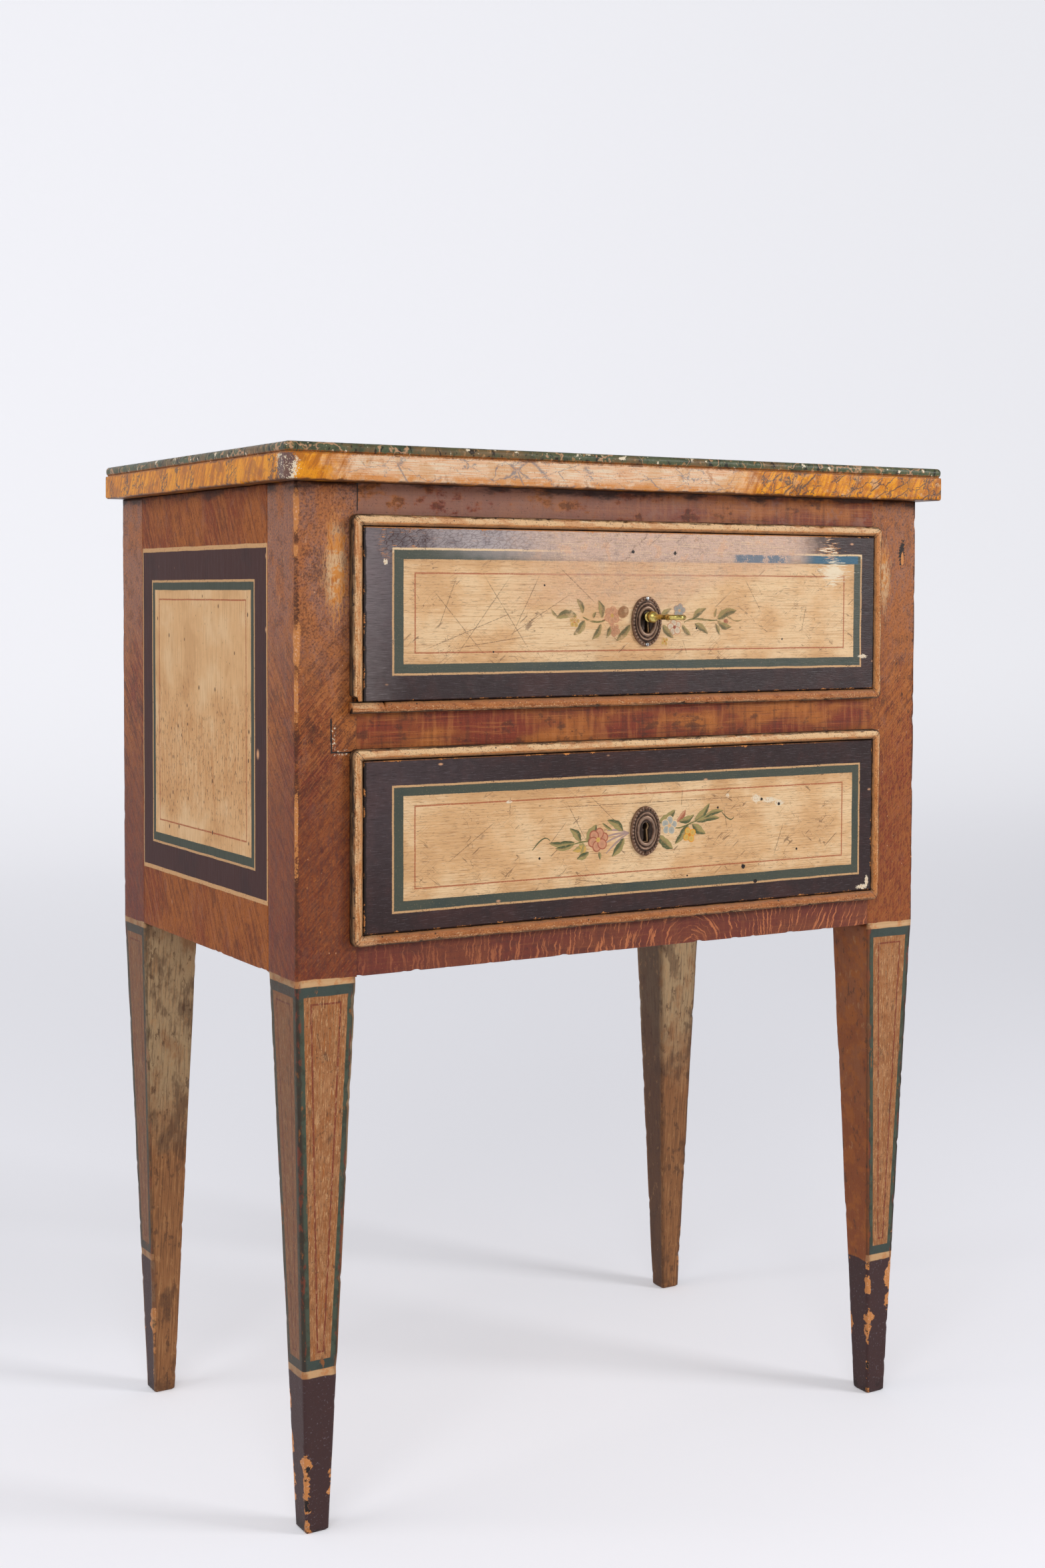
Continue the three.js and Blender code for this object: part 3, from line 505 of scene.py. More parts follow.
    def cracks(self, where: Where, width: float) -> Term:
        """Return thin lines between a texture's cells, the width as a share of a cell.

        Args:
            where: A place, as vector takes it.
            width: Width of a line as a share of a cell.

        Returns:
            A mask of the lines.
        """
        inputs = {"Vector": self.vector(where), "Scale": 1.0}
        cells = self.node("ShaderNodeTexVoronoi", {"feature": "DISTANCE_TO_EDGE"}, inputs)
        return Term(self, cells.outputs["Distance"]).below(0, width)

    def mix(self, factor: Value, first: Tone, second: Tone) -> Socket:
        """Return two colours mixed by a factor."""
        settings = {"data_type": "RGBA", "clamp_factor": True}
        return self.node("ShaderNodeMix", settings, {0: factor, 6: first, 7: second}).outputs[2]

    def layers(self, base: Tone, *coats: tuple) -> Socket:
        """Return a base colour under coats that are laid on in order.

        Args:
            base: The colour below.
            coats: Each is a mask and a colour, or a term, two levels, a strength and a colour. Such
                a coat fades in from the first level to the second, which may be the lower one.

        Returns:
            The colour.
        """
        tone = base
        for mask, *fade, colour in coats:
            if fade:
                start, full, strength = fade
                mask = (mask.above(start, full) if start < full else mask.below(full, start)) * strength
            tone = self.mix(mask, tone, colour)
        return tone

    def attribute(self, name: str) -> Term:
        """Return a named number of the mesh."""
        return Term(self, self.node("ShaderNodeAttribute", {"attribute_name": name}).outputs["Fac"])

    def tint(self) -> Socket:
        """Return the mesh's own colour."""
        return self.node("ShaderNodeAttribute", {"attribute_name": "tint"}).outputs["Color"]

    def relief(self, height: Term, depth: float) -> None:
        """Bend the normal by a height of 0 to 1 that stands for a depth in millimetres."""
        node = self.node("ShaderNodeBump", {}, {"Strength": 1.0, "Distance": depth * MM, "Height": height})
        self.tree.links.new(node.outputs[0], self.surface.inputs["Normal"])

    def set(self, **sockets: object) -> None:
        """Set sockets of the surface; an underscore in a name stands for a space."""
        for key, value in sockets.items():
            self.feed(self.surface.inputs[key.replace("_", " ").title().replace("Ior", "IOR")], value)


# Colours of the paint, the wood and the metal, read as display values

class Hue(Enum):
    """Named colours of the chest, as display values."""

    AUBERGINE = 50, 35, 34
    AUBERGINE_WARM = 70, 42, 38
    # Greyish aubergine: rubbed paint, and painted sheen on the drawers' bands.
    AUBERGINE_WORN_AND_SHEEN = 128, 116, 120
    HAZE = 176, 148, 134
    HAZE_PINK = 208, 172, 150
    PLASTER = 216, 168, 134
    # Grey of the painted sheen on the upper band.
    SHEEN_GREY = 190, 176, 172
    BLUE_GREEN = 74, 78, 66
    BLUE_GREEN_DARK = 56, 66, 64
    RETOUCH_BLUE = 52, 100, 124
    CREAM = 226, 180, 128
    CREAM_PALE = 238, 204, 158
    CREAM_DARK = 192, 142, 92
    CREAM_LINE = 214, 168, 118
    CHALK = 238, 220, 188
    RED_LINE = 170, 88, 52
    BROWN_DARK = 72, 38, 22
    BROWN = 142, 72, 30
    BROWN_RED = 128, 50, 26
    # Mauve brown: patches of the graining, and painted sheen on the top rail and the upper stiles.
    BROWN_MAUVE_AND_SHEEN = 150, 106, 88
    BROWN_LIGHT = 194, 120, 62
    BROWN_OCHRE = 172, 98, 38
    FLAME = 190, 112, 68
    PURPLE_BROWN = 104, 50, 40
    # Near black: dirt, dark joints and holes, and also painted shade in recesses, creases and under the top.
    GRIME_AND_SHADE = 34, 24, 20
    OCHRE = 208, 124, 18
    OCHRE_BRIGHT = 238, 156, 18
    OCHRE_DARK = 164, 94, 30
    TAN = 212, 160, 108
    TAN_PINK = 230, 180, 138
    VEIN = 66, 60, 58
    VEIN_PALE = 122, 120, 124
    VEIN_MAUVE = 92, 74, 78
    GREEN = 86, 92, 64
    GREEN_DARK = 54, 60, 44
    GESSO = 232, 214, 184
    GESSO_PINK = 222, 166, 124
    STRIP = 196, 128, 68
    STRIP_PALE = 230, 188, 138
    STRIP_GREY = 128, 98, 66
    STRIP_DARK = 84, 52, 34
    LEG_FIELD = 156, 100, 58
    LEG_FIELD_PINK = 178, 124, 80
    LEG_INNER = 184, 154, 114
    LEG_INNER_TAN = 148, 98, 58
    LEG_GREEN = 70, 80, 64
    LEG_RED = 128, 56, 34
    LEG_INNER_DARK = 82, 54, 36
    SOCK = 66, 42, 40
    BARE_ORANGE = 206, 134, 72
    PINE = 188, 148, 98
    PINE_DARK = 120, 84, 52
    PINE_GREY = 138, 112, 86
    BRONZE = 112, 80, 60
    BRONZE_LIGHT = 158, 132, 112
    BRONZE_DARK = 34, 26, 22
    BRASS = 206, 184, 106
    BRASS_DARK = 92, 74, 34
    STEEL = 214, 214, 212
    IRON = 62, 58, 54
    RUST = 104, 62, 38
    OLIVE = 116, 116, 62
    OLIVE_DARK = 84, 92, 56
    OLIVE_LIGHT = 160, 148, 90
    SALMON = 208, 146, 110
    SALMON_DARK = 168, 88, 64
    YELLOW = 216, 174, 86
    SKY = 172, 172, 160
    MAUVE = 176, 146, 136

    @property
    def light(self) -> Triple:
        """Return the colour in linear light."""
        return linear(*self.value)


def wood_strokes(paint: Paint, angle: float, across: float, shift: float = 0) -> Term:
    """Return painted graining: noise drawn out along strokes that rise to the right.

    Args:
        paint: The material.
        angle: Angle of the strokes from level, in degrees.
        across: Width of a stroke in millimetres.
        shift: Moves the pattern.

    Returns:
        A term about 0.5 in the mean.
    """
    c, s = math.cos(math.radians(angle)), math.sin(math.radians(angle))
    level = paint.x + paint.y
    along = (level * c + paint.z * s) / (across * 14)
    over = (paint.z * c - level * s) / across
    return paint.noise((along, over + shift, shift), 4, 0.6, 0.3)


def grained_case(paint: Paint, angle: float, shift: float = 0) -> tuple[Socket, Term]:
    """Return the worn reddish brown graining of the case and its relief.

    Args:
        paint: The material.
        angle: Angle of the brush strokes in degrees.
        shift: Moves the pattern.

    Returns:
        The colour and a height.
    """
    hair = wood_strokes(paint, angle, 1.1, shift)
    stroke = wood_strokes(paint, angle, 4.0, shift + 3)
    cloud = paint.noise(paint.place(64, (1, 1, 1.6), shift), 5, 0.62)
    patch = paint.noise(paint.place(15, (1, 1, 1.5), shift + 5), 6, 0.72)
    mottle = paint.noise(paint.place(4.2, (1, 1, 1.5), shift + 8), 5, 0.72)
    fleck = paint.noise(paint.place(1.4, shift=shift), 3, 0.6)
    tone = paint.layers(
        Hue.BROWN, (cloud.above(0.47, 0.55), Hue.BROWN_OCHRE), (cloud, 0.47, 0.4, 0.9, Hue.BROWN_RED),
        (stroke, 0.5, 0.6, 0.55, Hue.BROWN_LIGHT), (stroke, 0.47, 0.38, 0.65, Hue.BROWN_DARK),
        (patch, 0.54, 0.62, 0.4, Hue.BROWN_MAUVE_AND_SHEEN), (patch, 0.46, 0.38, 0.6, Hue.BROWN_DARK),
        (mottle, 0.54, 0.64, 0.45, Hue.BROWN_LIGHT), (mottle, 0.46, 0.36, 0.55, Hue.BROWN_DARK),
        (hair, 0.52, 0.64, 0.45, Hue.BROWN_LIGHT), (hair, 0.48, 0.36, 0.5, Hue.BROWN_DARK),
        (fleck, 0.58, 0.68, 0.45, Hue.BROWN_LIGHT), (fleck, 0.44, 0.36, 0.7, Hue.BROWN_DARK),
        (paint.specks(paint.place(9, (1, 1, 1.6), shift), 0.18, 0.24) * 0.85, Hue.GRIME_AND_SHADE),
        (paint.specks(paint.place(24, (1, 1, 1.4), shift + 2), 0.1, 0.4) * 0.8, Hue.GRIME_AND_SHADE),
        (paint.specks(paint.place(17, (1, 1, 1.9), shift + 4), 0.08, 0.4) * 0.8, Hue.GESSO_PINK),
    )
    return tone, hair * 0.4 + mottle * 0.4 + fleck * 0.2


def dirt_and_shade_under_top(paint: Paint) -> Term:
    """Return a mask for dirt and painted shade in a ragged band just under the top board."""
    ragged = paint.noise(paint.place(12, (3, 3, 1)), 5, 0.66) * 34 - 14
    return (CASE_TOP - paint.z - ragged).below(-3, 4)


@dataclass(frozen=True)
class Rectangle:
    """Edges of a painted rectangle in millimetres: two level ones and two upright ones."""

    left: float
    right: float
    low: float
    high: float

    def inside(self, paint: Paint, level: Term, soft: float = 0.5, wobble: float = 0.5) -> Term:
        """Return 1 inside the rectangle, with edges that waver a little as a hand paints them.

        Args:
            paint: The material.
            level: Place along the face.
            soft: Width of the soft edge.
            wobble: How far the edge wavers.

        Returns:
            The mask.
        """
        waver = paint.noise(26, 2).sway(wobble * 2)
        fuzz = paint.noise(1.1, 1).sway(soft)
        depth = (level - self.left).least(self.right - level).least(
            (paint.z - self.low).least(self.high - paint.z))
        return (depth + waver + fuzz).above(-soft / 2, soft / 2)

    def grown(self, by: float) -> "Rectangle":
        """Return the rectangle with every edge moved out."""
        return Rectangle(self.left - by, self.right + by, self.low - by, self.high + by)

    def frame(self, paint: Paint, level: Term, width: float) -> Term:
        """Return 1 on a thin line just inside the edges."""
        return self.inside(paint, level, 0.5, 0.3) - self.grown(-width).inside(paint, level, 0.5, 0.3)


class CasePaint:
    """Reddish brown graining of the front rails, and bare wood of the inside."""

    flame_middle: float = 62.0
    flame_low: float = 432.0

    def rail(self, name: str, flame: float, shift: float) -> Material:
        """Return the finish of one front rail.

        Args:
            name: Name of the material.
            flame: How strong the orange flame strokes are, 0 to 1.
            shift: Moves the pattern from rail to rail.

        Returns:
            The material.
        """
        paint = Paint(name)
        x, y, z = paint.axes
        streak = paint.noise((x / 60, y / 5, z / 1.6 + shift), 4, 0.62)
        rib = paint.noise((x / 5 + shift, y / 20, z / 50), 3, 0.65)
        wide = paint.noise((x / 70 + shift, 0, z / 30), 3)
        patch = paint.noise(paint.place(12, (1.6, 1, 1), shift), 5, 0.66)
        fleck = paint.noise(paint.place(1.4, shift=shift), 3, 0.6)
        tone = paint.layers(
            Hue.BROWN, (wide.above(0.42, 0.6), Hue.BROWN_RED), (wide.below(0.36, 0.5) * (1 - flame), Hue.BROWN_OCHRE),
            (rib, 0.5, 0.66, 0.35, Hue.BROWN_LIGHT), (rib, 0.48, 0.34, 0.4, Hue.BROWN_DARK),
            (streak, 0.54, 0.7, 0.45, Hue.BROWN_LIGHT), (streak, 0.44, 0.3, 0.5, Hue.BROWN_DARK),
            # Mauve on the top rail: painted sheen over the graining.
            (patch.above(0.56, 0.66) * z.above(780, 795) * 0.5, Hue.BROWN_MAUVE_AND_SHEEN),
            (patch, 0.44, 0.36, 0.6, Hue.BROWN_DARK),
            (z.above(795, 805) * x.below(-150, 260) * patch.above(0.38, 0.5) * 0.8, Hue.BROWN_MAUVE_AND_SHEEN),
            (paint.specks(paint.place(14, (1.5, 1, 1), shift), 0.13, 0.4) * 0.85, Hue.GRIME_AND_SHADE),
        )
        crack = (x + 258.2 + patch.sway(2)).line(0, 0.5, 0.4) * z.above(808, 810)
        tone = paint.mix(crack, tone, Hue.GRIME_AND_SHADE)
        if flame > 0:
            tone = paint.layers(tone, (flame * 0.65, Hue.PURPLE_BROWN), (self._flames(paint, patch) * flame, Hue.FLAME))
        tone = paint.layers(
            tone, (fleck, 0.64, 0.72, 0.4, Hue.BROWN_LIGHT), (fleck, 0.37, 0.3, 0.6, Hue.GRIME_AND_SHADE),
            # Dirt and painted shade just under the top board.
            (dirt_and_shade_under_top(paint) * 0.85, Hue.GRIME_AND_SHADE),
        )
        paint.set(base_color=tone, roughness=fleck * 0.3 + 0.34, specular_ior_level=0.3)
        paint.relief(streak * 0.5 + fleck * 0.5, 0.3)
        return paint.material

    def _flames(self, paint: Paint, patch: Term) -> Term:
        """Return orange strokes that stand upright and bend over each other in an arch.

        The strokes follow lines of the same distance from a point under the rail, a distance in
        which height counts for less than breadth.

        Args:
            paint: The material.
            patch: Ragged patches.

        Returns:
            A mask of the strokes.
        """
        x, z = paint.x, paint.z
        over = x - self.flame_middle
        up = (z - self.flame_low) * 0.8
        ring = over.hypot(up) + patch * 9
        ring = ring - (z - 458) * 0.5 * x.above(120, 180)
        stroke = paint.noise((ring / 2.1, 0, z / 22 + over.math("SIGN") * 4), 2, 0.5)
        return stroke.above(0.54, 0.63) * ((x / 260).above(-1.0, 0.1) * 0.7 + 0.3)

    def inside(self, name: str, grain_axis: int, grey: float) -> Material:
        """Return bare wood with its grain along one axis.

        Args:
            name: Name of the material.
            grain_axis: 0, 1 or 2 for the axis that the grain follows.
            grey: How aged the wood is, 0 to 1.

        Returns:
            The material.
        """
        paint = Paint(name)
        stretch = tuple(16.0 if axis == grain_axis else 1.0 for axis in range(3))
        wave = paint.noise(paint.place(7, stretch), 3, 0.6, 0.4)
        fibre = paint.noise(paint.place(0.9, stretch), 2, 0.6)
        stain = paint.noise(60, 3)
        knot = paint.specks(paint.place(95, stretch), 0.12, 0.35)
        rings = (wave * 9).math("FRACT")
        tone = paint.layers(
            Hue.PINE, (rings, 0.55, 0.95, 0.55, Hue.PINE_DARK), (fibre, 0.5, 0.36, 0.45, Hue.PINE_DARK),
            (knot * 0.7, Hue.STRIP_DARK), (stain.above(0.42, 0.66) * grey, Hue.PINE_GREY),
            (stain.below(0.3, 0.44) * (0.4 + grey * 0.4), Hue.PINE_DARK),
        )
        paint.set(base_color=tone, roughness=0.72 + fibre * 0.2, specular_ior_level=0.3)
        paint.relief(rings * 0.3 + fibre * 0.7, 0.22)
        return paint.material


@dataclass(frozen=True)
class SidePaint:
    """Painted panel of a side board: bands round a cream field."""

    outer: Rectangle = Rectangle(FRONT_Y + 53.4, BACK_Y - 52.6, 497, 784.5)
    inner: Rectangle = Rectangle(FRONT_Y + 78.2, BACK_Y - 76.2, 522, 756)
    cream: Rectangle = Rectangle(FRONT_Y + 86, BACK_Y - 83.5, 531.4, 747.3)
    red: Rectangle = Rectangle(FRONT_Y + 95.6, BACK_Y - 93.2, 542.8, 739.8)
    line: float = 2.0
    level_line: float = 3.6
    red_line: float = 1.3
    stain: Pair = (600.0, 60.0)

    def material(self) -> Material:
        """Return the finish of both side boards.

        Returns:
            The material.
        """
        paint = Paint("side_paint")
        case, height = grained_case(paint, 60, 5)
        grain = paint.noise((paint.y / 1.3, paint.x, paint.z / 34), 4, 0.65)
        blotch = paint.noise(40, 4)
        fine = paint.noise(1.5, 3, 0.6)
        band = paint.layers(
            Hue.AUBERGINE_WARM, (blotch, 0.5, 0.7, 0.4, Hue.AUBERGINE), (grain, 0.6, 0.72, 0.2, Hue.AUBERGINE_WORN_AND_SHEEN),
            (paint.specks(paint.place(30, (1, 1, 1.5)), 0.1, 0.5), Hue.GESSO_PINK),
        )
        green = paint.layers(Hue.BLUE_GREEN, (grain, 0.5, 0.7, 0.4, Hue.GREEN_DARK))
        worn = fine.above(0.3, 0.4)
        level = paint.y
        outer = Rectangle(self.outer.left + self.line, self.outer.right - self.line,
                          self.outer.low + self.level_line, self.outer.high - self.level_line)
        tone = paint.layers(
            case, (0.35, Hue.BROWN), (self.outer.inside(paint, level) * worn * 0.9, Hue.CREAM_LINE),
            (outer.inside(paint, level), band), (self.inner.inside(paint, level) * worn * 0.9, Hue.CREAM_LINE),
            (self.inner.grown(-self.line).inside(paint, level), green),
            (self.cream.inside(paint, level), self._cream(paint, grain, blotch, fine)),
            # Dirt and painted shade just under the top board.
            (dirt_and_shade_under_top(paint) * 0.7, Hue.GRIME_AND_SHADE),
        )
        paint.set(base_color=tone, roughness=grain * 0.3 + 0.38, specular_ior_level=0.14)
        paint.relief(height * 0.5 + grain * 0.5, 0.3)
        return paint.material

    def _cream(self, paint: Paint, grain: Term, blotch: Term, fine: Term) -> Socket:
        """Return the cream field: upright grain, dark dashes, a stain and a thin line.

        Args:
            paint: The material.
            grain: Long grain.
            blotch: Wide clouds.
            fine: Fine specks.

        Returns:
            The colour.
        """
        y, z = paint.y, paint.z
        middle, reach = self.stain
        stained = (abs(z - middle) / reach + blotch.sway(2)).below(0.3, 1.3)
        dash = paint.noise((y / 1.7, 4, z / 6), 3, 0.6)
        holes = paint.specks((y / 7, 2, z / 12), 0.17, 0.4)
        dots = paint.specks((y / 3.2, 6, z / 5.5), 0.15, 0.25)
        return paint.layers(
            Hue.CREAM, (blotch, 0.46, 0.66, 0.5, Hue.CREAM_PALE), (grain, 0.52, 0.36, 0.55, Hue.CREAM_DARK),
            (blotch, 0.46, 0.34, 0.35, Hue.CREAM_DARK), (stained * grain.below(0.4, 0.6) * 0.5, Hue.STRIP),
            (stained * dash.above(0.56, 0.64) * 0.75, Hue.STRIP_DARK),
            (self.red.frame(paint, y, self.red_line) * fine.above(0.3, 0.42) * 0.85, Hue.RED_LINE),
            (dash, 0.66, 0.7, 0.6, Hue.STRIP_DARK), (dots * 0.6, Hue.STRIP_DARK), (holes * 0.9, Hue.BROWN_DARK),
        )


class Wear(Enum):
    """State of a drawer's paint."""

    RUBBED = "rubbed along the top"
    SOUND = "sound"


@dataclass(frozen=True)
class DrawerPaint:
    """Painted field of a drawer front: aubergine, a cream line, a blue-green band, a cream field.

    The lines are placed from the middle of the front, as they were painted, not quite even.
    """

    name: str
    cream_line: Rectangle
    field: Rectangle
    red: Rectangle
    wear: Wear
    seed: float
    scratches: tuple[Quad, ...] = ()
    holes: tuple[Triple, ...] = ()
    flakes: tuple[Quad, ...] = ()
    line: float = 1.7
    red_line: float = 1.2

    def material(self, front: Span) -> Material:
        """Return the finish of the front.

        Args:
            front: The front's box.

        Returns:
            The material.
        """
        paint = Paint(self.name)
        x, y, z = paint.axes
        grain = paint.noise((x / 46 + self.seed, y, z / 0.9), 4, 0.7)
        brush = paint.noise((x / 9 + self.seed, y, z / 0.7), 3, 0.6)
        blotch = paint.noise(paint.place(50, shift=self.seed), 4)
        patch = paint.noise(paint.place(13, shift=self.seed + 3), 5, 0.66)
        fine = paint.noise(paint.place(1.3, shift=self.seed), 3, 0.6)
        # Painted sheen: the left part of the band is lightened, more on the rubbed drawer.
        left = x.below(-250, -60) * z.above(self.field.low - 30, self.field.high)
        bright = 0.5 if self.wear is Wear.RUBBED else 0.2
        band = paint.layers(
            Hue.AUBERGINE, (blotch, 0.46, 0.66, 0.6, Hue.AUBERGINE_WARM), (patch, 0.5, 0.64, 0.35, Hue.AUBERGINE_WARM),
            (left * (patch + 0.2) * bright, Hue.AUBERGINE_WORN_AND_SHEEN), (brush, 0.56, 0.7, 0.2, Hue.AUBERGINE_WORN_AND_SHEEN),
            (brush, 0.42, 0.32, 0.5, Hue.GRIME_AND_SHADE), (fine, 0.64, 0.72, 0.35, Hue.AUBERGINE_WORN_AND_SHEEN),
        )
        green = paint.layers(
            Hue.BLUE_GREEN, (blotch, 0.5, 0.7, 0.6, Hue.BLUE_GREEN_DARK), (brush, 0.56, 0.7, 0.4, Hue.GREEN_DARK),
            (fine, 0.6, 0.7, 0.3, Hue.LEG_INNER),
        )
        # The rubbed drawer's upper band carries a painted sheen.
        if self.wear is Wear.RUBBED:
            band, green = self._sheen_and_rub(paint, band, green, brush, patch, fine)
        worn = (fine * 0.6 + patch * 0.4).above(0.36, 0.46)
        line_hue = Hue.CREAM_LINE
        if self.wear is Wear.RUBBED:
            high = z.above(self.field.high + 4, self.field.high + 6)
            middle = (x + fine.sway(70)).above(-62, -52) * (x + fine.sway(20)).below(162, 168)
            worn = worn * (1 - high * middle)
            line_hue = paint.mix(high, line_hue, Hue.CREAM_PALE)
        inside = self.field.inside(paint, x)
        tone = paint.layers(
            band, (self.cream_line.inside(paint, x) * worn * 0.9, line_hue),
            (self.cream_line.grown(-self.line).inside(paint, x), green),
            (inside, self._cream(paint, grain, brush, blotch, fine)),
        )
        rub: Value = 0.0
        if self.wear is Wear.RUBBED:
            tone, rub = self._rubbed(paint, tone, grain, brush, patch, fine)
        tone = paint.layers(
            self._marked(paint, tone, patch, fine),
            (paint.specks(paint.place(13, (2, 1, 1), self.seed + 1), 0.09, 0.3) * (1 - inside) * 0.8, Hue.GESSO_PINK),
            # Dirt and painted shade in the crease beside the upright mouldings.
            (self._crease_dirt_and_shade(paint, front, patch), Hue.GRIME_AND_SHADE),
            (self._edge_wear(paint, front, patch, fine), Hue.BARE_ORANGE),
            # Painted shade: all that lies more than about 2 mm behind the field's face, round the field and under the
            # mouldings, is laid near black.
            ((y - front.low[1]).above(0.9, 2.4) * 0.95, Hue.GRIME_AND_SHADE),
        )
        gloss = inside * 0.15 + brush * 0.25 + patch * 0.2 + 0.16
        paint.set(base_color=tone, roughness=gloss, specular_ior_level=0.36 if self.wear is Wear.RUBBED else 0.24)
        paint.relief(grain * 0.3 + brush * 0.5 + blotch * 3 + patch * 0.8 + rub * patch * 0.6, 0.3)
        return paint.material

    def _marked(self, paint: Paint, tone: Tone, patch: Term, fine: Term) -> Tone:
        """Lay the scratches, the small holes and the lost flakes over the paint.

        Args:
            paint: The material.
            tone: Colour below.
            patch: Ragged patches.
            fine: Fine specks.

        Returns:
            The colour with its marks.
        """
        rag = patch * 0.5 + fine * 0.5
        for x, z, degrees, half in self.scratches:
            line = paint.scratch(paint.x, (x, z), degrees, half, 0.22)
            tone = paint.mix(line * fine.above(0.36, 0.56) * 0.65, tone, Hue.BROWN_DARK)
        for x, z, half_x, half_z in self.flakes:
            lost = paint.blot(paint.x, (x, z), (half_x, half_z), rag)
            tone = paint.layers(tone, (lost * 0.95, Hue.GESSO), (lost * fine.above(0.56, 0.62), Hue.BARE_ORANGE))
        for x, z, radius in self.holes:
            tone = paint.mix(paint.blot(paint.x, (x, z), (radius, radius), fine * 0.3 + 0.35), tone, Hue.GRIME_AND_SHADE)
        return tone

    def _rubbed(self, paint: Paint, tone: Tone, grain: Term, brush: Term, patch: Term,
                fine: Term) -> tuple[Tone, Term]:
        """Lay a rubbed haze over the upper part, deepest right of the middle.

        Args:
            paint: The material.
            tone: Colour under the haze.
            grain: Long grain.
            brush: Short grain.
            patch: Ragged patches.
            fine: Fine specks.

        Returns:
            The colour and how far the paint is rubbed.
        """
        x, z = paint.x, paint.z
        top = self.field.high + 24.6
        torn = patch.sway(34) + grain.sway(14) + fine.sway(8)
        reach = (x + torn).above(-150, -50) * (x + torn).below(150, 206)
        deep = (x + torn).below(20, 110) * 26 + (x + torn).below(110, 190) * 8 + 28
        rub = (deep - (top - z) + torn * 0.7).above(-9, 9) * reach
        in_field = (self.field.high - z).above(-3, 2)
        bend = paint.noise(paint.place(11, shift=5), 4, 0.6) * 2.4
        islands = paint.cracks((x / 26 + bend, 1, z / 20 + bend), 0.02)
        hue = paint.layers(
            paint.mix(in_field, Hue.HAZE_PINK, Hue.PLASTER), (patch, 0.46, 0.4, 0.5, Hue.HAZE),
            (patch, 0.55, 0.6, 0.5, Hue.GESSO_PINK),
            (islands * (1 - in_field * 0.8) * x.below(60, 90) * x.above(-50, -20) * 0.6, Hue.STRIP_DARK),
            (brush, 0.46, 0.38, 0.4, Hue.STRIP_GREY), (grain, 0.56, 0.64, 0.5, Hue.CREAM_PALE),
            (fine, 0.43, 0.38, 0.5, Hue.HAZE), (fine, 0.58, 0.63, 0.7, Hue.CREAM_PALE),
        )
        blue = self.cream_line.grown(-self.line).inside(paint, x) - self.field.inside(paint, x)
        blue = blue * z.above(772, 773)
        daub = (patch * 0.6 + fine * 0.4).above(0.47, 0.52) * x.above(96, 104) * x.below(150, 168) * 0.8
        vivid = (x + fine.sway(12)).above(168, 192) * x.below(236, 238)
        pale = (abs(x - 209) / 16 + abs(z - 765) / 11 + brush.sway(4.5)).below(0.7, 1.1)
        flaked = (abs(x - 204) / 17 + abs(z - 785) / 8) * 0.14 - brush * 0.7 - grain * 0.3
        return paint.layers(
            tone, (rub * (0.95 - in_field * (1 - brush * 0.5) * 0.5), hue),
            (blue * (daub + vivid * 0.85), Hue.RETOUCH_BLUE), (pale * 0.9, Hue.CHALK),
            (flaked.below(-0.44, -0.42), Hue.BARE_ORANGE), (flaked.below(-0.48, -0.46), Hue.GESSO),
        ), rub

    def _sheen_and_rub(self, paint: Paint, band: Tone, green: Tone, brush: Term, patch: Term, fine: Term) -> tuple[Tone, Tone]:
        """Return the upper part of the band and of the blue-green under a pale, crackled haze of painted sheen, pinker
        where rubbed.

        Args:
            paint: The material.
            band: Colour of the band.
            green: Colour of the blue-green.
            brush: Brush marks.
            patch: Ragged patches.
            fine: Fine specks.

        Returns:
            Both colours under the painted sheen.
        """
        x, z = paint.x, paint.z
        high = (z + patch.sway(14)).above(self.field.high - 4, self.field.high + 8)
        reach = (x + patch.sway(50)).above(-262, -150) * (x + patch.sway(60)).below(150, 206)
        bend = paint.noise(paint.place(7, shift=4), 3) * 1.6
        crackle = paint.cracks((x / 6 + bend, 1, z / 2.6 + bend * 2), 0.13)
        corner = (x + patch.sway(60)).below(-214, -190) * x.above(-248, -236)
        twig = paint.cracks(((x + z) / 7 + bend, 2, (z - x * 0.4) / 3 + bend), 0.09)
        # Painted sheen: grey on the left, pink from the middle on where the paint is rubbed, crossed by crackle.
        haze = paint.layers(
            paint.mix(x.above(-120, 60), Hue.SHEEN_GREY, Hue.HAZE_PINK),
            (patch, 0.48, 0.38, 0.4, Hue.AUBERGINE_WORN_AND_SHEEN), (brush, 0.46, 0.36, 0.35, Hue.AUBERGINE_WORN_AND_SHEEN),
            (crackle * 0.45, Hue.AUBERGINE_WARM), (brush, 0.6, 0.68, 0.4, Hue.GESSO_PINK),
        )
        share = high * reach * (0.92 - x.below(-160, -60) * 0.12)
        band = paint.layers(
            band, ((x + patch.sway(44)).below(-256, -214) * brush * 0.3, Hue.SHEEN_GREY), (share, haze),
            (corner * high * twig * fine.above(0.36, 0.46), Hue.AUBERGINE_WARM),
            (corner * high * (brush * 0.6 + patch * 0.4).above(0.56, 0.6), Hue.BARE_ORANGE),
        )
        # The blue-green on the left takes the grey painted sheen too.
        return band, paint.mix(share * x.above(-220, -120) * 0.6, green, Hue.SHEEN_GREY)

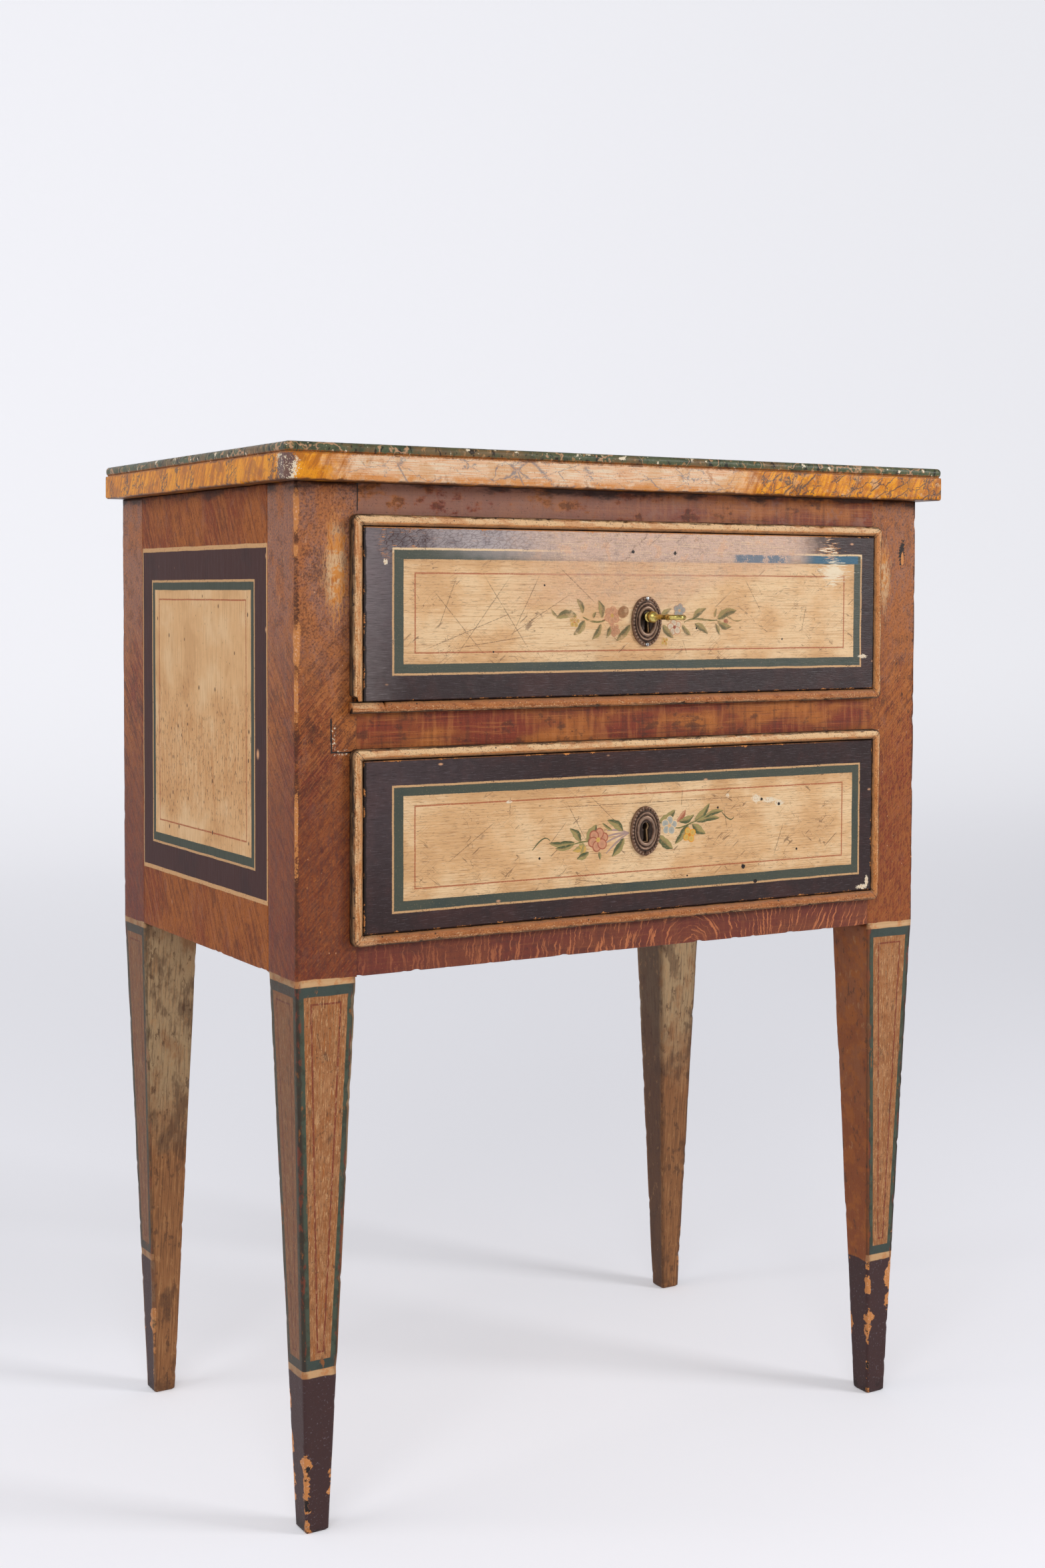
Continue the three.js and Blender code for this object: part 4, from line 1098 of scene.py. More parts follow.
    def _cream(self, paint: Paint, grain: Term, brush: Term, blotch: Term, fine: Term) -> Socket:
        """Return the colour of the cream field with its line, stains, specks and hair scratches.

        Args:
            paint: The material.
            grain: Long grain.
            brush: Brush marks.
            blotch: Wide clouds.
            fine: Fine specks.

        Returns:
            The colour.
        """
        x, z = paint.x, paint.z
        specks = paint.specks(paint.place(11, (1.7, 1, 1), self.seed), 0.1, 0.5)
        dots = paint.specks(paint.place(4.2, (1.6, 1, 1), self.seed), 0.12, 0.3)
        slant = ((x + z * 1.4) / 60, 3, (z * 1.2 - x) / 9 + self.seed)
        counter = ((x - z * 1.1) / 50, 5, (z * 1.4 + x) / 11 + self.seed)
        hair = abs(paint.noise(slant, 1) - 0.5).below(0.001, 0.006).either(
            abs(paint.noise(counter, 1) - 0.5).below(0.001, 0.005))
        hidden = paint.noise(paint.place(24, shift=self.seed + 9), 2).above(0.46, 0.58)
        frame_line = self.red.frame(paint, x, self.red_line)
        edge = (self.field.right - abs(x - 5.5)).least((z - self.field.low).least(self.field.high - z))
        return paint.layers(
            Hue.CREAM, (blotch, 0.42, 0.6, 0.8, Hue.CREAM_PALE), (grain, 0.52, 0.36, 0.55, Hue.CREAM_DARK),
            (grain, 0.56, 0.66, 0.4, Hue.CREAM_PALE), (blotch, 0.46, 0.34, 0.28, Hue.CREAM_DARK),
            ((edge + blotch.sway(30)).below(-2, 9) * 0.35, Hue.CREAM_DARK), (brush, 0.58, 0.7, 0.3, Hue.CHALK),
            (brush, 0.42, 0.34, 0.45, Hue.STRIP_DARK), (fine, 0.4, 0.33, 0.4, Hue.CREAM_DARK),
            (frame_line * fine.above(0.3, 0.44) * 0.85, Hue.RED_LINE), (hair * hidden * 0.6, Hue.STRIP_DARK),
            (specks * 0.85, Hue.BROWN_DARK), (dots * 0.6, Hue.STRIP_DARK),
        )

    def _edge_wear(self, paint: Paint, front: Span, patch: Term, fine: Term) -> Term:
        """Return a mask for the chipped edge of the raised field.

        Args:
            paint: The material.
            front: The front's box.
            patch: Ragged patches.
            fine: Fine specks.

        Returns:
            The mask.
        """
        half = front.high[0] - 2.5
        above = front.high[2] - 4 - paint.z
        depth = (half - abs(paint.x)).least((paint.z - front.low[2] - 4).least(above))
        rubbed = above.below(0.3, 1.0) * paint.x.below(200, 240) * (0.9 if self.wear is Wear.RUBBED else 0.25)
        return (depth + patch.sway(12) + fine.sway(5)).below(-0.9, -0.3).either(rubbed * fine.above(0.36, 0.5))

    def _crease_dirt_and_shade(self, paint: Paint, front: Span, patch: Term) -> Term:
        """Return a mask for dirt and painted shade in the crease of the field beside its upright mouldings, stronger on
        the left.
        """
        side = front.high[0] - 2.5 - abs(paint.x)
        return (side + patch.sway(4)).below(1.4, 2.4) * (paint.x.below(0, 1) * 0.6 + 0.35)


class TopPaint:
    """Marbled paint of the top: a green bead and surface over an ochre fascia."""

    def material(self) -> Material:
        """Return the finish of the top board.

        Returns:
            The material.
        """
        paint = Paint("top_paint")
        x, y, z = paint.axes
        level = x - y
        patch = paint.noise(15, 5, 0.66)
        fine = paint.noise(1.5, 3, 0.6)
        tone = paint.mix(z.below(CASE_TOP + 20.6, CASE_TOP + 21.4), self._green(paint, patch, fine),
                         self._ochre(paint, level, patch, fine))
        seam = (z + patch.sway(2)).line(CASE_TOP + 21.0, 1.5, 1.0)
        front = TOP.low[0] - TOP.low[1]
        fascia = z.below(CASE_TOP + 20, CASE_TOP + 21)
        rag = patch * 0.5 + fine * 0.5
        near = (level - front + 4) / 11
        high = (z - CASE_TOP - 11) / 13
        around = near.hypot(high) + rag.sway(3)
        corner = around.below(0.9, 1.05) * fascia
        rim = around.line(1.1, 0.16, 0.1) * fascia
        low_edge = (z - CASE_TOP + patch.sway(6)).below(-0.2, 1.4)
        tone = paint.layers(
            tone, (corner * 0.9, Hue.VEIN_MAUVE), (corner * fine.above(0.56, 0.62), Hue.GESSO),
            (rim * patch.above(0.44, 0.5), Hue.GESSO), (seam * fine.above(0.4, 0.5) * 0.75, Hue.OCHRE_DARK),
            (seam * patch.above(0.5, 0.6) * 0.6, Hue.STRIP_DARK), (paint.specks(8, 0.13, 0.3) * 0.8, Hue.STRIP_DARK),
            (low_edge * 0.9, Hue.STRIP_DARK),
        )
        paint.set(base_color=tone, roughness=fine * 0.3 + 0.24, specular_ior_level=0.25)
        paint.relief(patch * 0.5 + fine * 0.5, 0.4)
        return paint.material

    def _ochre(self, paint: Paint, level: Term, patch: Term, fine: Term) -> Socket:
        """Return the ochre marbling with its branching veins.

        The veins are edges between ragged, slanting cells; they come in bundles. The front's left
        part is rubbed to a salmon ground with broad, faint slanting veins.

        Args:
            paint: The material.
            level: Place along the face.
            patch: Ragged patches.
            fine: Fine specks.

        Returns:
            The colour.
        """
        up = paint.z - CASE_TOP
        cloud = paint.noise((level / 30, 3, up / 20), 4, 0.6)
        brush = paint.noise(((level - up * 0.5) / 5, 1, up / 26), 4, 0.66)
        bend = paint.noise((level / 6, 1, up / 6), 3, 0.55) * 1.1
        wide = ((level - up * 0.6) / 15 + bend, 2, up / 15 + bend)
        slim = ((level - up * 0.5) / 5.5 + bend, 5, up / 17 - bend * 0.6)
        group = paint.noise((level / 30, 6, 0), 1)
        right = paint.x.above(110, 190)
        veins = (paint.cracks(wide, 0.06) * (group + right * 0.14).above(0.5, 0.53)).either(
            paint.cracks(slim, 0.06) * group.above(0.55, 0.58))
        worn = (abs(paint.x + 92) / 190).below(0.7, 1.34) * (paint.y - TOP.low[1]).below(1.5, 3)
        worn = (worn * 1.2 + patch.sway(1.3) + brush.sway(0.9)).above(0.3, 1.0)
        grain = paint.noise((level / 30, 8, up / 0.9), 4, 0.66)
        tone = paint.layers(
            Hue.OCHRE, (brush, 0.48, 0.56, 0.9, Hue.OCHRE_BRIGHT), (brush, 0.46, 0.4, 0.6, Hue.OCHRE_DARK),
            (cloud, 0.48, 0.4, 0.6, Hue.OCHRE_DARK), (cloud, 0.54, 0.62, 0.6, Hue.OCHRE_BRIGHT),
            (patch.above(0.56, 0.62) * right * 0.8, Hue.TAN), (cloud.above(0.56, 0.62) * right * 0.5, Hue.BROWN_OCHRE),
        )
        ground = paint.layers(
            Hue.TAN_PINK, (grain, 0.47, 0.57, 0.75, Hue.GESSO), (grain, 0.46, 0.36, 0.5, Hue.BROWN_LIGHT),
            (patch, 0.44, 0.34, 0.5, Hue.OCHRE_DARK), (cloud, 0.52, 0.6, 0.5, Hue.TAN),
            (up.below(3, 9) * patch.above(0.4, 0.56) * 0.7, Hue.OCHRE),
        )
        slant = ((level + up * 1.3) / 30 + bend * 0.3, 9, up / 34 + bend * 0.3)
        counter = ((level - up * 1.1) / 40 + bend * 0.34, 4, up / 34 + bend * 0.3)
        kept = (fine * 0.4 + cloud * 0.6).above(0.46, 0.54)
        broad = paint.cracks(slant, 0.03).either(paint.cracks(counter, 0.02)) * kept
        ground = paint.mix(broad * 0.8, ground, Hue.VEIN_PALE)
        tone = paint.layers(tone, (veins * 0.9, Hue.VEIN), (worn, ground))
        return paint.layers(tone, (fine, 0.4, 0.33, 0.5, Hue.OCHRE_DARK), (fine, 0.66, 0.72, 0.6, Hue.GESSO))

    def _green(self, paint: Paint, patch: Term, fine: Term) -> Socket:
        """Return the green marbling: pale and dark dashes on the bead, clouds and a net of veins on top.

        Args:
            paint: The material.
            patch: Ragged patches.
            fine: Fine specks.

        Returns:
            The colour.
        """
        x, y, z = paint.axes
        dash = paint.noise(paint.place(4, (1.4, 1.4, 2)), 3, 0.6, 0.6)
        cloud = paint.noise(34, 4)
        vein = abs(cloud - 0.5).below(0.003, 0.016)
        chips = paint.noise(9, 4, 0.6)
        flat = z.above(TOP.high[2] - 1.1, TOP.high[2] - 0.4)
        bend = paint.noise(paint.place(34, shift=6), 5, 0.62) * 1.7
        net = paint.cracks((x / 80 + bend, y / 52 + bend, 7), 0.02)
        twigs = paint.cracks((x / 26 + bend, y / 20 + bend, 3), 0.03)
        wide = paint.noise(paint.place(60, (1.5, 1, 1), 2), 5, 0.6, 0.5)
        return paint.layers(
            Hue.GREEN, (patch, 0.46, 0.62, 0.6, Hue.GREEN_DARK),
            (cloud.above(0.52, 0.62) * (1 - flat) * 0.4, Hue.LEG_INNER_TAN),
            (flat * wide.above(0.48, 0.58) * 0.7, Hue.GREEN_DARK),
            (flat * wide.below(0.38, 0.46) * 0.5, Hue.BLUE_GREEN), (dash, 0.43, 0.36, 0.85, Hue.GRIME_AND_SHADE),
            (dash.above(0.6, 0.66) * (1 - flat * 0.8) * 0.55, Hue.CREAM_DARK),
            (flat * twigs * patch.above(0.48, 0.56) * 0.5, Hue.LEG_INNER),
            (flat * net * (patch * 0.5 + 0.35), Hue.CREAM_DARK), (vein * 0.6, Hue.GESSO_PINK),
            (chips.above(0.62, 0.65) * (1 - flat * 0.85), Hue.GESSO), (fine, 0.66, 0.72, 0.6, Hue.GESSO_PINK),
        )


class LegPaint:
    """Finish of the posts: graining above, painted panels on the outer faces of the legs."""

    border = 6.4
    red_inset = 12.6
    sock_top = 127.0
    cream_band = 133.0
    blue_band = 141.0
    top_cream = 439.5
    top_blue = 431.5
    rubbed_left = (-277.0, 764.0, 10.0, 40.0)
    rubbed_right = (274.0, 760.0, 7.0, 30.0)
    worm_hole = (294.4, 783.0)
    worm_light = (295.2, 778.0)
    arris_flakes = ((808.0, 17.0, 2.6), (778.0, 6.0, 1.6), (704.0, 17.0, 3.8), (664.0, 24.0, 1.4), (560.0, 34.0, 1.3))
    joint_corner = (-280.6, 621.0)

    def material(self) -> Material:
        """Return the finish of the four posts.

        Returns:
            The material.
        """
        paint = Paint("post_paint")
        x, y, z = paint.axes
        edge = paint.attribute("edge")
        painted = paint.attribute("painted").above(0.4, 0.6)
        fine = paint.noise(1.7, 3, 0.6)
        patch = paint.noise(13, 5, 0.66)
        chip = paint.noise((x / 40, y / 40, z / 15), 4, 0.68) * 0.75 + fine * 0.25
        waver = paint.noise(16, 2).sway(3)
        panel = self._panel(paint, edge, patch, fine, chip)
        flank = paint.attribute("flank") * (patch * 0.6 + 0.2)
        leg = paint.mix(painted, self._plain(paint, patch), paint.mix(flank, panel, Hue.LEG_INNER_DARK))
        socked = (z + waver).below(self.sock_top - 0.5, self.sock_top + 0.5) * paint.attribute("socked")
        leg = paint.mix(socked, leg, self._sock(paint, edge, patch, fine))
        stile = self._stile(paint, edge, patch, fine, chip)
        tone = paint.mix((z + waver).above(LEG_TOP + 0.4, LEG_TOP + 1.2), leg, stile)
        paint.set(base_color=tone, roughness=fine * 0.3 + 0.36, specular_ior_level=0.28)
        paint.relief(patch * 0.6 + fine * 0.4, 0.5)
        return paint.material

    def _stile(self, paint: Paint, edge: Term, patch: Term, fine: Term, chip: Term) -> Socket:
        """Return the graining of a stile with its dark, chipped arris, the marks of its front, a painted sheen in its
        upper stippling and painted shade low on the left stile.

        Args:
            paint: The material.
            edge: Distance from the nearest arris.
            patch: Ragged patches.
            fine: Fine specks.
            chip: Noise that chips an arris.

        Returns:
            The colour.
        """
        x, y, z = paint.axes
        case = grained_case(paint, 47, 1)[0]
        front_left = x.below(-200, -190) * y.below(0, 10)
        bare = (edge - (chip - 0.62) * 30).below(-0.4, 0.4)
        rag = patch * 0.5 + fine * 0.5
        for height, half, width in self.arris_flakes:
            bare = bare.either(paint.blot(edge, (0.5, height), (width, half), rag) * front_left)
        dark = (edge + fine.sway(5) + patch.sway(8)).below(0.6, 2.4)
        front = (y - FRONT_Y).below(1.5, 2.5)
        streak = paint.noise((x / 2.2, y / 2.2, z / 11), 5, 0.72)
        zones = [self._zone(paint, spot, streak) for spot in (self.rubbed_left, self.rubbed_right)]
        rubbed = zones[0].either(zones[1]) * front
        over, up = x - self.joint_corner[0], z - self.joint_corner[1]
        joint = (abs(over + patch.sway(3)).below(0.5, 0.9) * up.above(-1, 0) * up.below(26, 27)).either(
            abs(up + patch.sway(3)).below(0.4, 0.8) * over.above(-1, 0) * over.below(22, 23)) * front
        chips = (abs(over - 1.5).below(0.8, 3) * up.above(0, 2) * up.below(18, 28)).either(
            abs(up).below(0.8, 3) * over.above(0, 1) * over.below(10, 22)) * front
        cloud = paint.noise(paint.place(34, (1, 1, 1.6)), 5, 0.66)
        hairs = paint.noise(((x - z) / 2.2, 4, (x + z) / 9), 5, 0.75)
        stipple = paint.layers(
            Hue.BROWN_MAUVE_AND_SHEEN, (cloud, 0.48, 0.6, 0.7, Hue.BROWN_OCHRE), (patch, 0.48, 0.4, 0.5, Hue.BROWN_DARK),
            (fine, 0.52, 0.6, 0.6, Hue.BROWN_LIGHT), (fine, 0.46, 0.4, 0.6, Hue.BROWN_DARK),
            (streak, 0.58, 0.66, 0.4, Hue.GESSO_PINK),
        )
        return paint.layers(
            # Above about 700 the stile is stippled mauve: stippled paint with a painted sheen on its upper part.
            case, ((z + cloud.sway(160)).above(640, 740) * 0.8, stipple),
            (z.below(520, 700) * streak.below(0.46, 0.58) * 0.6, Hue.BROWN_RED),
            (z.below(540, 640) * streak.above(0.46, 0.56) * 0.7, Hue.PURPLE_BROWN),
            # Painted shade: the left stile is darker towards its lower part.
            (x.below(0, 10) * z.below(560, 700) * 0.24, Hue.BROWN_DARK),
            (x.above(200, 220) * front * streak.above(0.46, 0.56) * 0.6, Hue.BROWN_OCHRE),
            (front * hairs.above(0.56, 0.62) * 0.55, Hue.BROWN_OCHRE),
            (front * hairs.below(0.38, 0.44) * 0.6, Hue.BROWN_DARK), (dark * 0.75, Hue.BROWN_DARK),
            (rubbed * 0.75, Hue.STRIP_PALE), (rubbed * patch.above(0.44, 0.52) * 0.8, Hue.OCHRE),
            (rubbed * streak.below(0.42, 0.48) * 0.8, Hue.BROWN_OCHRE), (bare * 0.9, Hue.BARE_ORANGE),
            (bare * fine.above(0.56, 0.62), Hue.GESSO_PINK),
            (paint.specks(paint.place(12, (1, 1, 1.6)), 0.1, 0.5) * 0.85, Hue.BARE_ORANGE),
            (paint.specks(paint.place(6, (1, 1, 1.4), 7), 0.09, 0.3) * 0.8, Hue.GESSO_PINK),
            (chips * fine.above(0.56, 0.62), Hue.GESSO), (joint, Hue.GRIME_AND_SHADE),
            (paint.blot(x, self.worm_hole, (3.4, 12.5), rag) * front, Hue.GRIME_AND_SHADE),
            (paint.blot(x, self.worm_light, (1.8, 6.0), rag) * front, Hue.BARE_ORANGE),
            # Dirt and painted shade just under the top board.
            (dirt_and_shade_under_top(paint) * 0.8, Hue.GRIME_AND_SHADE),
        )

    def _zone(self, paint: Paint, spot: Quad, streak: Term) -> Term:
        """Return a mask for a place rubbed away in upright streaks.

        Args:
            paint: The material.
            spot: Middle and half sizes of the place.
            streak: Upright streaks.

        Returns:
            The mask.
        """
        x, z, half_x, half_z = spot
        over, up = (paint.x - x) / half_x, (paint.z - z) / half_z
        return (over.hypot(up) + streak.sway(3.6)).below(0.5, 1.1)

    def _panel(self, paint: Paint, edge: Term, patch: Term, fine: Term, chip: Term) -> Socket:
        """Return a painted leg face: cream band, blue-green border, tan field with a red line.

        Args:
            paint: The material.
            edge: Distance from the nearest arris.
            patch: Ragged patches.
            fine: Fine specks.
            chip: Noise that chips an arris.

        Returns:
            The colour.
        """
        x, y, z = paint.axes
        grain = paint.noise(((x + y) / 1.4, 2, z / 34), 4, 0.66)
        stain = paint.noise(paint.place(7, (1, 1, 3)), 5, 0.7)
        waver = paint.noise(20, 2).sway(1.4)
        streak = paint.noise(((x + y) / 1.1, 6, z / 9), 5, 0.76)
        inside = (edge + waver * 0.6 - self.border).least((z + waver) - self.blue_band).least(
            self.top_blue - (z + waver))
        inner = inside - (self.red_inset - self.border)
        field_tone = paint.layers(
            Hue.LEG_FIELD, (patch, 0.46, 0.6, 0.7, Hue.LEG_FIELD_PINK), (grain, 0.5, 0.66, 0.5, Hue.CREAM_DARK),
            (grain, 0.5, 0.36, 0.6, Hue.BROWN_OCHRE),
            (inner.line(0.0, 0.75, 0.4) * fine.above(0.3, 0.4) * 0.9, Hue.LEG_RED),
            (stain, 0.42, 0.34, 0.6, Hue.LEG_INNER_DARK), (stain, 0.6, 0.68, 0.4, Hue.CREAM),
            (streak, 0.55, 0.61, 0.6, Hue.CREAM), (streak, 0.44, 0.39, 0.6, Hue.LEG_INNER_DARK),
            (fine, 0.4, 0.33, 0.6, Hue.LEG_INNER_DARK),
            (paint.specks(paint.place(7, (1, 1, 1.8)), 0.12, 0.45) * 0.85, Hue.LEG_INNER_DARK),
        )
        border_tone = paint.layers(
            Hue.LEG_GREEN, (patch, 0.46, 0.58, 0.8, Hue.GREEN_DARK), (stain, 0.54, 0.62, 0.5, Hue.BLUE_GREEN),
            (z.above(self.top_blue - 4, self.top_blue + 1).either(
                z.below(self.blue_band - 1, self.blue_band + 4)) * 0.6, Hue.BLUE_GREEN_DARK),
            (edge, 3.0, 1.0, 0.7, Hue.GRIME_AND_SHADE), (stain, 0.4, 0.34, 0.6, Hue.BROWN_OCHRE),
        )
        worn = (edge - (chip - 0.62) * 30).below(-0.4, 0.4)
        ends = (z + waver).above(self.top_cream - 0.4, self.top_cream + 0.4).either(
            (z + waver).below(self.cream_band - 0.4, self.cream_band + 0.4))
        return paint.layers(
            border_tone, (inside.above(-0.3, 0.3), field_tone), (ends * 0.92, Hue.CREAM_LINE),
            (ends * patch.above(0.46, 0.58) * 0.7, Hue.BROWN_LIGHT), (worn * 0.9, Hue.BARE_ORANGE),
            (worn * fine.above(0.56, 0.62), Hue.GESSO_PINK),
            (edge.below(2.0, 4.5) * stain.above(0.54, 0.6) * 0.8, Hue.LEG_RED),
        )

    def _plain(self, paint: Paint, patch: Term) -> Socket:
        """Return an unpainted leg face: one dirty pale coat, tan below, with stains.

        Args:
            paint: The material.
            patch: Ragged patches.

        Returns:
            The colour.
        """
        x, y, z = paint.axes
        grain = paint.noise(((x + y) / 1.6, 2, z / 30), 4, 0.65)
        stain = paint.noise(paint.place(36, (1, 1, 2)), 5, 0.66)
        spot = paint.noise(paint.place(6, (1, 1, 2.2)), 5, 0.7)
        brown = x.above(200, 240) * (y - FRONT_Y).below(60, 80)
        low = (z + patch.sway(120)).below(210, 320)
        return paint.layers(
            Hue.LEG_INNER, (low, Hue.LEG_INNER_TAN), (stain, 0.5, 0.62, 0.7, Hue.LEG_INNER_TAN),
            (stain, 0.46, 0.38, 0.6, Hue.LEG_INNER_DARK), (grain, 0.52, 0.64, 0.4, Hue.CREAM_DARK),
            (grain, 0.5, 0.38, 0.5, Hue.LEG_INNER_DARK), (brown * 0.85, Hue.BROWN),
            (brown * patch.above(0.46, 0.6) * 0.6, Hue.BROWN_OCHRE),
            (x.above(200, 240) * y.above(0, 20) * paint.attribute("flank") * 0.8, Hue.LEG_INNER_DARK),
            (spot, 0.43, 0.36, 0.65, Hue.LEG_INNER_DARK), (spot, 0.6, 0.66, 0.4, Hue.CREAM_DARK),
            ((z + patch.sway(60)).above(430, 456) * 0.6, Hue.GRIME_AND_SHADE),
            (paint.specks(paint.place(9, (1, 1, 1.7)), 0.14, 0.4) * 0.85, Hue.LEG_INNER_DARK),
            (z.below(4, 26) * patch.above(0.4, 0.6) * 0.7, Hue.LEG_INNER_DARK),
        )

    def _sock(self, paint: Paint, edge: Term, patch: Term, fine: Term) -> Socket:
        """Return the dark foot with bare wood along its arrises.

        Args:
            paint: The material.
            edge: Distance from the nearest arris.
            patch: Ragged patches.
            fine: Fine specks.

        Returns:
            The colour.
        """
        long = paint.noise((paint.x / 40, paint.y / 40, paint.z / 34), 4, 0.6)
        bare = (edge - (long - 0.53) * 60 + fine.sway(4)).below(-0.4, 0.4)
        return paint.layers(
            Hue.SOCK, (patch, 0.5, 0.64, 0.5, Hue.AUBERGINE_WARM), (fine, 0.6, 0.7, 0.5, Hue.AUBERGINE_WORN_AND_SHEEN),
            (bare, Hue.BARE_ORANGE), (bare * fine.above(0.56, 0.62), Hue.GESSO_PINK),
            (bare * patch.below(0.4, 0.44), Hue.GRIME_AND_SHADE),
            (paint.specks(paint.place(7, (1, 1, 1.8)), 0.15, 0.15) * 0.9, Hue.BARE_ORANGE),
            (paint.z.below(2, 16) * patch.above(0.44, 0.6) * 0.8, Hue.GRIME_AND_SHADE),
        )


class StripPaint:
    """Worn ochre paint of the drawer mouldings, with painted shade along both edges and a painted highlight on the
    crown.
    """

    def material(self, name: str, pale: float, dark: float, seed: float) -> Material:
        """Return the finish of one strip.

        Args:
            name: Name of the material.
            pale: How far the crown is rubbed to cream and carries a painted highlight, 0 to 1.
            dark: How brown the whole strip is, 0 to 1.
            seed: Moves the pattern.

        Returns:
            The material.
        """
        paint = Paint(name)
        across = paint.attribute("across")
        level = paint.x + paint.z
        streak = paint.noise((level / 22 + seed, paint.y / 3, across / 1.5), 5, 0.7)
        patch = paint.noise((level / 14, seed, across / 6), 5, 0.68)
        wide = paint.noise((level / 60, seed + 4, 0), 3, 0.6)
        fine = paint.noise(paint.place(1.2, shift=seed), 3, 0.6)
        crown = (across + streak.sway(4)).line(3.4, 2.6, 1.2)
        outer = (across + patch.sway(5)).below(1.2, 2.2)
        tone = paint.layers(
            Hue.STRIP, (patch, 0.5, 0.58, 0.7, Hue.OCHRE_DARK), (wide, 0.5, 0.6, 0.5, Hue.BROWN_LIGHT),
            (wide, 0.48, 0.42, 0.4, Hue.BROWN_OCHRE), (patch, 0.42, 0.36, 0.6, Hue.STRIP_DARK),
            # Cream on the crown: rubbed paint, and where pale is high, on the top strips, a painted highlight.
            (crown * (streak + wide * 0.7 + pale * 0.8).above(1.0, 1.25) * (0.5 + pale * 0.5), Hue.STRIP_PALE),
            (streak.above(0.58, 0.62) * (across.line(2.4, 1.4, 1.0)) * (0.1 + pale * 0.7), Hue.GESSO),
            ((across + wide.sway(3)).line(2.5, 0.5, 0.5) * fine.above(0.46, 0.54) * 0.8, Hue.STRIP_PALE),
            (streak, 0.42, 0.32, 0.45, Hue.STRIP_DARK), (patch * (dark * 0.4) + dark * 0.35, Hue.BROWN),
            (paint.x.below(-250, -240) * streak.above(0.42, 0.56) * 0.6, Hue.STRIP_PALE),
            (outer * 0.8, Hue.STRIP_GREY), (outer * streak.below(0.44, 0.54) * 0.85, Hue.GRIME_AND_SHADE),
            # Painted shade on the outer wall, beside the case.
            (across, 0.7, 0.1, 0.6, Hue.GRIME_AND_SHADE),
            ((across + patch.sway(4)).above(6.6, 7.6) * (0.4 + pale * 0.4), Hue.STRIP_GREY),
            # Painted shade: a dark line where the moulding meets the field.
            ((across + patch.sway(2)).above(8.4, 8.9) * 0.9, Hue.GRIME_AND_SHADE), (fine, 0.42, 0.36, 0.65, Hue.STRIP_DARK),
            (fine.above(0.6, 0.66) * crown * 0.7, Hue.STRIP_PALE),
            ((patch * 0.5 + wide * 0.5).below(0.44, 0.5) * crown * 0.5, Hue.BROWN_LIGHT),
            (paint.specks(paint.place(8, shift=seed), 0.15, 0.3) * 0.9, Hue.GRIME_AND_SHADE),
            (paint.attribute("end").below(0.2, 0.7) * 0.85, Hue.GRIME_AND_SHADE),
        )
        paint.set(base_color=tone, roughness=fine * 0.3 + 0.36, specular_ior_level=0.3)
        paint.relief(streak * 0.5 + patch * 0.5, 0.6)
        return paint.material


class MetalFinish:
    """Patinated metal of the escutcheons, nails, key and locks."""

    def material(self, name: str, base: Hue, bright: Hue, dark: Hue, metallic: float, rough: float,
                 hollows: bool = False) -> Material:
        """Return a worn metal.

        Args:
            name: Name of the material.
            base: Main colour.
            bright: Colour where it is rubbed.
            dark: Colour of its patina.
            metallic: How metallic it is.
            rough: Its mean roughness.
            hollows: Whether the mesh states "hollow", which gathers dirt.

        Returns:
            The material.
        """
        paint = Paint(name)
        patch = paint.noise(4, 4, 0.6)
        fine = paint.noise(0.7, 3)
        tone = paint.layers(base, (patch, 0.5, 0.68, 0.6, bright), (patch, 0.48, 0.34, 0.8, dark))
        if hollows:
            hollow = paint.attribute("hollow")
            tone = paint.layers(tone, (hollow, 0.3, 0.9, 0.85, dark), (hollow, -0.3, -0.9, 0.6, bright))
        paint.set(base_color=tone, metallic=metallic, roughness=fine.sway(0.4) + rough)
        paint.relief(fine * 0.5 + patch * 0.5, 0.12)
        return paint.material


def garland_finish(name: str, strength: float, seed: float) -> Material:
    """Return the thin worn paint of a garland.

    Args:
        name: Name of the material.
        strength: How much of the paint is left, 0 to 1.
        seed: Moves the wear.

    Returns:
        The material.
    """
    paint = Paint(name)
    brush = paint.noise((paint.x / 3, 1, paint.z / 0.9 + seed), 3, 0.6)
    patch = paint.noise(paint.place(9, shift=seed), 4, 0.6)
    tone = paint.mix(brush.above(0.5, 0.7) * 0.35, paint.tint(), Hue.CREAM)
    rim = paint.attribute("rim").below(0.75, 1.0)
    left = (patch * 0.7 + brush * 0.3 + strength * 0.5).above(0.5, 0.72)
    paint.set(base_color=tone, alpha=left * (rim * 0.6 + 0.4) * (0.5 + strength * 0.45), roughness=0.5,
              specular_ior_level=0.3)
    return paint.material


# The top board

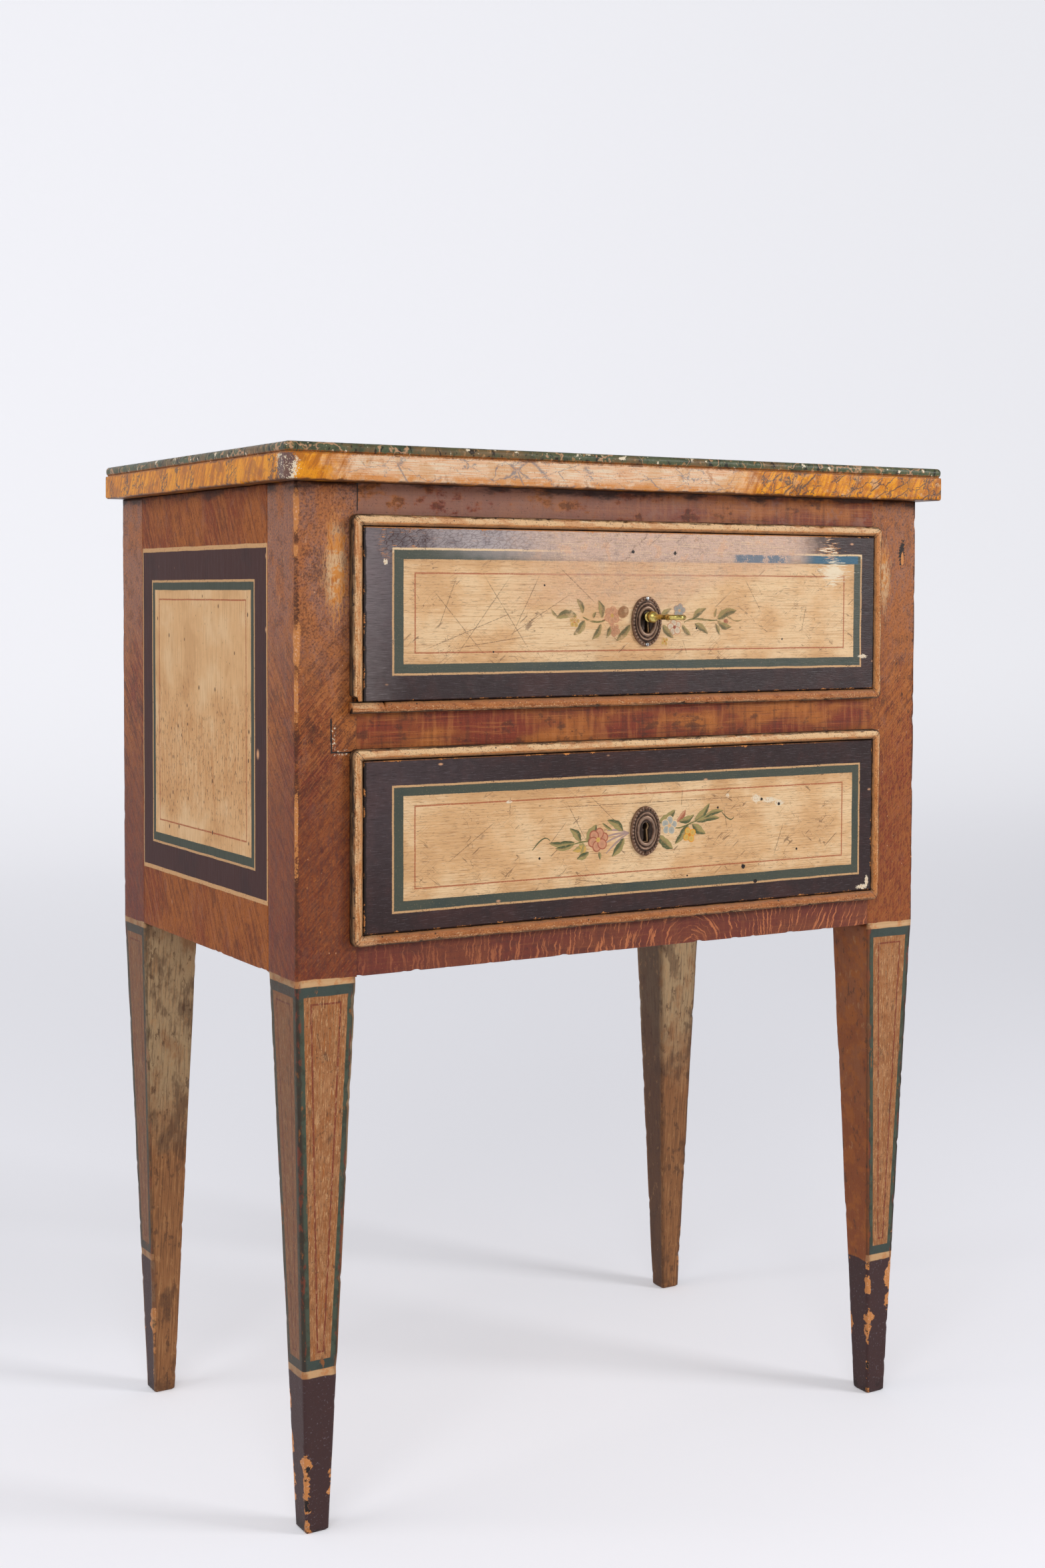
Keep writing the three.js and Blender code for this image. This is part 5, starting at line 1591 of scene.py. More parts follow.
@dataclass
class TopBoard:
    """Moulded top with rounded front corners, a fascia, a groove and a bead."""

    corner: float = 5.0
    fascia: float = 20.5
    fascia_round: float = 2.2
    groove: float = 1.0
    groove_depth: float = 1.6
    bead: float = 7.5
    bead_round: float = 4.0
    setback: float = 0.5
    spacing: float = 2.4

    def profile(self) -> Array:
        """Return inset and height from the underside to the flat of the top, bottom first.

        Returns:
            One row for each ring.
        """
        quarter = math.pi / 2
        low, top = CASE_TOP, CASE_TOP + self.fascia
        foot = top + self.groove
        middle = foot + self.bead / 2
        r = self.fascia_round
        flat = stacked(np.array([40.0, 24.0, 12.0, 6.0]), low)
        turn = arc_points((r, low + r), (-r, -r), quarter, 0, 6)
        face = stacked(0.0, np.linspace(low + r + 1, top - 2, 9))
        ease = arc_points((0.9, top - 0.9), (-0.9, 0.9), 0, quarter, 4)
        deep = self.setback + self.groove_depth
        quirk = arc_points((deep, middle), (-self.groove_depth, self.bead / 2), -quarter, 0, 6)
        crown = arc_points((self.setback + self.bead_round, middle), (-self.bead_round, self.bead / 2), 0, quarter, 8)
        height = TOP.high[2]
        inner = stacked(np.array([9.0, 20.0, 45.0, 90.0, 150.0]), height)
        return np.concatenate([flat, turn, face, ease, [[deep, top]], quirk, crown[1:], inner])

    def ring(self, inset: float) -> Array:
        """Return the outline of the board at an inset, with the same count at every inset.

        Args:
            inset: Distance inwards.

        Returns:
            One row for each point.
        """
        r = max(self.corner - inset, 0.4)
        x, y = TOP.high[0] - inset, TOP.low[1] + inset
        back = TOP.high[1] - max(inset - self.setback - self.bead_round, 0)
        left = arc_points((-x + r, y + r), (r, r), math.pi, 1.5 * math.pi, 8)
        right = arc_points((x - r, y + r), (r, r), 1.5 * math.pi, 2 * math.pi, 8)

        def run(a: Array, b: Array, steps: int) -> Array:
            """Return the points strictly between two places."""
            return a + (b - a) * np.linspace(0, 1, steps, endpoint=False)[1:, None]

        deep = int((TOP.high[1] - TOP.low[1]) / self.spacing)
        wide = int((TOP.high[0] - TOP.low[0]) / self.spacing)
        corner_left, corner_right = np.array([[-x, back], [x, back]])
        return np.concatenate([
            corner_left[None], run(corner_left, left[0], deep), left, run(left[-1], right[0], wide), right,
            run(right[-1], corner_right, deep), corner_right[None], run(corner_right, corner_left, wide),
        ])

    def build(self, finish: Material) -> None:
        """Make the board with waver, rubbed arrises and a few chips.

        Args:
            finish: Its material.
        """
        rows = self.profile()
        rings = np.stack([stacked(*self.ring(inset).T, z) for inset, z in rows])
        shape = closed_tube(self._worn(rings, rows))
        make_piece("worn_top_board", shape, "case", finish, ["top_board"])

    def _worn(self, rings: Array, rows: Array) -> Array:
        """Push the edge in by slow waver and by chips along its arrises, never outwards.

        Args:
            rings: Its rings.
            rows: Inset and height of each ring.

        Returns:
            The worn rings.
        """
        x, y = rings[..., 0], rings[..., 1]
        inward = stacked(-np.sign(x), np.sign(CENTRE_Y - y))
        weight = stacked(np.clip((np.abs(x) - TOP.high[0] + 30) / 30, 0, 1), np.clip((TOP.low[1] + 30 - y) / 30, 0, 1))
        shallow = np.clip(1 - rows[:, 0] / 9, 0, 1)[:, None]
        slow = (lumps(rings * [1, 1, 3], 34, 3) * 0.5 + 0.5) * 0.45
        arris = np.exp(-((rows[:, 1] - CASE_TOP) / 2.2) ** 2) + np.exp(-((rows[:, 1] - TOP.high[2]) / 2.6) ** 2)
        chips = np.clip(lumps(rings, 3.2, 5) - 0.55, 0, 1) * 3.4 * arris[:, None]
        depth = np.maximum(slow + chips, 0) * shallow
        rings = rings.copy()
        rings[..., :2] += inward * weight * depth[..., None]
        return rings


# The posts

@dataclass
class Post:
    """A stile and its tapered leg, with rubbed arrises; a rear one is rebated for the back."""

    side: int
    depth: int
    foot: float = 20.0
    inset: float = 14.6
    foot_round: float = 1.6
    flat_points: int = 9
    arc_steps: int = 4
    rise: float = 4.0
    closing: float = 0.28
    rebate: Pair = (14.0, 12.0)

    @property
    def node(self) -> str:
        """Return the name of the post's node."""
        return f"{'front' if self.depth < 0 else 'back'}_{'left' if self.side < 0 else 'right'}_post"

    def build(self, finish: Material) -> None:
        """Make the post as rings of a rounded square from the sole to the top.

        Args:
            finish: Its material.
        """
        box = Span.of(self.node)
        levels = np.unique(np.concatenate([
            [0, self.foot_round * 0.4, self.foot_round, 4], np.arange(8, LEG_TOP, self.rise), [LEG_TOP],
            np.arange(LEG_TOP + 0.1, box.high[2], self.rise), [box.high[2]],
        ]))
        rings, values = self._rings(levels, box)
        make_piece(f"worn_{self.node}", closed_tube(rings), "case", finish, [self.node], values)

    def _rings(self, levels: Array, box: Span) -> tuple[Array, dict[str, Array]]:
        """Return the rings, with the distance from the nearest worn arris and each face's paint.

        Args:
            levels: Heights of the rings.
            box: The node's box.

        Returns:
            The rings, and the named numbers of their points.
        """
        size = box.high[0] - box.low[0]
        share = np.clip(levels / LEG_TOP, 0, 1)
        half = (self.foot + (size - self.foot) * share) / 2
        inset = self.inset * (1 - share)
        outer_x = box.high[0] if self.side > 0 else box.low[0]
        outer_y = box.high[1] if self.depth > 0 else box.low[1]
        middle = stacked(outer_x - self.side * (inset + half), outer_y - self.depth * (inset + half))
        tuck = np.where(levels < self.foot_round, self.foot_round - levels, 0)
        half = half - tuck
        corners = np.array([[1, 1], [-1, 1], [-1, -1], [1, -1]], float)
        start = np.array([0, 0.5, 1, 1.5]) * math.pi
        parts, edges, radii = [], [], []
        for corner, angle in zip(corners, start):
            radius = self._radius(levels, middle, corner, half)
            radii.append(radius[:, None])
            turn = angle + np.linspace(0, math.pi / 2, self.arc_steps + 1)
            centre = middle + corner * (half - radius)[:, None]
            arc = centre[:, None] + radius[:, None, None] * stacked(np.cos(turn), np.sin(turn))
            inner = np.array([corner[0] != self.side, corner[1] != self.depth]) * corner
            arc = arc + inner * np.where(levels > LEG_TOP, self.closing, 0)[:, None, None]
            parts.append(self._rebated(arc, corner, box, levels))
            outer = corner[0] == self.side and corner[1] == self.depth
            edges.append(np.zeros(len(levels)) if outer else 20 * ramp(levels, LEG_TOP - 1, LEG_TOP + 1))
        rings, edge, painted, socked, flank = [], [], [], [], []
        for k in range(4):
            following = (k + 1) % 4
            rings.append(parts[k])
            edge.append(np.repeat(edges[k][:, None] + radii[k] * 0.5, self.arc_steps + 1, axis=1))
            t = np.linspace(0, 1, self.flat_points + 2)[1:-1]
            a, b = parts[k][:, -1], parts[following][:, 0]
            rings.append(a[:, None] + (b - a)[:, None] * t[None, :, None])
            length = np.linalg.norm(b - a, axis=-1)[:, None]
            edge.append(np.minimum(t * length + edges[k][:, None] + radii[k],
                                   (1 - t) * length + edges[following][:, None] + radii[following]))
            for kind, known in ((painted, self._painted), (socked, self._socked), (flank, self._flank)):
                kind.append(np.full((len(levels), self.arc_steps + 1), (known(k) + known(following)) / 2))
                kind.append(np.full((len(levels), len(t)), float(known(following))))
        flat = np.concatenate(rings, axis=1)
        values = {"edge": edge, "painted": painted, "socked": socked, "flank": flank}
        values = {key: np.concatenate([*np.concatenate(value, axis=1), np.zeros(2)]) for key, value in values.items()}
        return stacked(flat[..., 0], flat[..., 1], levels[:, None]), values

    def _flank(self, face: int) -> bool:
        """Return whether a face looks to the side."""
        return face in (0, 2)

    def _socked(self, face: int) -> bool:
        """Return whether a face has the dark foot."""
        return self.depth < 0 or self._painted(face)

    def _painted(self, face: int) -> bool:
        """Return whether a face has the painted panel: 0 right, 1 back, 2 left, 3 front."""
        outer_side = 0 if self.side > 0 else 2
        return face == outer_side or (face == 3 and self.depth < 0)

    def _radius(self, levels: Array, middle: Array, corner: Array, half: Array) -> Array:
        """Return how far an arris is rubbed round at each height.

        Args:
            levels: Heights of the rings.
            middle: Middle of each ring.
            corner: Signs of the corner.
            half: Half the ring's size.

        Returns:
            One radius for each height.
        """
        place = stacked(*(middle + corner * half[:, None]).T, levels)
        seed = int(20 + 4 * self.side + 2 * self.depth + corner[0] + 3 * corner[1])
        slow = lumps(place, 26, seed) * 0.5 + 0.5
        chips = np.clip(lumps(place, 6, seed + 50) - 0.35, 0, 1) * 2.2
        worn = np.clip(1.0 + slow * 1.3 + chips, 0.8, half * 0.4)
        if corner[0] == self.side and corner[1] == self.depth:
            return worn
        return np.where(levels > LEG_TOP, 0.25, worn)

    def _rebated(self, arc: Array, corner: Array, box: Span, levels: Array) -> Array:
        """Step the inner rear arris of a back stile in for the back boards.

        Args:
            arc: Points of the rounded corner.
            corner: Signs of the corner.
            box: The node's box.
            levels: Heights of the rings.

        Returns:
            The points.
        """
        if self.depth < 0 or corner[1] < 0 or corner[0] == self.side:
            return arc
        inner = box.low[0] if self.side > 0 else box.high[0]
        deep, wide = box.high[1] - self.rebate[1], inner + self.side * self.rebate[0]
        path = np.array([[inner, deep], [wide, deep], [wide, deep], [wide, box.high[1]], [wide, box.high[1]]])
        path = path if corner[0] > 0 else path[::-1]
        notched = arc.copy()
        notched[levels > LEG_TOP] = path
        return notched


@dataclass
class Board:
    """A flat board or rail between two posts, a little uneven, with a rubbed lower arris."""

    node: str
    axis: int
    slot: str
    ends: Pair
    rounding: float = 0.9
    spacing: float = 3.0
    chips: float = 1.6

    def build(self, finish: Material, seed: int) -> None:
        """Make the board as rings of its section from end to end.

        Args:
            finish: Its material.
            seed: Picks its unevenness.
        """
        box = Span.of(self.node)
        across, r, quarter = 1 - self.axis, self.rounding, math.pi / 2
        a, b = (box.high[across] - box.low[across]) / 2, (box.high[2] - box.low[2]) / 2
        corners = [arc_points((sx * (a - r), sz * (b - r)), (r, r), k * quarter, (k + 1) * quarter, 3)
                   for k, (sx, sz) in enumerate(((1, 1), (-1, 1), (-1, -1), (1, -1)))]
        section = resampled(np.concatenate(corners), self.spacing)
        first, last = self.ends
        along = np.linspace(first, last, int((last - first) / self.spacing))
        rings = np.empty((len(along), len(section), 3))
        rings[..., self.axis] = along[:, None]
        rings[..., across] = box.middle(across) + section[:, 0]
        rings[..., 2] = box.middle(2) + section[:, 1]
        sunk = (lumps(rings, 50, seed) * 0.5 + 0.5) * 0.25
        low = np.exp(-((section[:, 1] + b) / 1.6) ** 2)
        rubbed = np.clip(lumps(rings, 6, seed + 9) - 0.35, 0, 1) * self.chips * low
        rings[..., across] -= np.sign(section[:, 0]) * sunk
        rings[..., 2] += rubbed + low * 0.2
        shape = closed_tube(rings, flip=self.axis == 1)
        make_piece(f"worn_{self.node}", shape, "case", finish, [self.node])


# The mouldings of the drawers

class End(Enum):
    """How a strip ends."""

    MITRED = "mitred"
    SQUARE = "square"
    SCARFED = "scarfed"
    CHIPPED = "chipped"


@dataclass
class Strip:
    """One moulding strip of a drawer front.

    The strip runs along one edge of the front. Its section is counted inwards from the outer
    edge, and its mitred ends follow the rounded corner of the front.
    """

    node: str
    body: str
    upright: bool
    rise: int
    starts: End = End.MITRED
    ends: End = End.MITRED
    corner: float = 6.0
    width: float = 9.5
    bead: float = 9.0
    wall: float = 4.6
    crown: float = 2.7
    quirk: float = 4.0
    chip: Pair = (4.5, 4.7)
    slant: float = 3.0
    spacing: float = 1.6

    def section(self) -> Array:
        """Return the closed section: distance inwards and height above the strip's back.

        Returns:
            One row for each point.
        """
        half = self.bead / 2
        wall = stacked(0.0, np.linspace(0, self.wall, 5)[:4])
        bead = arc_points((half, self.wall), (half, self.crown), math.pi, 0, 16)
        drop = np.array([[self.bead + 0.1, self.quirk], [self.width - 0.2, self.quirk],
                         [self.width, self.quirk - 0.2], [self.width, 0.0]])
        return np.concatenate([wall, bead, drop])

    def build(self, reach: Span, front: Span, finish: Material, seed: int) -> None:
        """Make the strip.

        Args:
            reach: Box of all the drawer's strips together.
            front: Box of the strip's own node.
            finish: Its material.
            seed: Picks its wear.
        """
        section = self.section()
        w, h = section[:, 0], section[:, 1]
        first, last = self._ends(reach, front, w)
        count = max(4, int((last - first).max() / self.spacing))
        t = np.linspace(0, 1, count)[:, None]
        along = first[None] * (1 - t) + last[None] * t
        drop = np.broadcast_to(w[None], along.shape)
        along, drop = self._turned_ends(along, drop, w)
        edge = (reach.high if self.rise > 0 else reach.low)[0 if self.upright else 2]
        over = edge - self.rise * drop
        flat = [over, along] if self.upright else [along, over]
        rings = self._worn(stacked(flat[0], front.high[1] - h, flat[1]), section, seed)
        shape = closed_tube(rings, flip=(self.upright == (self.rise > 0)))
        near = np.minimum(along - along.min(), along.max() - along) - drop
        values = {
            "across": np.concatenate([np.broadcast_to(w[None], along.shape).ravel(), [0, 0]]),
            "end": np.concatenate([np.abs(near).ravel(), [0, 0]]),
        }
        make_piece(f"worn_{self.node}", shape, self.body, finish, [self.node], values)

    def _ends(self, reach: Span, front: Span, w: Array) -> tuple[Array, Array]:
        """Return where the straight run starts and ends for each point of the section.

        Args:
            reach: Box of all the strips.
            front: The strip's own box.
            w: Distance inwards of each point.

        Returns:
            The starts and the ends.
        """
        axis = 2 if self.upright else 0
        turn = np.maximum(w, self.corner)
        spots = []
        for kind, limit, outer, sign in ((self.starts, front.low[axis], reach.low[axis], 1),
                                         (self.ends, front.high[axis], reach.high[axis], -1)):
            if kind is End.MITRED:
                spots.append(outer + sign * turn)
            elif kind is End.SCARFED:
                spots.append(limit + sign * self.slant * (w / self.width))
            elif kind is End.CHIPPED:
                spots.append(limit + sign * self.chip[1] * (w < self.chip[0]))
            else:
                spots.append(np.full(len(w), limit))
        return spots[0], spots[1]

    def _turned_ends(self, along: Array, drop: Array, w: Array) -> tuple[Array, Array]:
        """Carry the run round the corner as far as the mitre, at 45 degrees.

        Args:
            along: Places along the run.
            drop: Distances inwards.
            w: Distance inwards of each point.

        Returns:
            Both with the turned ends added.
        """
        radius = np.maximum(self.corner - w, 0.02)[None]
        for kind, at_start in ((self.starts, True), (self.ends, False)):
            if kind is not End.MITRED:
                continue
            angle = np.linspace(0, math.pi / 4, 6)[1:, None]
            shift, fall = radius * np.sin(angle), radius * (1 - np.cos(angle))
            if at_start:
                along = np.concatenate([(along[:1] - shift)[::-1], along])
                drop = np.concatenate([(w[None] + fall)[::-1], drop])
            else:
                along = np.concatenate([along, along[-1:] + shift])
                drop = np.concatenate([drop, w[None] + fall])
        return along, drop

    def _worn(self, rings: Array, section: Array, seed: int) -> Array:
        """Rub the crown and the outer arris back, more in some places than in others.

        Args:
            rings: Its rings.
            section: Its section.
            seed: Picks its wear.

        Returns:
            The worn rings.
        """
        exposed = np.clip((section[:, 1] - 1.5) / 3, 0, 1)[None]
        slow = (lumps(rings, 22, seed) * 0.5 + 0.5) * 0.5
        chips = np.clip(lumps(rings, 3, seed + 31) - 0.5, 0, 1) * 1.5
        arris = np.exp(-((section[:, 0] - 0.8) / 1.5) ** 2)[None]
        worn = rings.copy()
        worn[..., 1] += (slow + chips * (0.25 + arris)) * exposed
        inward = -self.rise * (slow * 0.6 + chips) * arris * np.clip(section[:, 1] / 2, 0, 1)[None]
        worn[..., 0 if self.upright else 2] += inward
        return worn


# Escutcheons, nails and the key

def lathe(profile: Array, centre: Triple, around: int = 32) -> Mesh:
    """Turn a profile of radius and y about an axis that runs from front to back.

    Args:
        profile: Radius and y, one row each.
        centre: Its middle.
        around: Points in a ring.

    Returns:
        The turned form.
    """
    angle = np.linspace(0, 2 * np.pi, around, endpoint=False)
    r, y = profile[:, :1], profile[:, 1:]
    rings = stacked(centre[0] + r * np.cos(angle), centre[1] + y, centre[2] + r * np.sin(angle))
    return closed_tube(rings, flip=bool(profile[-1, 1] > profile[0, 1]))


@dataclass
class Escutcheon:
    """Oval plate with rings round a sunk middle, a row of beads and a keyhole."""

    node: str
    body: str
    beads: int = 34
    bead_radius: float = 1.2
    edge_gap: float = 0.3
    floor: float = 1.6
    hole_radius: float = 3.5
    neck: float = 2.2
    foot: float = 3.0
    hole_height: float = 16.4
    key_rise: float = 3.8
    eye: float = 0.8
    around: int = 160

    def build(self, finish: Material) -> None:
        """Make the plate with its beads as one mesh.

        Args:
            finish: Its material.
        """
        box = Span.of(self.node)
        half_x, half_z = (box.high[0] - box.low[0]) / 2, (box.high[2] - box.low[2]) / 2
        centre = np.array([box.middle(0), box.high[1], box.middle(2)])
        plate, plate_faces, hollow = self._plate(half_x, half_z)
        beads = [self._bead(x, z) for x, z in self._bead_places(half_x, half_z)]
        parts = [(plate, plate_faces), *beads]
        hollows = [hollow, *(np.full(len(bead), -1.0) for bead, _ in beads)]
        points, faces = joined(parts)
        make_piece(f"beaded_{self.node}", (points + centre, faces), self.body, finish,
                   [self.node], {"hollow": np.concatenate(hollows)})

    def _hole(self, angle: Array) -> Array:
        """Return the distance from the eye to the keyhole's edge at each angle.

        The edge is the circle above, or the flared slot below; the nearer wall of the slot counts
        where the ray leaves the circle under its neck.

        Args:
            angle: Angles in radians.

        Returns:
            The distances.
        """
        c, s = np.cos(angle), np.sin(angle)
        up = self.key_rise - self.eye
        circle = up * s + np.sqrt(np.maximum(self.hole_radius ** 2 - (up * c) ** 2, 0))
        low = self.key_rise + self.hole_radius - self.hole_height - self.eye
        slope = (self.foot - self.neck) / -low
        with np.errstate(divide="ignore", invalid="ignore"):
            wall = self.neck / (np.abs(c) + slope * s)
            sole = np.where(s < 0, low / s, np.inf)
        wall = np.where(wall > 0, wall, np.inf)
        slot = np.where(s < 0, np.minimum(wall, sole), 0)
        return np.maximum(circle, slot)

    def _plate(self, half_x: float, half_z: float) -> tuple[Array, Array, Array]:
        """Return the plate's points, faces and how hollow each place is.

        Args:
            half_x: Half its width.
            half_z: Half its height.

        Returns:
            The points, the faces and the hollowness.
        """
        shares = np.array([0.0, 0.3, 0.44, 0.47, 0.50, 0.53, 0.56, 0.59, 0.62, 0.64, 0.66, 0.69, 0.71, 0.735, 0.76,
                           0.78, 0.80, 0.86, 0.93, 0.975, 0.99, 1.0])
        heights = np.array([1.5, 1.5, 1.6, 2.2, 2.8, 3.0, 3.0, 2.9, 2.4, 1.8, 1.6, 1.9, 2.3, 2.4, 2.2,
                            1.8, 1.6, 1.55, 1.5, 1.5, 1.3, 0.9])
        hollow = np.array([1, 1, 1, 0, -1, -1, -1, -1, 0, 1, 1, 0, -1, -1, 0, 1, 1, 0.4, 0.4, 0, -1, 0.0])
        angle = np.linspace(0, 2 * np.pi, self.around, endpoint=False)
        c, s = np.cos(angle), np.sin(angle)
        inner = self._hole(angle)
        a = (c / half_x) ** 2 + (s / half_z) ** 2
        b = self.eye * s / half_z ** 2
        rings = []
        for share, height in zip(shares, heights):
            d = (self.eye / half_z) ** 2 - share ** 2
            reach = (-b + np.sqrt(np.maximum(b * b - a * d, 0))) / a
            r = np.maximum(reach, inner)
            rings.append(stacked(r * c, -height, self.eye + r * s))
        back = [rings[0] * [1, 0, 1], rings[-1] * [1, 0, 1]]
        loop = np.stack([back[0], *rings, back[1]])
        count, around = loop.shape[:2]
        faces = grid_faces(count + 1, around, True, flip=True) % (count * around)
        tone = np.concatenate([[1.0], hollow, [0.0]])
        return loop.reshape(-1, 3), faces, np.repeat(tone, around)

    def _bead_places(self, half_x: float, half_z: float) -> Array:
        """Return the places of the beads, evenly spaced along their oval, the nails' left free.

        Args:
            half_x: Half its width.
            half_z: Half its height.

        Returns:
            Across and up for each bead.
        """
        a, b = half_x - self.bead_radius - self.edge_gap, half_z - self.bead_radius - self.edge_gap
        fine = np.linspace(0.5 * np.pi, 2.5 * np.pi, 4001)
        x, z = a * np.cos(fine), b * np.sin(fine)
        length = np.concatenate([[0], np.cumsum(np.hypot(np.diff(x), np.diff(z)))])
        wanted = length[-1] * np.arange(self.beads) / self.beads
        places = stacked(np.interp(wanted, length, x), np.interp(wanted, length, z))
        return np.delete(places, [0, self.beads // 2], axis=0)

    def _bead(self, x: float, z: float) -> Mesh:
        """Return one bead as a low dome of rings.

        Args:
            x: Its place across.
            z: Its place in height.

        Returns:
            The bead.
        """
        turn = np.linspace(0.02, 0.62 * np.pi, 6)
        profile = stacked(self.bead_radius * np.sin(turn), -self.floor - self.bead_radius * np.cos(turn))
        return lathe(profile, (x, 0, z), 10)


@dataclass
class Nail:
    """Domed nail of an escutcheon."""

    node: str
    body: str
    shank: float = 0.8

    def build(self, finish: Material) -> None:
        """Make the nail as a dome over its shank.

        Args:
            finish: Its material.
        """
        box = Span.of(self.node)
        radius = (box.high[0] - box.low[0]) / 2
        dome = arc_points((0, 1.3), (radius, 1.3), -math.pi / 2 + 0.02, 0, 8)
        shank = np.array([[self.shank, 1.3], [self.shank, box.high[1] - box.low[1]]])
        shape = lathe(np.concatenate([dome, shank]), (box.middle(0), box.low[1], box.middle(2)), 28)
        make_piece(f"domed_{self.node}", shape, self.body, finish, [self.node])


@dataclass
class Key:
    """Brass key: bit, shank, collar, ball, neck and a small pierced bow."""

    shank: float = 2.5
    collar: Pair = (4.4, 1.6)
    ball: float = 5.0
    ball_reach: float = 9.5
    neck: float = 2.15
    bow: Pair = (18.0, 16.5)
    bow_radius: float = 2.3
    bit: Triple = (9.5, 6.0, 2.6)

    def build(self, finish: Material) -> None:
        """Make the key as one mesh of closed forms that run into each other.

        Args:
            finish: Its material.
        """
        box = Span.of("key")
        plate = Span.of("upper_escutcheon")
        x, z, face = plate.middle(0), box.middle(2), plate.high[1]
        end, tip = box.low[1], box.high[1]
        bow_middle = end + self.bow[1] / 2
        start = bow_middle + self.bow[1] / 2 - self.bow_radius
        ball_y = face - self.ball_reach
        collar_back = plate.low[1] - 0.3
        lo, hi = math.acos(self.neck / self.ball), math.acos(self.shank / self.ball)
        ball = arc_points((0, ball_y), (self.ball, self.ball), -lo, hi, 18)
        neck = np.array([[self.neck, start], [self.neck * 1.06, start + 2], [self.neck, start + 4],
                         [self.neck * 1.25, start + 5], [self.neck * 1.25, start + 6], [self.neck, start + 7]])
        r, length = self.collar
        collar = np.array([[self.shank, collar_back - length - 0.01], [r - 0.4, collar_back - length],
                           [r, collar_back - length + 0.4], [r, collar_back - 0.4], [r - 0.4, collar_back],
                           [self.shank, collar_back + 0.01]])
        profile = np.concatenate([neck, ball, collar, [[self.shank, tip - 0.3], [self.shank - 0.4, tip]]])
        parts = [lathe(profile, (x, 0, z), 28), self._bow(x, bow_middle, z), self._bit(x, tip, z)]
        make_piece("turned_key", joined(parts), "upper_key", finish, ["key"])

    def _bow(self, x: float, y: float, z: float) -> Mesh:
        """Return the bow: a tube round an oval, a little thicker where it has its notches.

        Args:
            x: Middle across.
            y: Middle in depth.
            z: Height.

        Returns:
            The bow.
        """
        around = np.linspace(0, 2 * np.pi, 64, endpoint=False)
        turn = np.linspace(0, 2 * np.pi, 14, endpoint=False)
        r = self.bow_radius * (0.93 + 0.07 * np.cos(around * 9))[:, None]
        a, b = self.bow[0] / 2 - self.bow_radius, self.bow[1] / 2 - self.bow_radius
        c, s = np.cos(around)[:, None], np.sin(around)[:, None]
        wide = r * np.cos(turn)
        ring = stacked(x + c * a + c * wide, y + s * b + s * wide, z + r * np.sin(turn))
        faces = grid_faces(65, 14, True) % (64 * 14)
        return ring.reshape(-1, 3), faces

    def _bit(self, x: float, tip: float, z: float) -> Mesh:
        """Return the bit as a rounded block that points sideways.

        Args:
            x: Middle across.
            tip: End of the key in depth.
            z: Height.

        Returns:
            The bit.
        """
        reach, width, thick = self.bit
        cut = np.array([[-1, -1], [1, -1], [1, 1], [-1, 1]]) * [width / 2, thick / 2]
        section = resampled(cut, 1.0)
        middle = tip - 0.7 - width / 2
        steps = ((0, 1), (reach - 0.5, 1), (reach, 0.85))
        return closed_tube(np.stack([stacked(x + s, middle + section[:, 0] * k, z + section[:, 1] * k)
                                     for s, k in steps]))


# The painted garlands

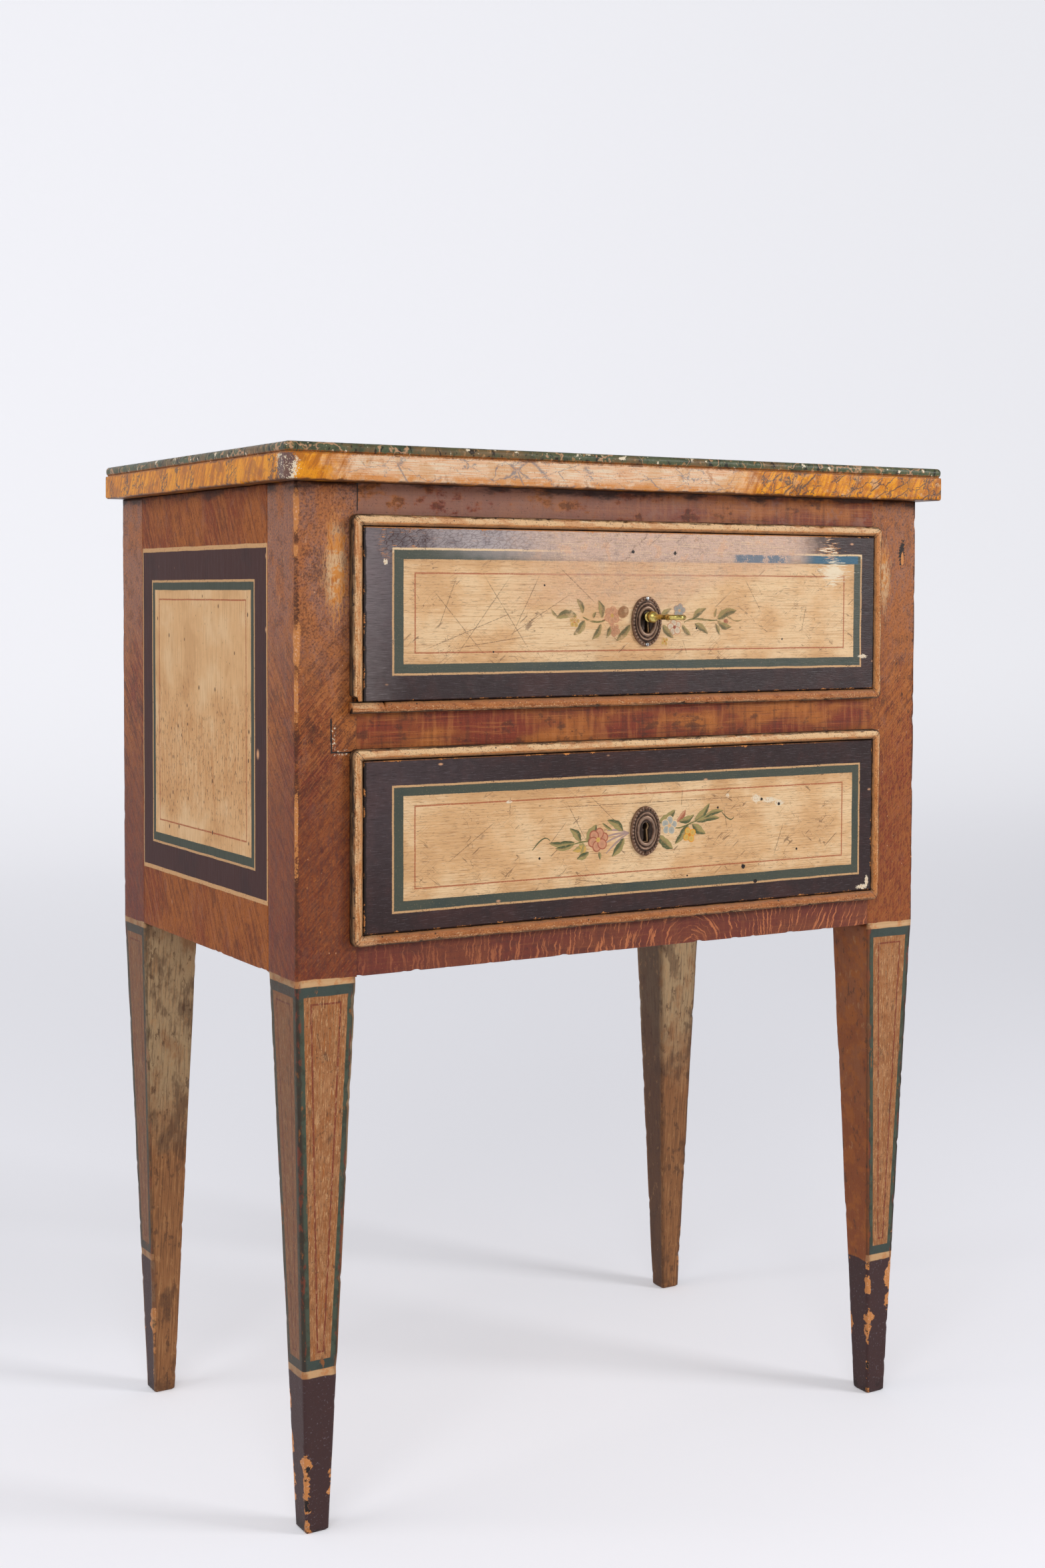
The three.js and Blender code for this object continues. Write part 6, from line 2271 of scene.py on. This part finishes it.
@dataclass
class Brush:
    """Gathers thin painted shapes on one plane: leaves, stems and petals."""

    plane: float
    origin: Pair
    seed: int
    step: float = 0.004
    lift: float = 0.05
    parts: list[Mesh] = field(default_factory=list)
    tints: list[Array] = field(default_factory=list)
    rims: list[Array] = field(default_factory=list)

    def patch(self, x: Array, z: Array, rim: Array, tone: Array) -> None:
        """Add one grid of points as a shape a little in front of the last.

        Args:
            x: Places across.
            z: Places in height.
            rim: Nearness to the rim, 0 to 1.
            tone: Colours.
        """
        y = self.plane - self.lift - self.step * len(self.parts)
        points = stacked(self.origin[0] + x, y, self.origin[1] + z)
        self.parts.append((points.reshape(-1, 3), grid_faces(*x.shape, False)))
        self.tints.append(tone.reshape(-1, 3))
        self.rims.append(rim.ravel())

    def leaf(self, base: Pair, tip: Pair, width: float, bend: float = 1.0,
             light: Hue = Hue.OLIVE_LIGHT, dark: Hue = Hue.OLIVE_DARK) -> None:
        """Paint a leaf: a lens along a bowed line, dark on one side, light on the other.

        The half width is the sine of pi t to a power, with a slow waver, so that no two are alike.

        Args:
            base: Where the leaf starts, from the garland's middle.
            tip: Where it ends.
            width: Its widest part.
            bend: How far its middle bows sideways.
            light: Colour of its lit side.
            dark: Colour of its other side.
        """
        t, v = np.meshgrid(np.linspace(0, 1, 24), np.linspace(-1, 1, 11), indexing="ij")
        (x0, z0), (x1, z1) = base, tip
        length = math.hypot(x1 - x0, z1 - z0)
        ux, uz = (x1 - x0) / length, (z1 - z0) / length
        phase = self.seed + 1.7 * len(self.parts)
        waver = 1 + 0.1 * np.sin(9 * t + phase) + 0.06 * np.sin(23 * t + 2 * phase)
        bow = bend * np.sin(np.pi * t)
        half = width / 2 * np.sin(np.pi * t ** 0.85) ** 0.8 * waver
        side = bow + v * half
        x = x0 + (x1 - x0) * t - uz * side
        z = z0 + (z1 - z0) * t + ux * side
        shade = ramp(v + 0.25 * np.sin(7 * t + phase), -0.35, 0.35)[..., None]
        tone = np.array(dark.light) * (1 - shade) + np.array(light.light) * shade
        vein = np.exp(-((v - 0.1) / 0.14) ** 2)[..., None] * 0.55
        tone = tone * (1 - vein) + np.array(Hue.CREAM_DARK.light) * vein
        self.patch(x, z, np.abs(v) ** 1.5, tone)

    def stem(self, points: Sequence[Pair], width: float, hue: Hue = Hue.OLIVE_DARK) -> None:
        """Paint a stem: a thin band along a smooth curve through a few points.

        Args:
            points: Places it passes.
            width: Its width.
            hue: Its colour.
        """
        knots = np.array(points, float)
        at = np.linspace(0, 1, len(knots))
        t = np.linspace(0, 1, 60)
        shape = np.polyfit(at, knots, min(len(knots) - 1, 4))
        curve = stacked(np.polyval(shape[:, 0], t), np.polyval(shape[:, 1], t))
        along = np.gradient(curve, axis=0)
        along /= np.linalg.norm(along, axis=1, keepdims=True)
        v = np.linspace(-1, 1, 5)
        half = width / 2 * (0.45 + 0.55 * np.sin(np.pi * t))[:, None]
        x = curve[:, :1] - along[:, 1:] * v * half
        z = curve[:, 1:] + along[:, :1] * v * half
        tone = np.broadcast_to(np.array(hue.light), (*x.shape, 3))
        self.patch(x, z, np.broadcast_to(np.abs(v), x.shape) * 0.9, tone.copy())

    def flower(self, centre: Pair, radius: float, petals: int, tone: Hue, line: Hue, eye: Hue,
               turn: float = 0.0) -> None:
        """Paint a flower: round petals with a darker outline, and a small eye.

        Args:
            centre: Its middle.
            radius: Its radius.
            petals: How many petals.
            tone: Colour of the petals.
            line: Colour of the outlines.
            eye: Colour of the eye.
            turn: Its turn in radians.
        """
        for k in range(petals):
            angle = turn + 2 * math.pi * k / petals
            middle = (centre[0] + math.cos(angle) * radius * 0.56, centre[1] + math.sin(angle) * radius * 0.56)
            self.disc(middle, radius * 0.47, line, angle, 1.12)
            self.disc(middle, radius * 0.38, tone, angle, 1.12)
        self.disc(centre, radius * 0.22, eye, 0, 1)

    def disc(self, centre: Pair, radius: float, hue: Hue, turn: float, stretch: float) -> None:
        """Paint a round or oval spot.

        Args:
            centre: Its middle.
            radius: Its radius.
            hue: Its colour.
            turn: Its turn in radians.
            stretch: Its length over its width.
        """
        r, a = np.meshgrid(np.linspace(0.02, 1, 5), np.linspace(0, 2 * np.pi, 19), indexing="ij")
        p, q = r * np.cos(a) * radius * stretch, r * np.sin(a) * radius
        x = centre[0] + p * math.cos(turn) - q * math.sin(turn)
        z = centre[1] + p * math.sin(turn) + q * math.cos(turn)
        tone = np.array(hue.light) * (0.85 + 0.3 * r[..., None])
        self.patch(x, z, r * 0.9, tone)

    def finish(self, name: str, body: str, slot: str, material: Material) -> None:
        """Make one piece of all the shapes."""
        values = {"rim": np.concatenate(self.rims)}
        make_piece(name, joined(self.parts), body, material, (), values, np.concatenate(self.tints))


def paint_garland(brush: Brush, mirror: int) -> None:
    """Paint a garland to both sides of an escutcheon.

    Leaves lie in pairs along a stem that ends in a curling tendril, with blossoms near the plate.
    A leaf is given by its base, its tip, its width and its bow.

    Args:
        brush: Gathers the shapes.
        mirror: 1 for the full garland of the lower drawer, -1 for the faint one above.
    """
    if mirror < 0:
        brush.stem([(-41, 1), (-52, 0), (-63, 4)], 1.8, Hue.OLIVE)
        brush.stem([(-24, 1), (-36, 2), (-44, 1)], 1.0, Hue.SALMON_DARK)
        brush.stem([(39, -1), (50, 2), (62, 1), (74, 1)], 1.8, Hue.OLIVE)
        brush.flower((-34, 5), 7.5, 6, Hue.GESSO_PINK, Hue.SALMON, Hue.YELLOW, 0.4)
        brush.flower((-32, -7), 5.5, 5, Hue.GESSO_PINK, Hue.SALMON, Hue.SALMON, 0.9)
        brush.flower((-71, 0), 5.0, 5, Hue.YELLOW, Hue.CREAM_PALE, Hue.OCHRE, 0.2)
        brush.flower((29, -5), 7.0, 5, Hue.CHALK, Hue.SALMON, Hue.SALMON_DARK, 0.5)
        brush.flower((34, 9), 6.0, 5, Hue.SKY, Hue.MAUVE, Hue.CREAM, 0.1)
        brush.flower((19, -17), 4.0, 4, Hue.YELLOW, Hue.CREAM_PALE, Hue.OCHRE, 0.6)
        brush.disc((-23, 8), 5.0, Hue.LEG_INNER_TAN, 0.6, 1.15)
        leaves = (
            (-16, -3, -30, -16, 6.5, 1.0), (-44, 3, -48, 18, 6.0, -1.5), (-53, 3, -50, 8, 3.0, 0.5),
            (-63, 7, -69, 19, 5.0, -1.5), (-45, -2, -54, -15, 5.5, 1.5), (-36, -4, -40, -14, 4.0, 0.6),
            (-61, 1, -72, -11, 7.0, 1.5), (-69, 5, -89, 3, 7.5, -2.5), (-87, 4, -94, 11, 2.4, 1.0),
            (15, 3, 26, 11, 5.0, 1.0), (17, -3, 28, -14, 6.0, -1.0), (37, -3, 46, -12, 4.5, -1.0),
            (48, 2, 62, 11, 6.0, 1.5), (50, -2, 64, -11, 6.0, 1.0), (74, 2, 94, 9, 8.0, 2.0),
            (74, 0, 89, -5, 6.0, -2.0), (72, -2, 76, -12, 3.6, 0.6), (71, 3, 73, 11, 2.4, 0.5),
        )
        brush.stem([(84, 4), (90, 1), (95, 0), (100, 1)], 1.0, Hue.OLIVE)
        brush.disc((83, 0), 1.8, Hue.SALMON_DARK, 0, 1.4)
    else:
        brush.stem([(-56, -6), (-63, -6), (-74, -8)], 1.2, Hue.OLIVE)
        brush.stem([(-94, -3), (-100, -1), (-106, -5), (-111, -10)], 1.1, Hue.OLIVE_DARK)
        brush.stem([(28, 2), (38, 1), (48, 4), (56, 5)], 1.3, Hue.OLIVE)
        brush.stem([(80, 12), (84, 8), (89, 5), (93, 7)], 1.1, Hue.OLIVE_DARK)
        for tip in ((-42, -4), (-39, -17), (-38, 2), (-43, -10)):
            brush.stem([(-16, -1), ((tip[0] - 16) / 2, (tip[1] - 1) / 2 + 1.5), tip], 1.6, Hue.MAUVE)
        leaves = (
            (-58, -6, -49, 8, 10.0, -1.0), (-22, 1, -38, 11, 7.0, -1.5), (-33, 2, -43, 9, 2.6, 0.4),
            (-21, -5, -33, -20, 7.0, 1.0), (-64, -6, -75, 6, 6.5, -1.5), (-70, -6, -95, -5, 6.0, 1.5),
            (-71, -8, -89, -10, 4.5, 1.0), (-56, -15, -68, -20, 5.5, 0.5), (-46, -15, -45, -22, 2.8, 0.4),
            (15, 6, 31, 16, 8.5, -1.5), (14, -5, 29, -17, 8.5, -1.0), (35, 6, 51, 11, 6.0, -1.5),
            (51, 5, 67, 20, 7.0, -1.5), (53, 5, 78, 7, 5.5, 1.0), (61, 8, 82, 13, 4.6, 1.5),
            (49, 3, 63, -6, 7.5, -1.0), (45, 3, 31, -13, 7.0, 1.0),
        )
        for x, z in ((-72, -13), (-66, -8), (-64, -16)):
            brush.leaf((-60, -9), (x, z), 5.0, 0.8, Hue.YELLOW, Hue.OLIVE_LIGHT)
        brush.leaf((33, 6), (42, 16), 5.0, -1.0, Hue.SALMON, Hue.SALMON_DARK)
    for x0, z0, x1, z1, width, bend in leaves:
        brush.leaf((x0, z0), (x1, z1), width, bend)
    if mirror > 0:
        brush.flower((-47, -5), 9.5, 6, Hue.SALMON, Hue.SALMON_DARK, Hue.YELLOW, 0.3)
        brush.flower((25, 3), 8.0, 5, Hue.SKY, Hue.CREAM_PALE, Hue.CREAM, 0.2)
        brush.flower((46, -6), 6.5, 4, Hue.YELLOW, Hue.OCHRE_BRIGHT, Hue.OCHRE, 0.5)


# The whole chest

class Chest:
    """Builds and dresses the chest from its sub-assemblies."""

    def __init__(self) -> None:
        """Make the finishes that several pieces share."""
        self.case_paint = CasePaint()
        self.strip_paint = StripPaint()
        metal = MetalFinish()
        self.bronze = metal.material("bronze", Hue.BRONZE, Hue.BRONZE_LIGHT, Hue.BRONZE_DARK, 0.7, 0.42, True)
        self.brass = metal.material("brass", Hue.BRASS, Hue.BRASS, Hue.BRASS_DARK, 1.0, 0.3)
        self.steel = metal.material("nail_steel", Hue.STEEL, Hue.STEEL, Hue.IRON, 0.9, 0.25)
        self.old_nail = metal.material("nail_dark", Hue.BRONZE, Hue.STRIP_GREY, Hue.BRONZE_DARK, 0.6, 0.45)
        self.iron = metal.material("lock_iron", Hue.IRON, Hue.STRIP_GREY, Hue.RUST, 0.7, 0.5)

    def dress(self, node: str, material: Material) -> None:
        """Give a node of the frame its material.

        Args:
            node: The node.
            material: The material.
        """
        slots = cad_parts[node].data.materials
        slots.clear()
        slots.append(material)

    def case(self) -> None:
        """Build the top and the posts, and dress the boards and rails."""
        TopBoard().build(TopPaint().material())
        posts = LegPaint().material()
        for side in (-1, 1):
            for depth in (-1, 1):
                Post(side, depth).build(posts)
        side_paint = SidePaint().material()
        for k, node in enumerate(("left_side_panel", "right_side_panel")):
            Board(node, 1, "case_faux_wood", (CASE_POST.high[1], BACK_POST.low[1])).build(side_paint, 60 + k)
        for k, (place, flame) in enumerate((("top", 0.0), ("middle", 0.0), ("bottom", 1.0))):
            finish = self.case_paint.rail(f"{place}_front_rail_paint", flame, 4.5 * k)
            if flame:
                Board(f"{place}_front_rail", 0, "case_faux_wood", (CASE_POST.high[0], -CASE_POST.high[0])).build(
                    finish, 70)
            else:
                self.dress(f"{place}_front_rail", finish)

    def inner_wood(self) -> None:
        """Dress every bare board with its grain along its longest side."""
        finishes = {}
        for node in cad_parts:
            painted = ("_post", "_side_panel", "_front_rail", "_strip", "_drawer_front", "top_board", "_patch")
            if any(word in node for word in painted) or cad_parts[node].hide_render:
                continue
            if any(word in node for word in ("lock_", "escutcheon", "key")):
                continue
            box = Span.of(node)
            axis = int(np.argmax(np.subtract(box.high, box.low)))
            grey = 0.3 if "_drawer_" in node else 0.8
            if (axis, grey) not in finishes:
                name = f"bare_wood_{'xyz'[axis]}_{'drawer' if grey < 0.5 else 'case'}"
                finishes[axis, grey] = self.case_paint.inside(name, axis, grey)
            self.dress(node, finishes[axis, grey])

    def drawer(self, name: str, paint: DrawerPaint, mended: bool, pale: float, seed: int) -> None:
        """Build and dress one drawer.

        Args:
            name: "upper" or "lower".
            paint: Painted lines of its front.
            mended: Whether its lower left moulding is a mended one.
            pale: How far the mouldings are rubbed; on the top strips it also sets a painted highlight on the crown.
            seed: Picks its wear.
        """
        body = f"{name}_drawer"
        front = Span.of(f"{name}_drawer_front")
        self.dress(f"{name}_drawer_front", paint.material(front))
        strips = self._strips(name, body, mended)
        boxes = [Span.of(strip.node) for strip in strips]
        reach = Span(tuple(min(b.low[k] for b in boxes) for k in range(3)),
                     tuple(max(b.high[k] for b in boxes) for k in range(3)))
        for k, (strip, box) in enumerate(zip(strips, boxes)):
            # The top strips take the full paleness, rubbed paint and a painted highlight; the others a fifth of it.
            share = pale if strip.rise > 0 and not strip.upright else pale * 0.2
            dark = 1.0 if strip.rise < 0 and not strip.upright else 0.0
            finish = self.strip_paint.material(f"{strip.node}_paint", share, dark, seed + 3.0 * k)
            strip.build(reach, box, finish, seed * 10 + k)
        Escutcheon(f"{name}_escutcheon", body).build(self.bronze)
        nail_finish = self.steel if mended else self.old_nail
        for place in ("top", "bottom"):
            Nail(f"{name}_escutcheon_{place}_nail", body).build(nail_finish)
        for node in (f"{name}_lock_case", f"{name}_lock_bolt"):
            self.dress(node, self.iron)

    def _strips(self, name: str, body: str, mended: bool) -> list[Strip]:
        """Return the mouldings of one drawer.

        Args:
            name: "upper" or "lower".
            body: Body of the drawer.
            mended: Whether the lower left moulding is a mended one.

        Returns:
            The strips.
        """
        strips = [
            Strip(f"{name}_top_strip", body, False, 1),
            Strip(f"{name}_right_strip", body, True, 1),
            Strip(f"{name}_left_strip", body, True, -1, starts=End.CHIPPED if mended else End.MITRED),
            Strip(f"{name}_bottom_strip", body, False, -1, starts=End.SCARFED if mended else End.MITRED),
        ]
        if mended:
            strips.append(Strip(f"{name}_bottom_strip_patch", body, False, -1, starts=End.SQUARE, ends=End.SCARFED))
        return strips

    def garland(self, name: str, strength: float, mirror: int, seed: int) -> None:
        """Paint the garland of one drawer.

        Args:
            name: "upper" or "lower".
            strength: How much of the paint is left.
            mirror: 1 for the full garland, -1 for the faint one.
            seed: Picks its small changes.
        """
        plate = Span.of(f"{name}_escutcheon")
        front = Span.of(f"{name}_drawer_front")
        brush = Brush(front.low[1], (plate.middle(0), plate.middle(2)), seed)
        paint_garland(brush, mirror)
        finish = garland_finish(f"{name}_garland_paint", strength, float(seed))
        brush.finish(f"{name}_garland", f"{name}_drawer", "drawer_paint", finish)


# Camera, floor and lamps

@dataclass(frozen=True)
class View:
    """The photograph's camera, fitted to the chest's corners, in millimetres and radians."""

    place: Triple = (-965.34, -1638.49, 744.44)
    yaw: float = 0.535
    pitch: float = 0.044
    roll: float = 0.003
    focal_pixels: float = 3088.53
    image: tuple[int, int] = (1568, 2353)
    drop_pixels: float = -148.53
    sensor: float = 36.0

    def make(self) -> None:
        """Make the camera and set it as the scene's."""
        lens = bpy.data.cameras.new("camera")
        lens.sensor_fit = "AUTO"
        lens.sensor_width = self.sensor
        lens.lens = self.focal_pixels * self.sensor / max(self.image)
        lens.shift_y = self.drop_pixels / max(self.image)
        lens.clip_start = 0.05
        camera = bpy.data.objects.new("camera", lens)
        bpy.context.scene.collection.objects.link(camera)
        camera.matrix_world = self.matrix()
        bpy.context.scene.camera = camera

    def matrix(self) -> Matrix:
        """Return the camera's place and turn: its right, its up and away from what it sees.

        Returns:
            The matrix.
        """
        cy, sy, cp, sp = math.cos(self.yaw), math.sin(self.yaw), math.cos(self.pitch), math.sin(self.pitch)
        forward = Vector((sy * cp, cy * cp, -sp))
        level = Vector((cy, -sy, 0))
        upward = level.cross(forward)
        c, s = math.cos(self.roll), math.sin(self.roll)
        right = level * c + upward * s
        up = upward * c - level * s
        spot = Vector((self.place[0], self.place[1] + CENTRE_Y, self.place[2])) * MM
        turn = Matrix((right, up, -forward)).transposed()
        return Matrix.Translation(spot) @ turn.to_4x4()


@dataclass(frozen=True)
class Studio:
    """Pale floor that runs up into a backdrop, and soft lamps."""

    width: float = 14000.0
    front: float = -7000.0
    bend_start: float = 3600.0
    bend: float = 1600.0
    height: float = 5000.0
    lift: Pair = (0.24, 0.5)

    def build(self) -> None:
        """Make the backdrop, the lamps and the world."""
        self._backdrop()
        self._lamp("key_lamp", (1900, -2000, 1650), (0, 0, 620), 800, 34)
        self._lamp("fill_lamp", (-1500, -1900, 2000), (0, 0, 620), 1800, 22)
        self._lamp("side_lamp", (-2300, 300, 1700), (0, 0, 560), 1400, 14)
        self._world()

    def _backdrop(self) -> None:
        """Make the floor, its bend and the wall as one strip."""
        floor = np.array([[self.front, 0.0], [self.bend_start, 0.0]])
        bend = arc_points((self.bend_start, self.bend), (self.bend, self.bend), -math.pi / 2, 0, 24)
        wall = np.array([[self.bend_start + self.bend, self.height]])
        line = np.concatenate([floor, bend[1:], wall])
        x = np.linspace(-self.width / 2, self.width / 2, 3)
        grid = stacked(x, line[:, :1], line[:, 1:])
        mesh = bpy.data.meshes.new("backdrop")
        mesh.from_pydata((grid.reshape(-1, 3) * MM).tolist(), [], grid_faces(len(line), 3, False).tolist())
        mesh.polygons.foreach_set("use_smooth", np.ones(len(mesh.polygons), bool))
        backdrop = bpy.data.objects.new("backdrop", mesh)
        bpy.context.scene.collection.objects.link(backdrop)
        mesh.materials.append(self._backdrop_finish())

    def _backdrop_finish(self) -> Material:
        """Return the pale finish of the backdrop, lifted towards white where it is seen directly.

        Returns:
            The material.
        """
        paint = Paint("backdrop")
        path = paint.node("ShaderNodeLightPath").outputs
        seen = Term(paint, path["Is Camera Ray"]).either(Term(paint, path["Is Glossy Ray"])).either(
            Term(paint, path["Is Transmission Ray"]))
        low, high = self.lift
        lift = paint.mix((paint.y / 2 + paint.z).above(0, 3000), (low, low, low), (high, high, high))
        paint.set(base_color=linear(236, 236, 242), roughness=0.9, specular_ior_level=0.1, emission_strength=1.0)
        paint.set(emission_color=paint.mix(seen, (0.0, 0.0, 0.0), lift))
        return paint.material

    def _lamp(self, name: str, place: Triple, aim: Triple, size: float,
              power: float) -> None:
        """Make a square area lamp that faces a point.

        Args:
            name: Its name.
            place: Where it hangs, in millimetres.
            aim: What it faces.
            size: Its side.
            power: Its power in watts.
        """
        lamp = bpy.data.lights.new(name, "AREA")
        lamp.shape = "SQUARE"
        lamp.size = size * MM
        lamp.energy = power
        holder = bpy.data.objects.new(name, lamp)
        bpy.context.scene.collection.objects.link(holder)
        holder.location = Vector(place) * MM
        holder.rotation_mode = "QUATERNION"
        holder.rotation_quaternion = (Vector(aim) - Vector(place)).to_track_quat("-Z", "Y")
        holder.visible_camera = False

    def _world(self) -> None:
        """Make the pale, even light from all round."""
        world = bpy.data.worlds.new("studio")
        world.use_nodes = True
        shade = world.node_tree.nodes["Background"]
        shade.inputs["Color"].default_value = (*linear(238, 239, 245), 1)
        shade.inputs["Strength"].default_value = 0.42
        bpy.context.scene.world = world


UPPER_PAINT = DrawerPaint(
    "upper_drawer_paint",
    cream_line=Rectangle(-231.5, 241.5, 680.3, 781),
    field=Rectangle(-221.5, 232.5, 689.2, 772),
    red=Rectangle(-211.8, 221.6, 697.4, 761.6),
    wear=Wear.RUBBED,
    seed=2.0,
    scratches=(
        (-150, 726, 52, 44), (-172, 722, -48, 38), (-128, 730, -55, 40), (-160, 716, 20, 52), (-110, 735, 62, 34),
        (-182, 738, 68, 26), (-96, 728, 30, 38), (-140, 706, 8, 46), (-60, 752, -40, 26), (48, 700, -70, 7),
        (176, 724, 78, 14), (120, 744, -58, 18),
    ),
    holes=((-5.4, 780.4, 1.8), (37.4, 779.8, 1.8), (-92, 752, 1.0), (60, 716, 1.1), (152, 706, 1.0), (-140, 698, 0.9)),
    flakes=((243, 690, 6, 2), (-237, 770, 2.2, 2.6)),
)
LOWER_PAINT = DrawerPaint(
    "lower_drawer_paint",
    cream_line=Rectangle(-231.5, 241.5, 492.6, 593.8),
    field=Rectangle(-221.5, 232.5, 502, 585.2),
    red=Rectangle(-211.8, 221.6, 510.6, 577.4),
    wear=Wear.SOUND,
    seed=11.0,
    scratches=(
        (-30, 562, -42, 26), (-60, 556, -60, 22), (-124, 572, 88, 9), (-78, 548, 48, 13), (92, 552, -80, 10),
        (46, 571, 86, 8), (20, 569, 0, 120), (-40, 505, -8, 30), (150, 530, 70, 16), (-160, 545, 35, 30),
    ),
    holes=((111.5, 508.1, 2.4), (124.7, 494.3, 2.2), (131, 566, 1.5), (150, 561, 1.6), (84, 561, 1.2), (-96, 528, 1.2),
           (170, 520, 1.2), (52, 504, 1.0)),
    flakes=((244, 481, 7, 2.4), (250.5, 486, 2.0, 5.0), (126, 567, 6, 4.2), (139, 565, 9, 2.8), (150, 562, 5, 2.6),
            (94.4, 571.3, 2.2, 2.2), (-125, 576, 3, 1.2)),
)


def main() -> None:
    """Build the chest, the studio and the camera."""
    logging.basicConfig(level=logging.INFO, format="%(name)s: %(message)s")
    bpy.context.scene.view_settings.view_transform = "Standard"
    chest = Chest()
    chest.case()
    chest.drawer("upper", UPPER_PAINT, True, 0.8, 1)
    chest.drawer("lower", LOWER_PAINT, False, 0.9, 2)
    chest.garland("upper", 0.38, -1, 5)
    chest.garland("lower", 0.9, 1, 8)
    Key().build(chest.brass)
    chest.inner_wood()
    Studio().build()
    View().make()


if __name__ == "__main__":
    main()
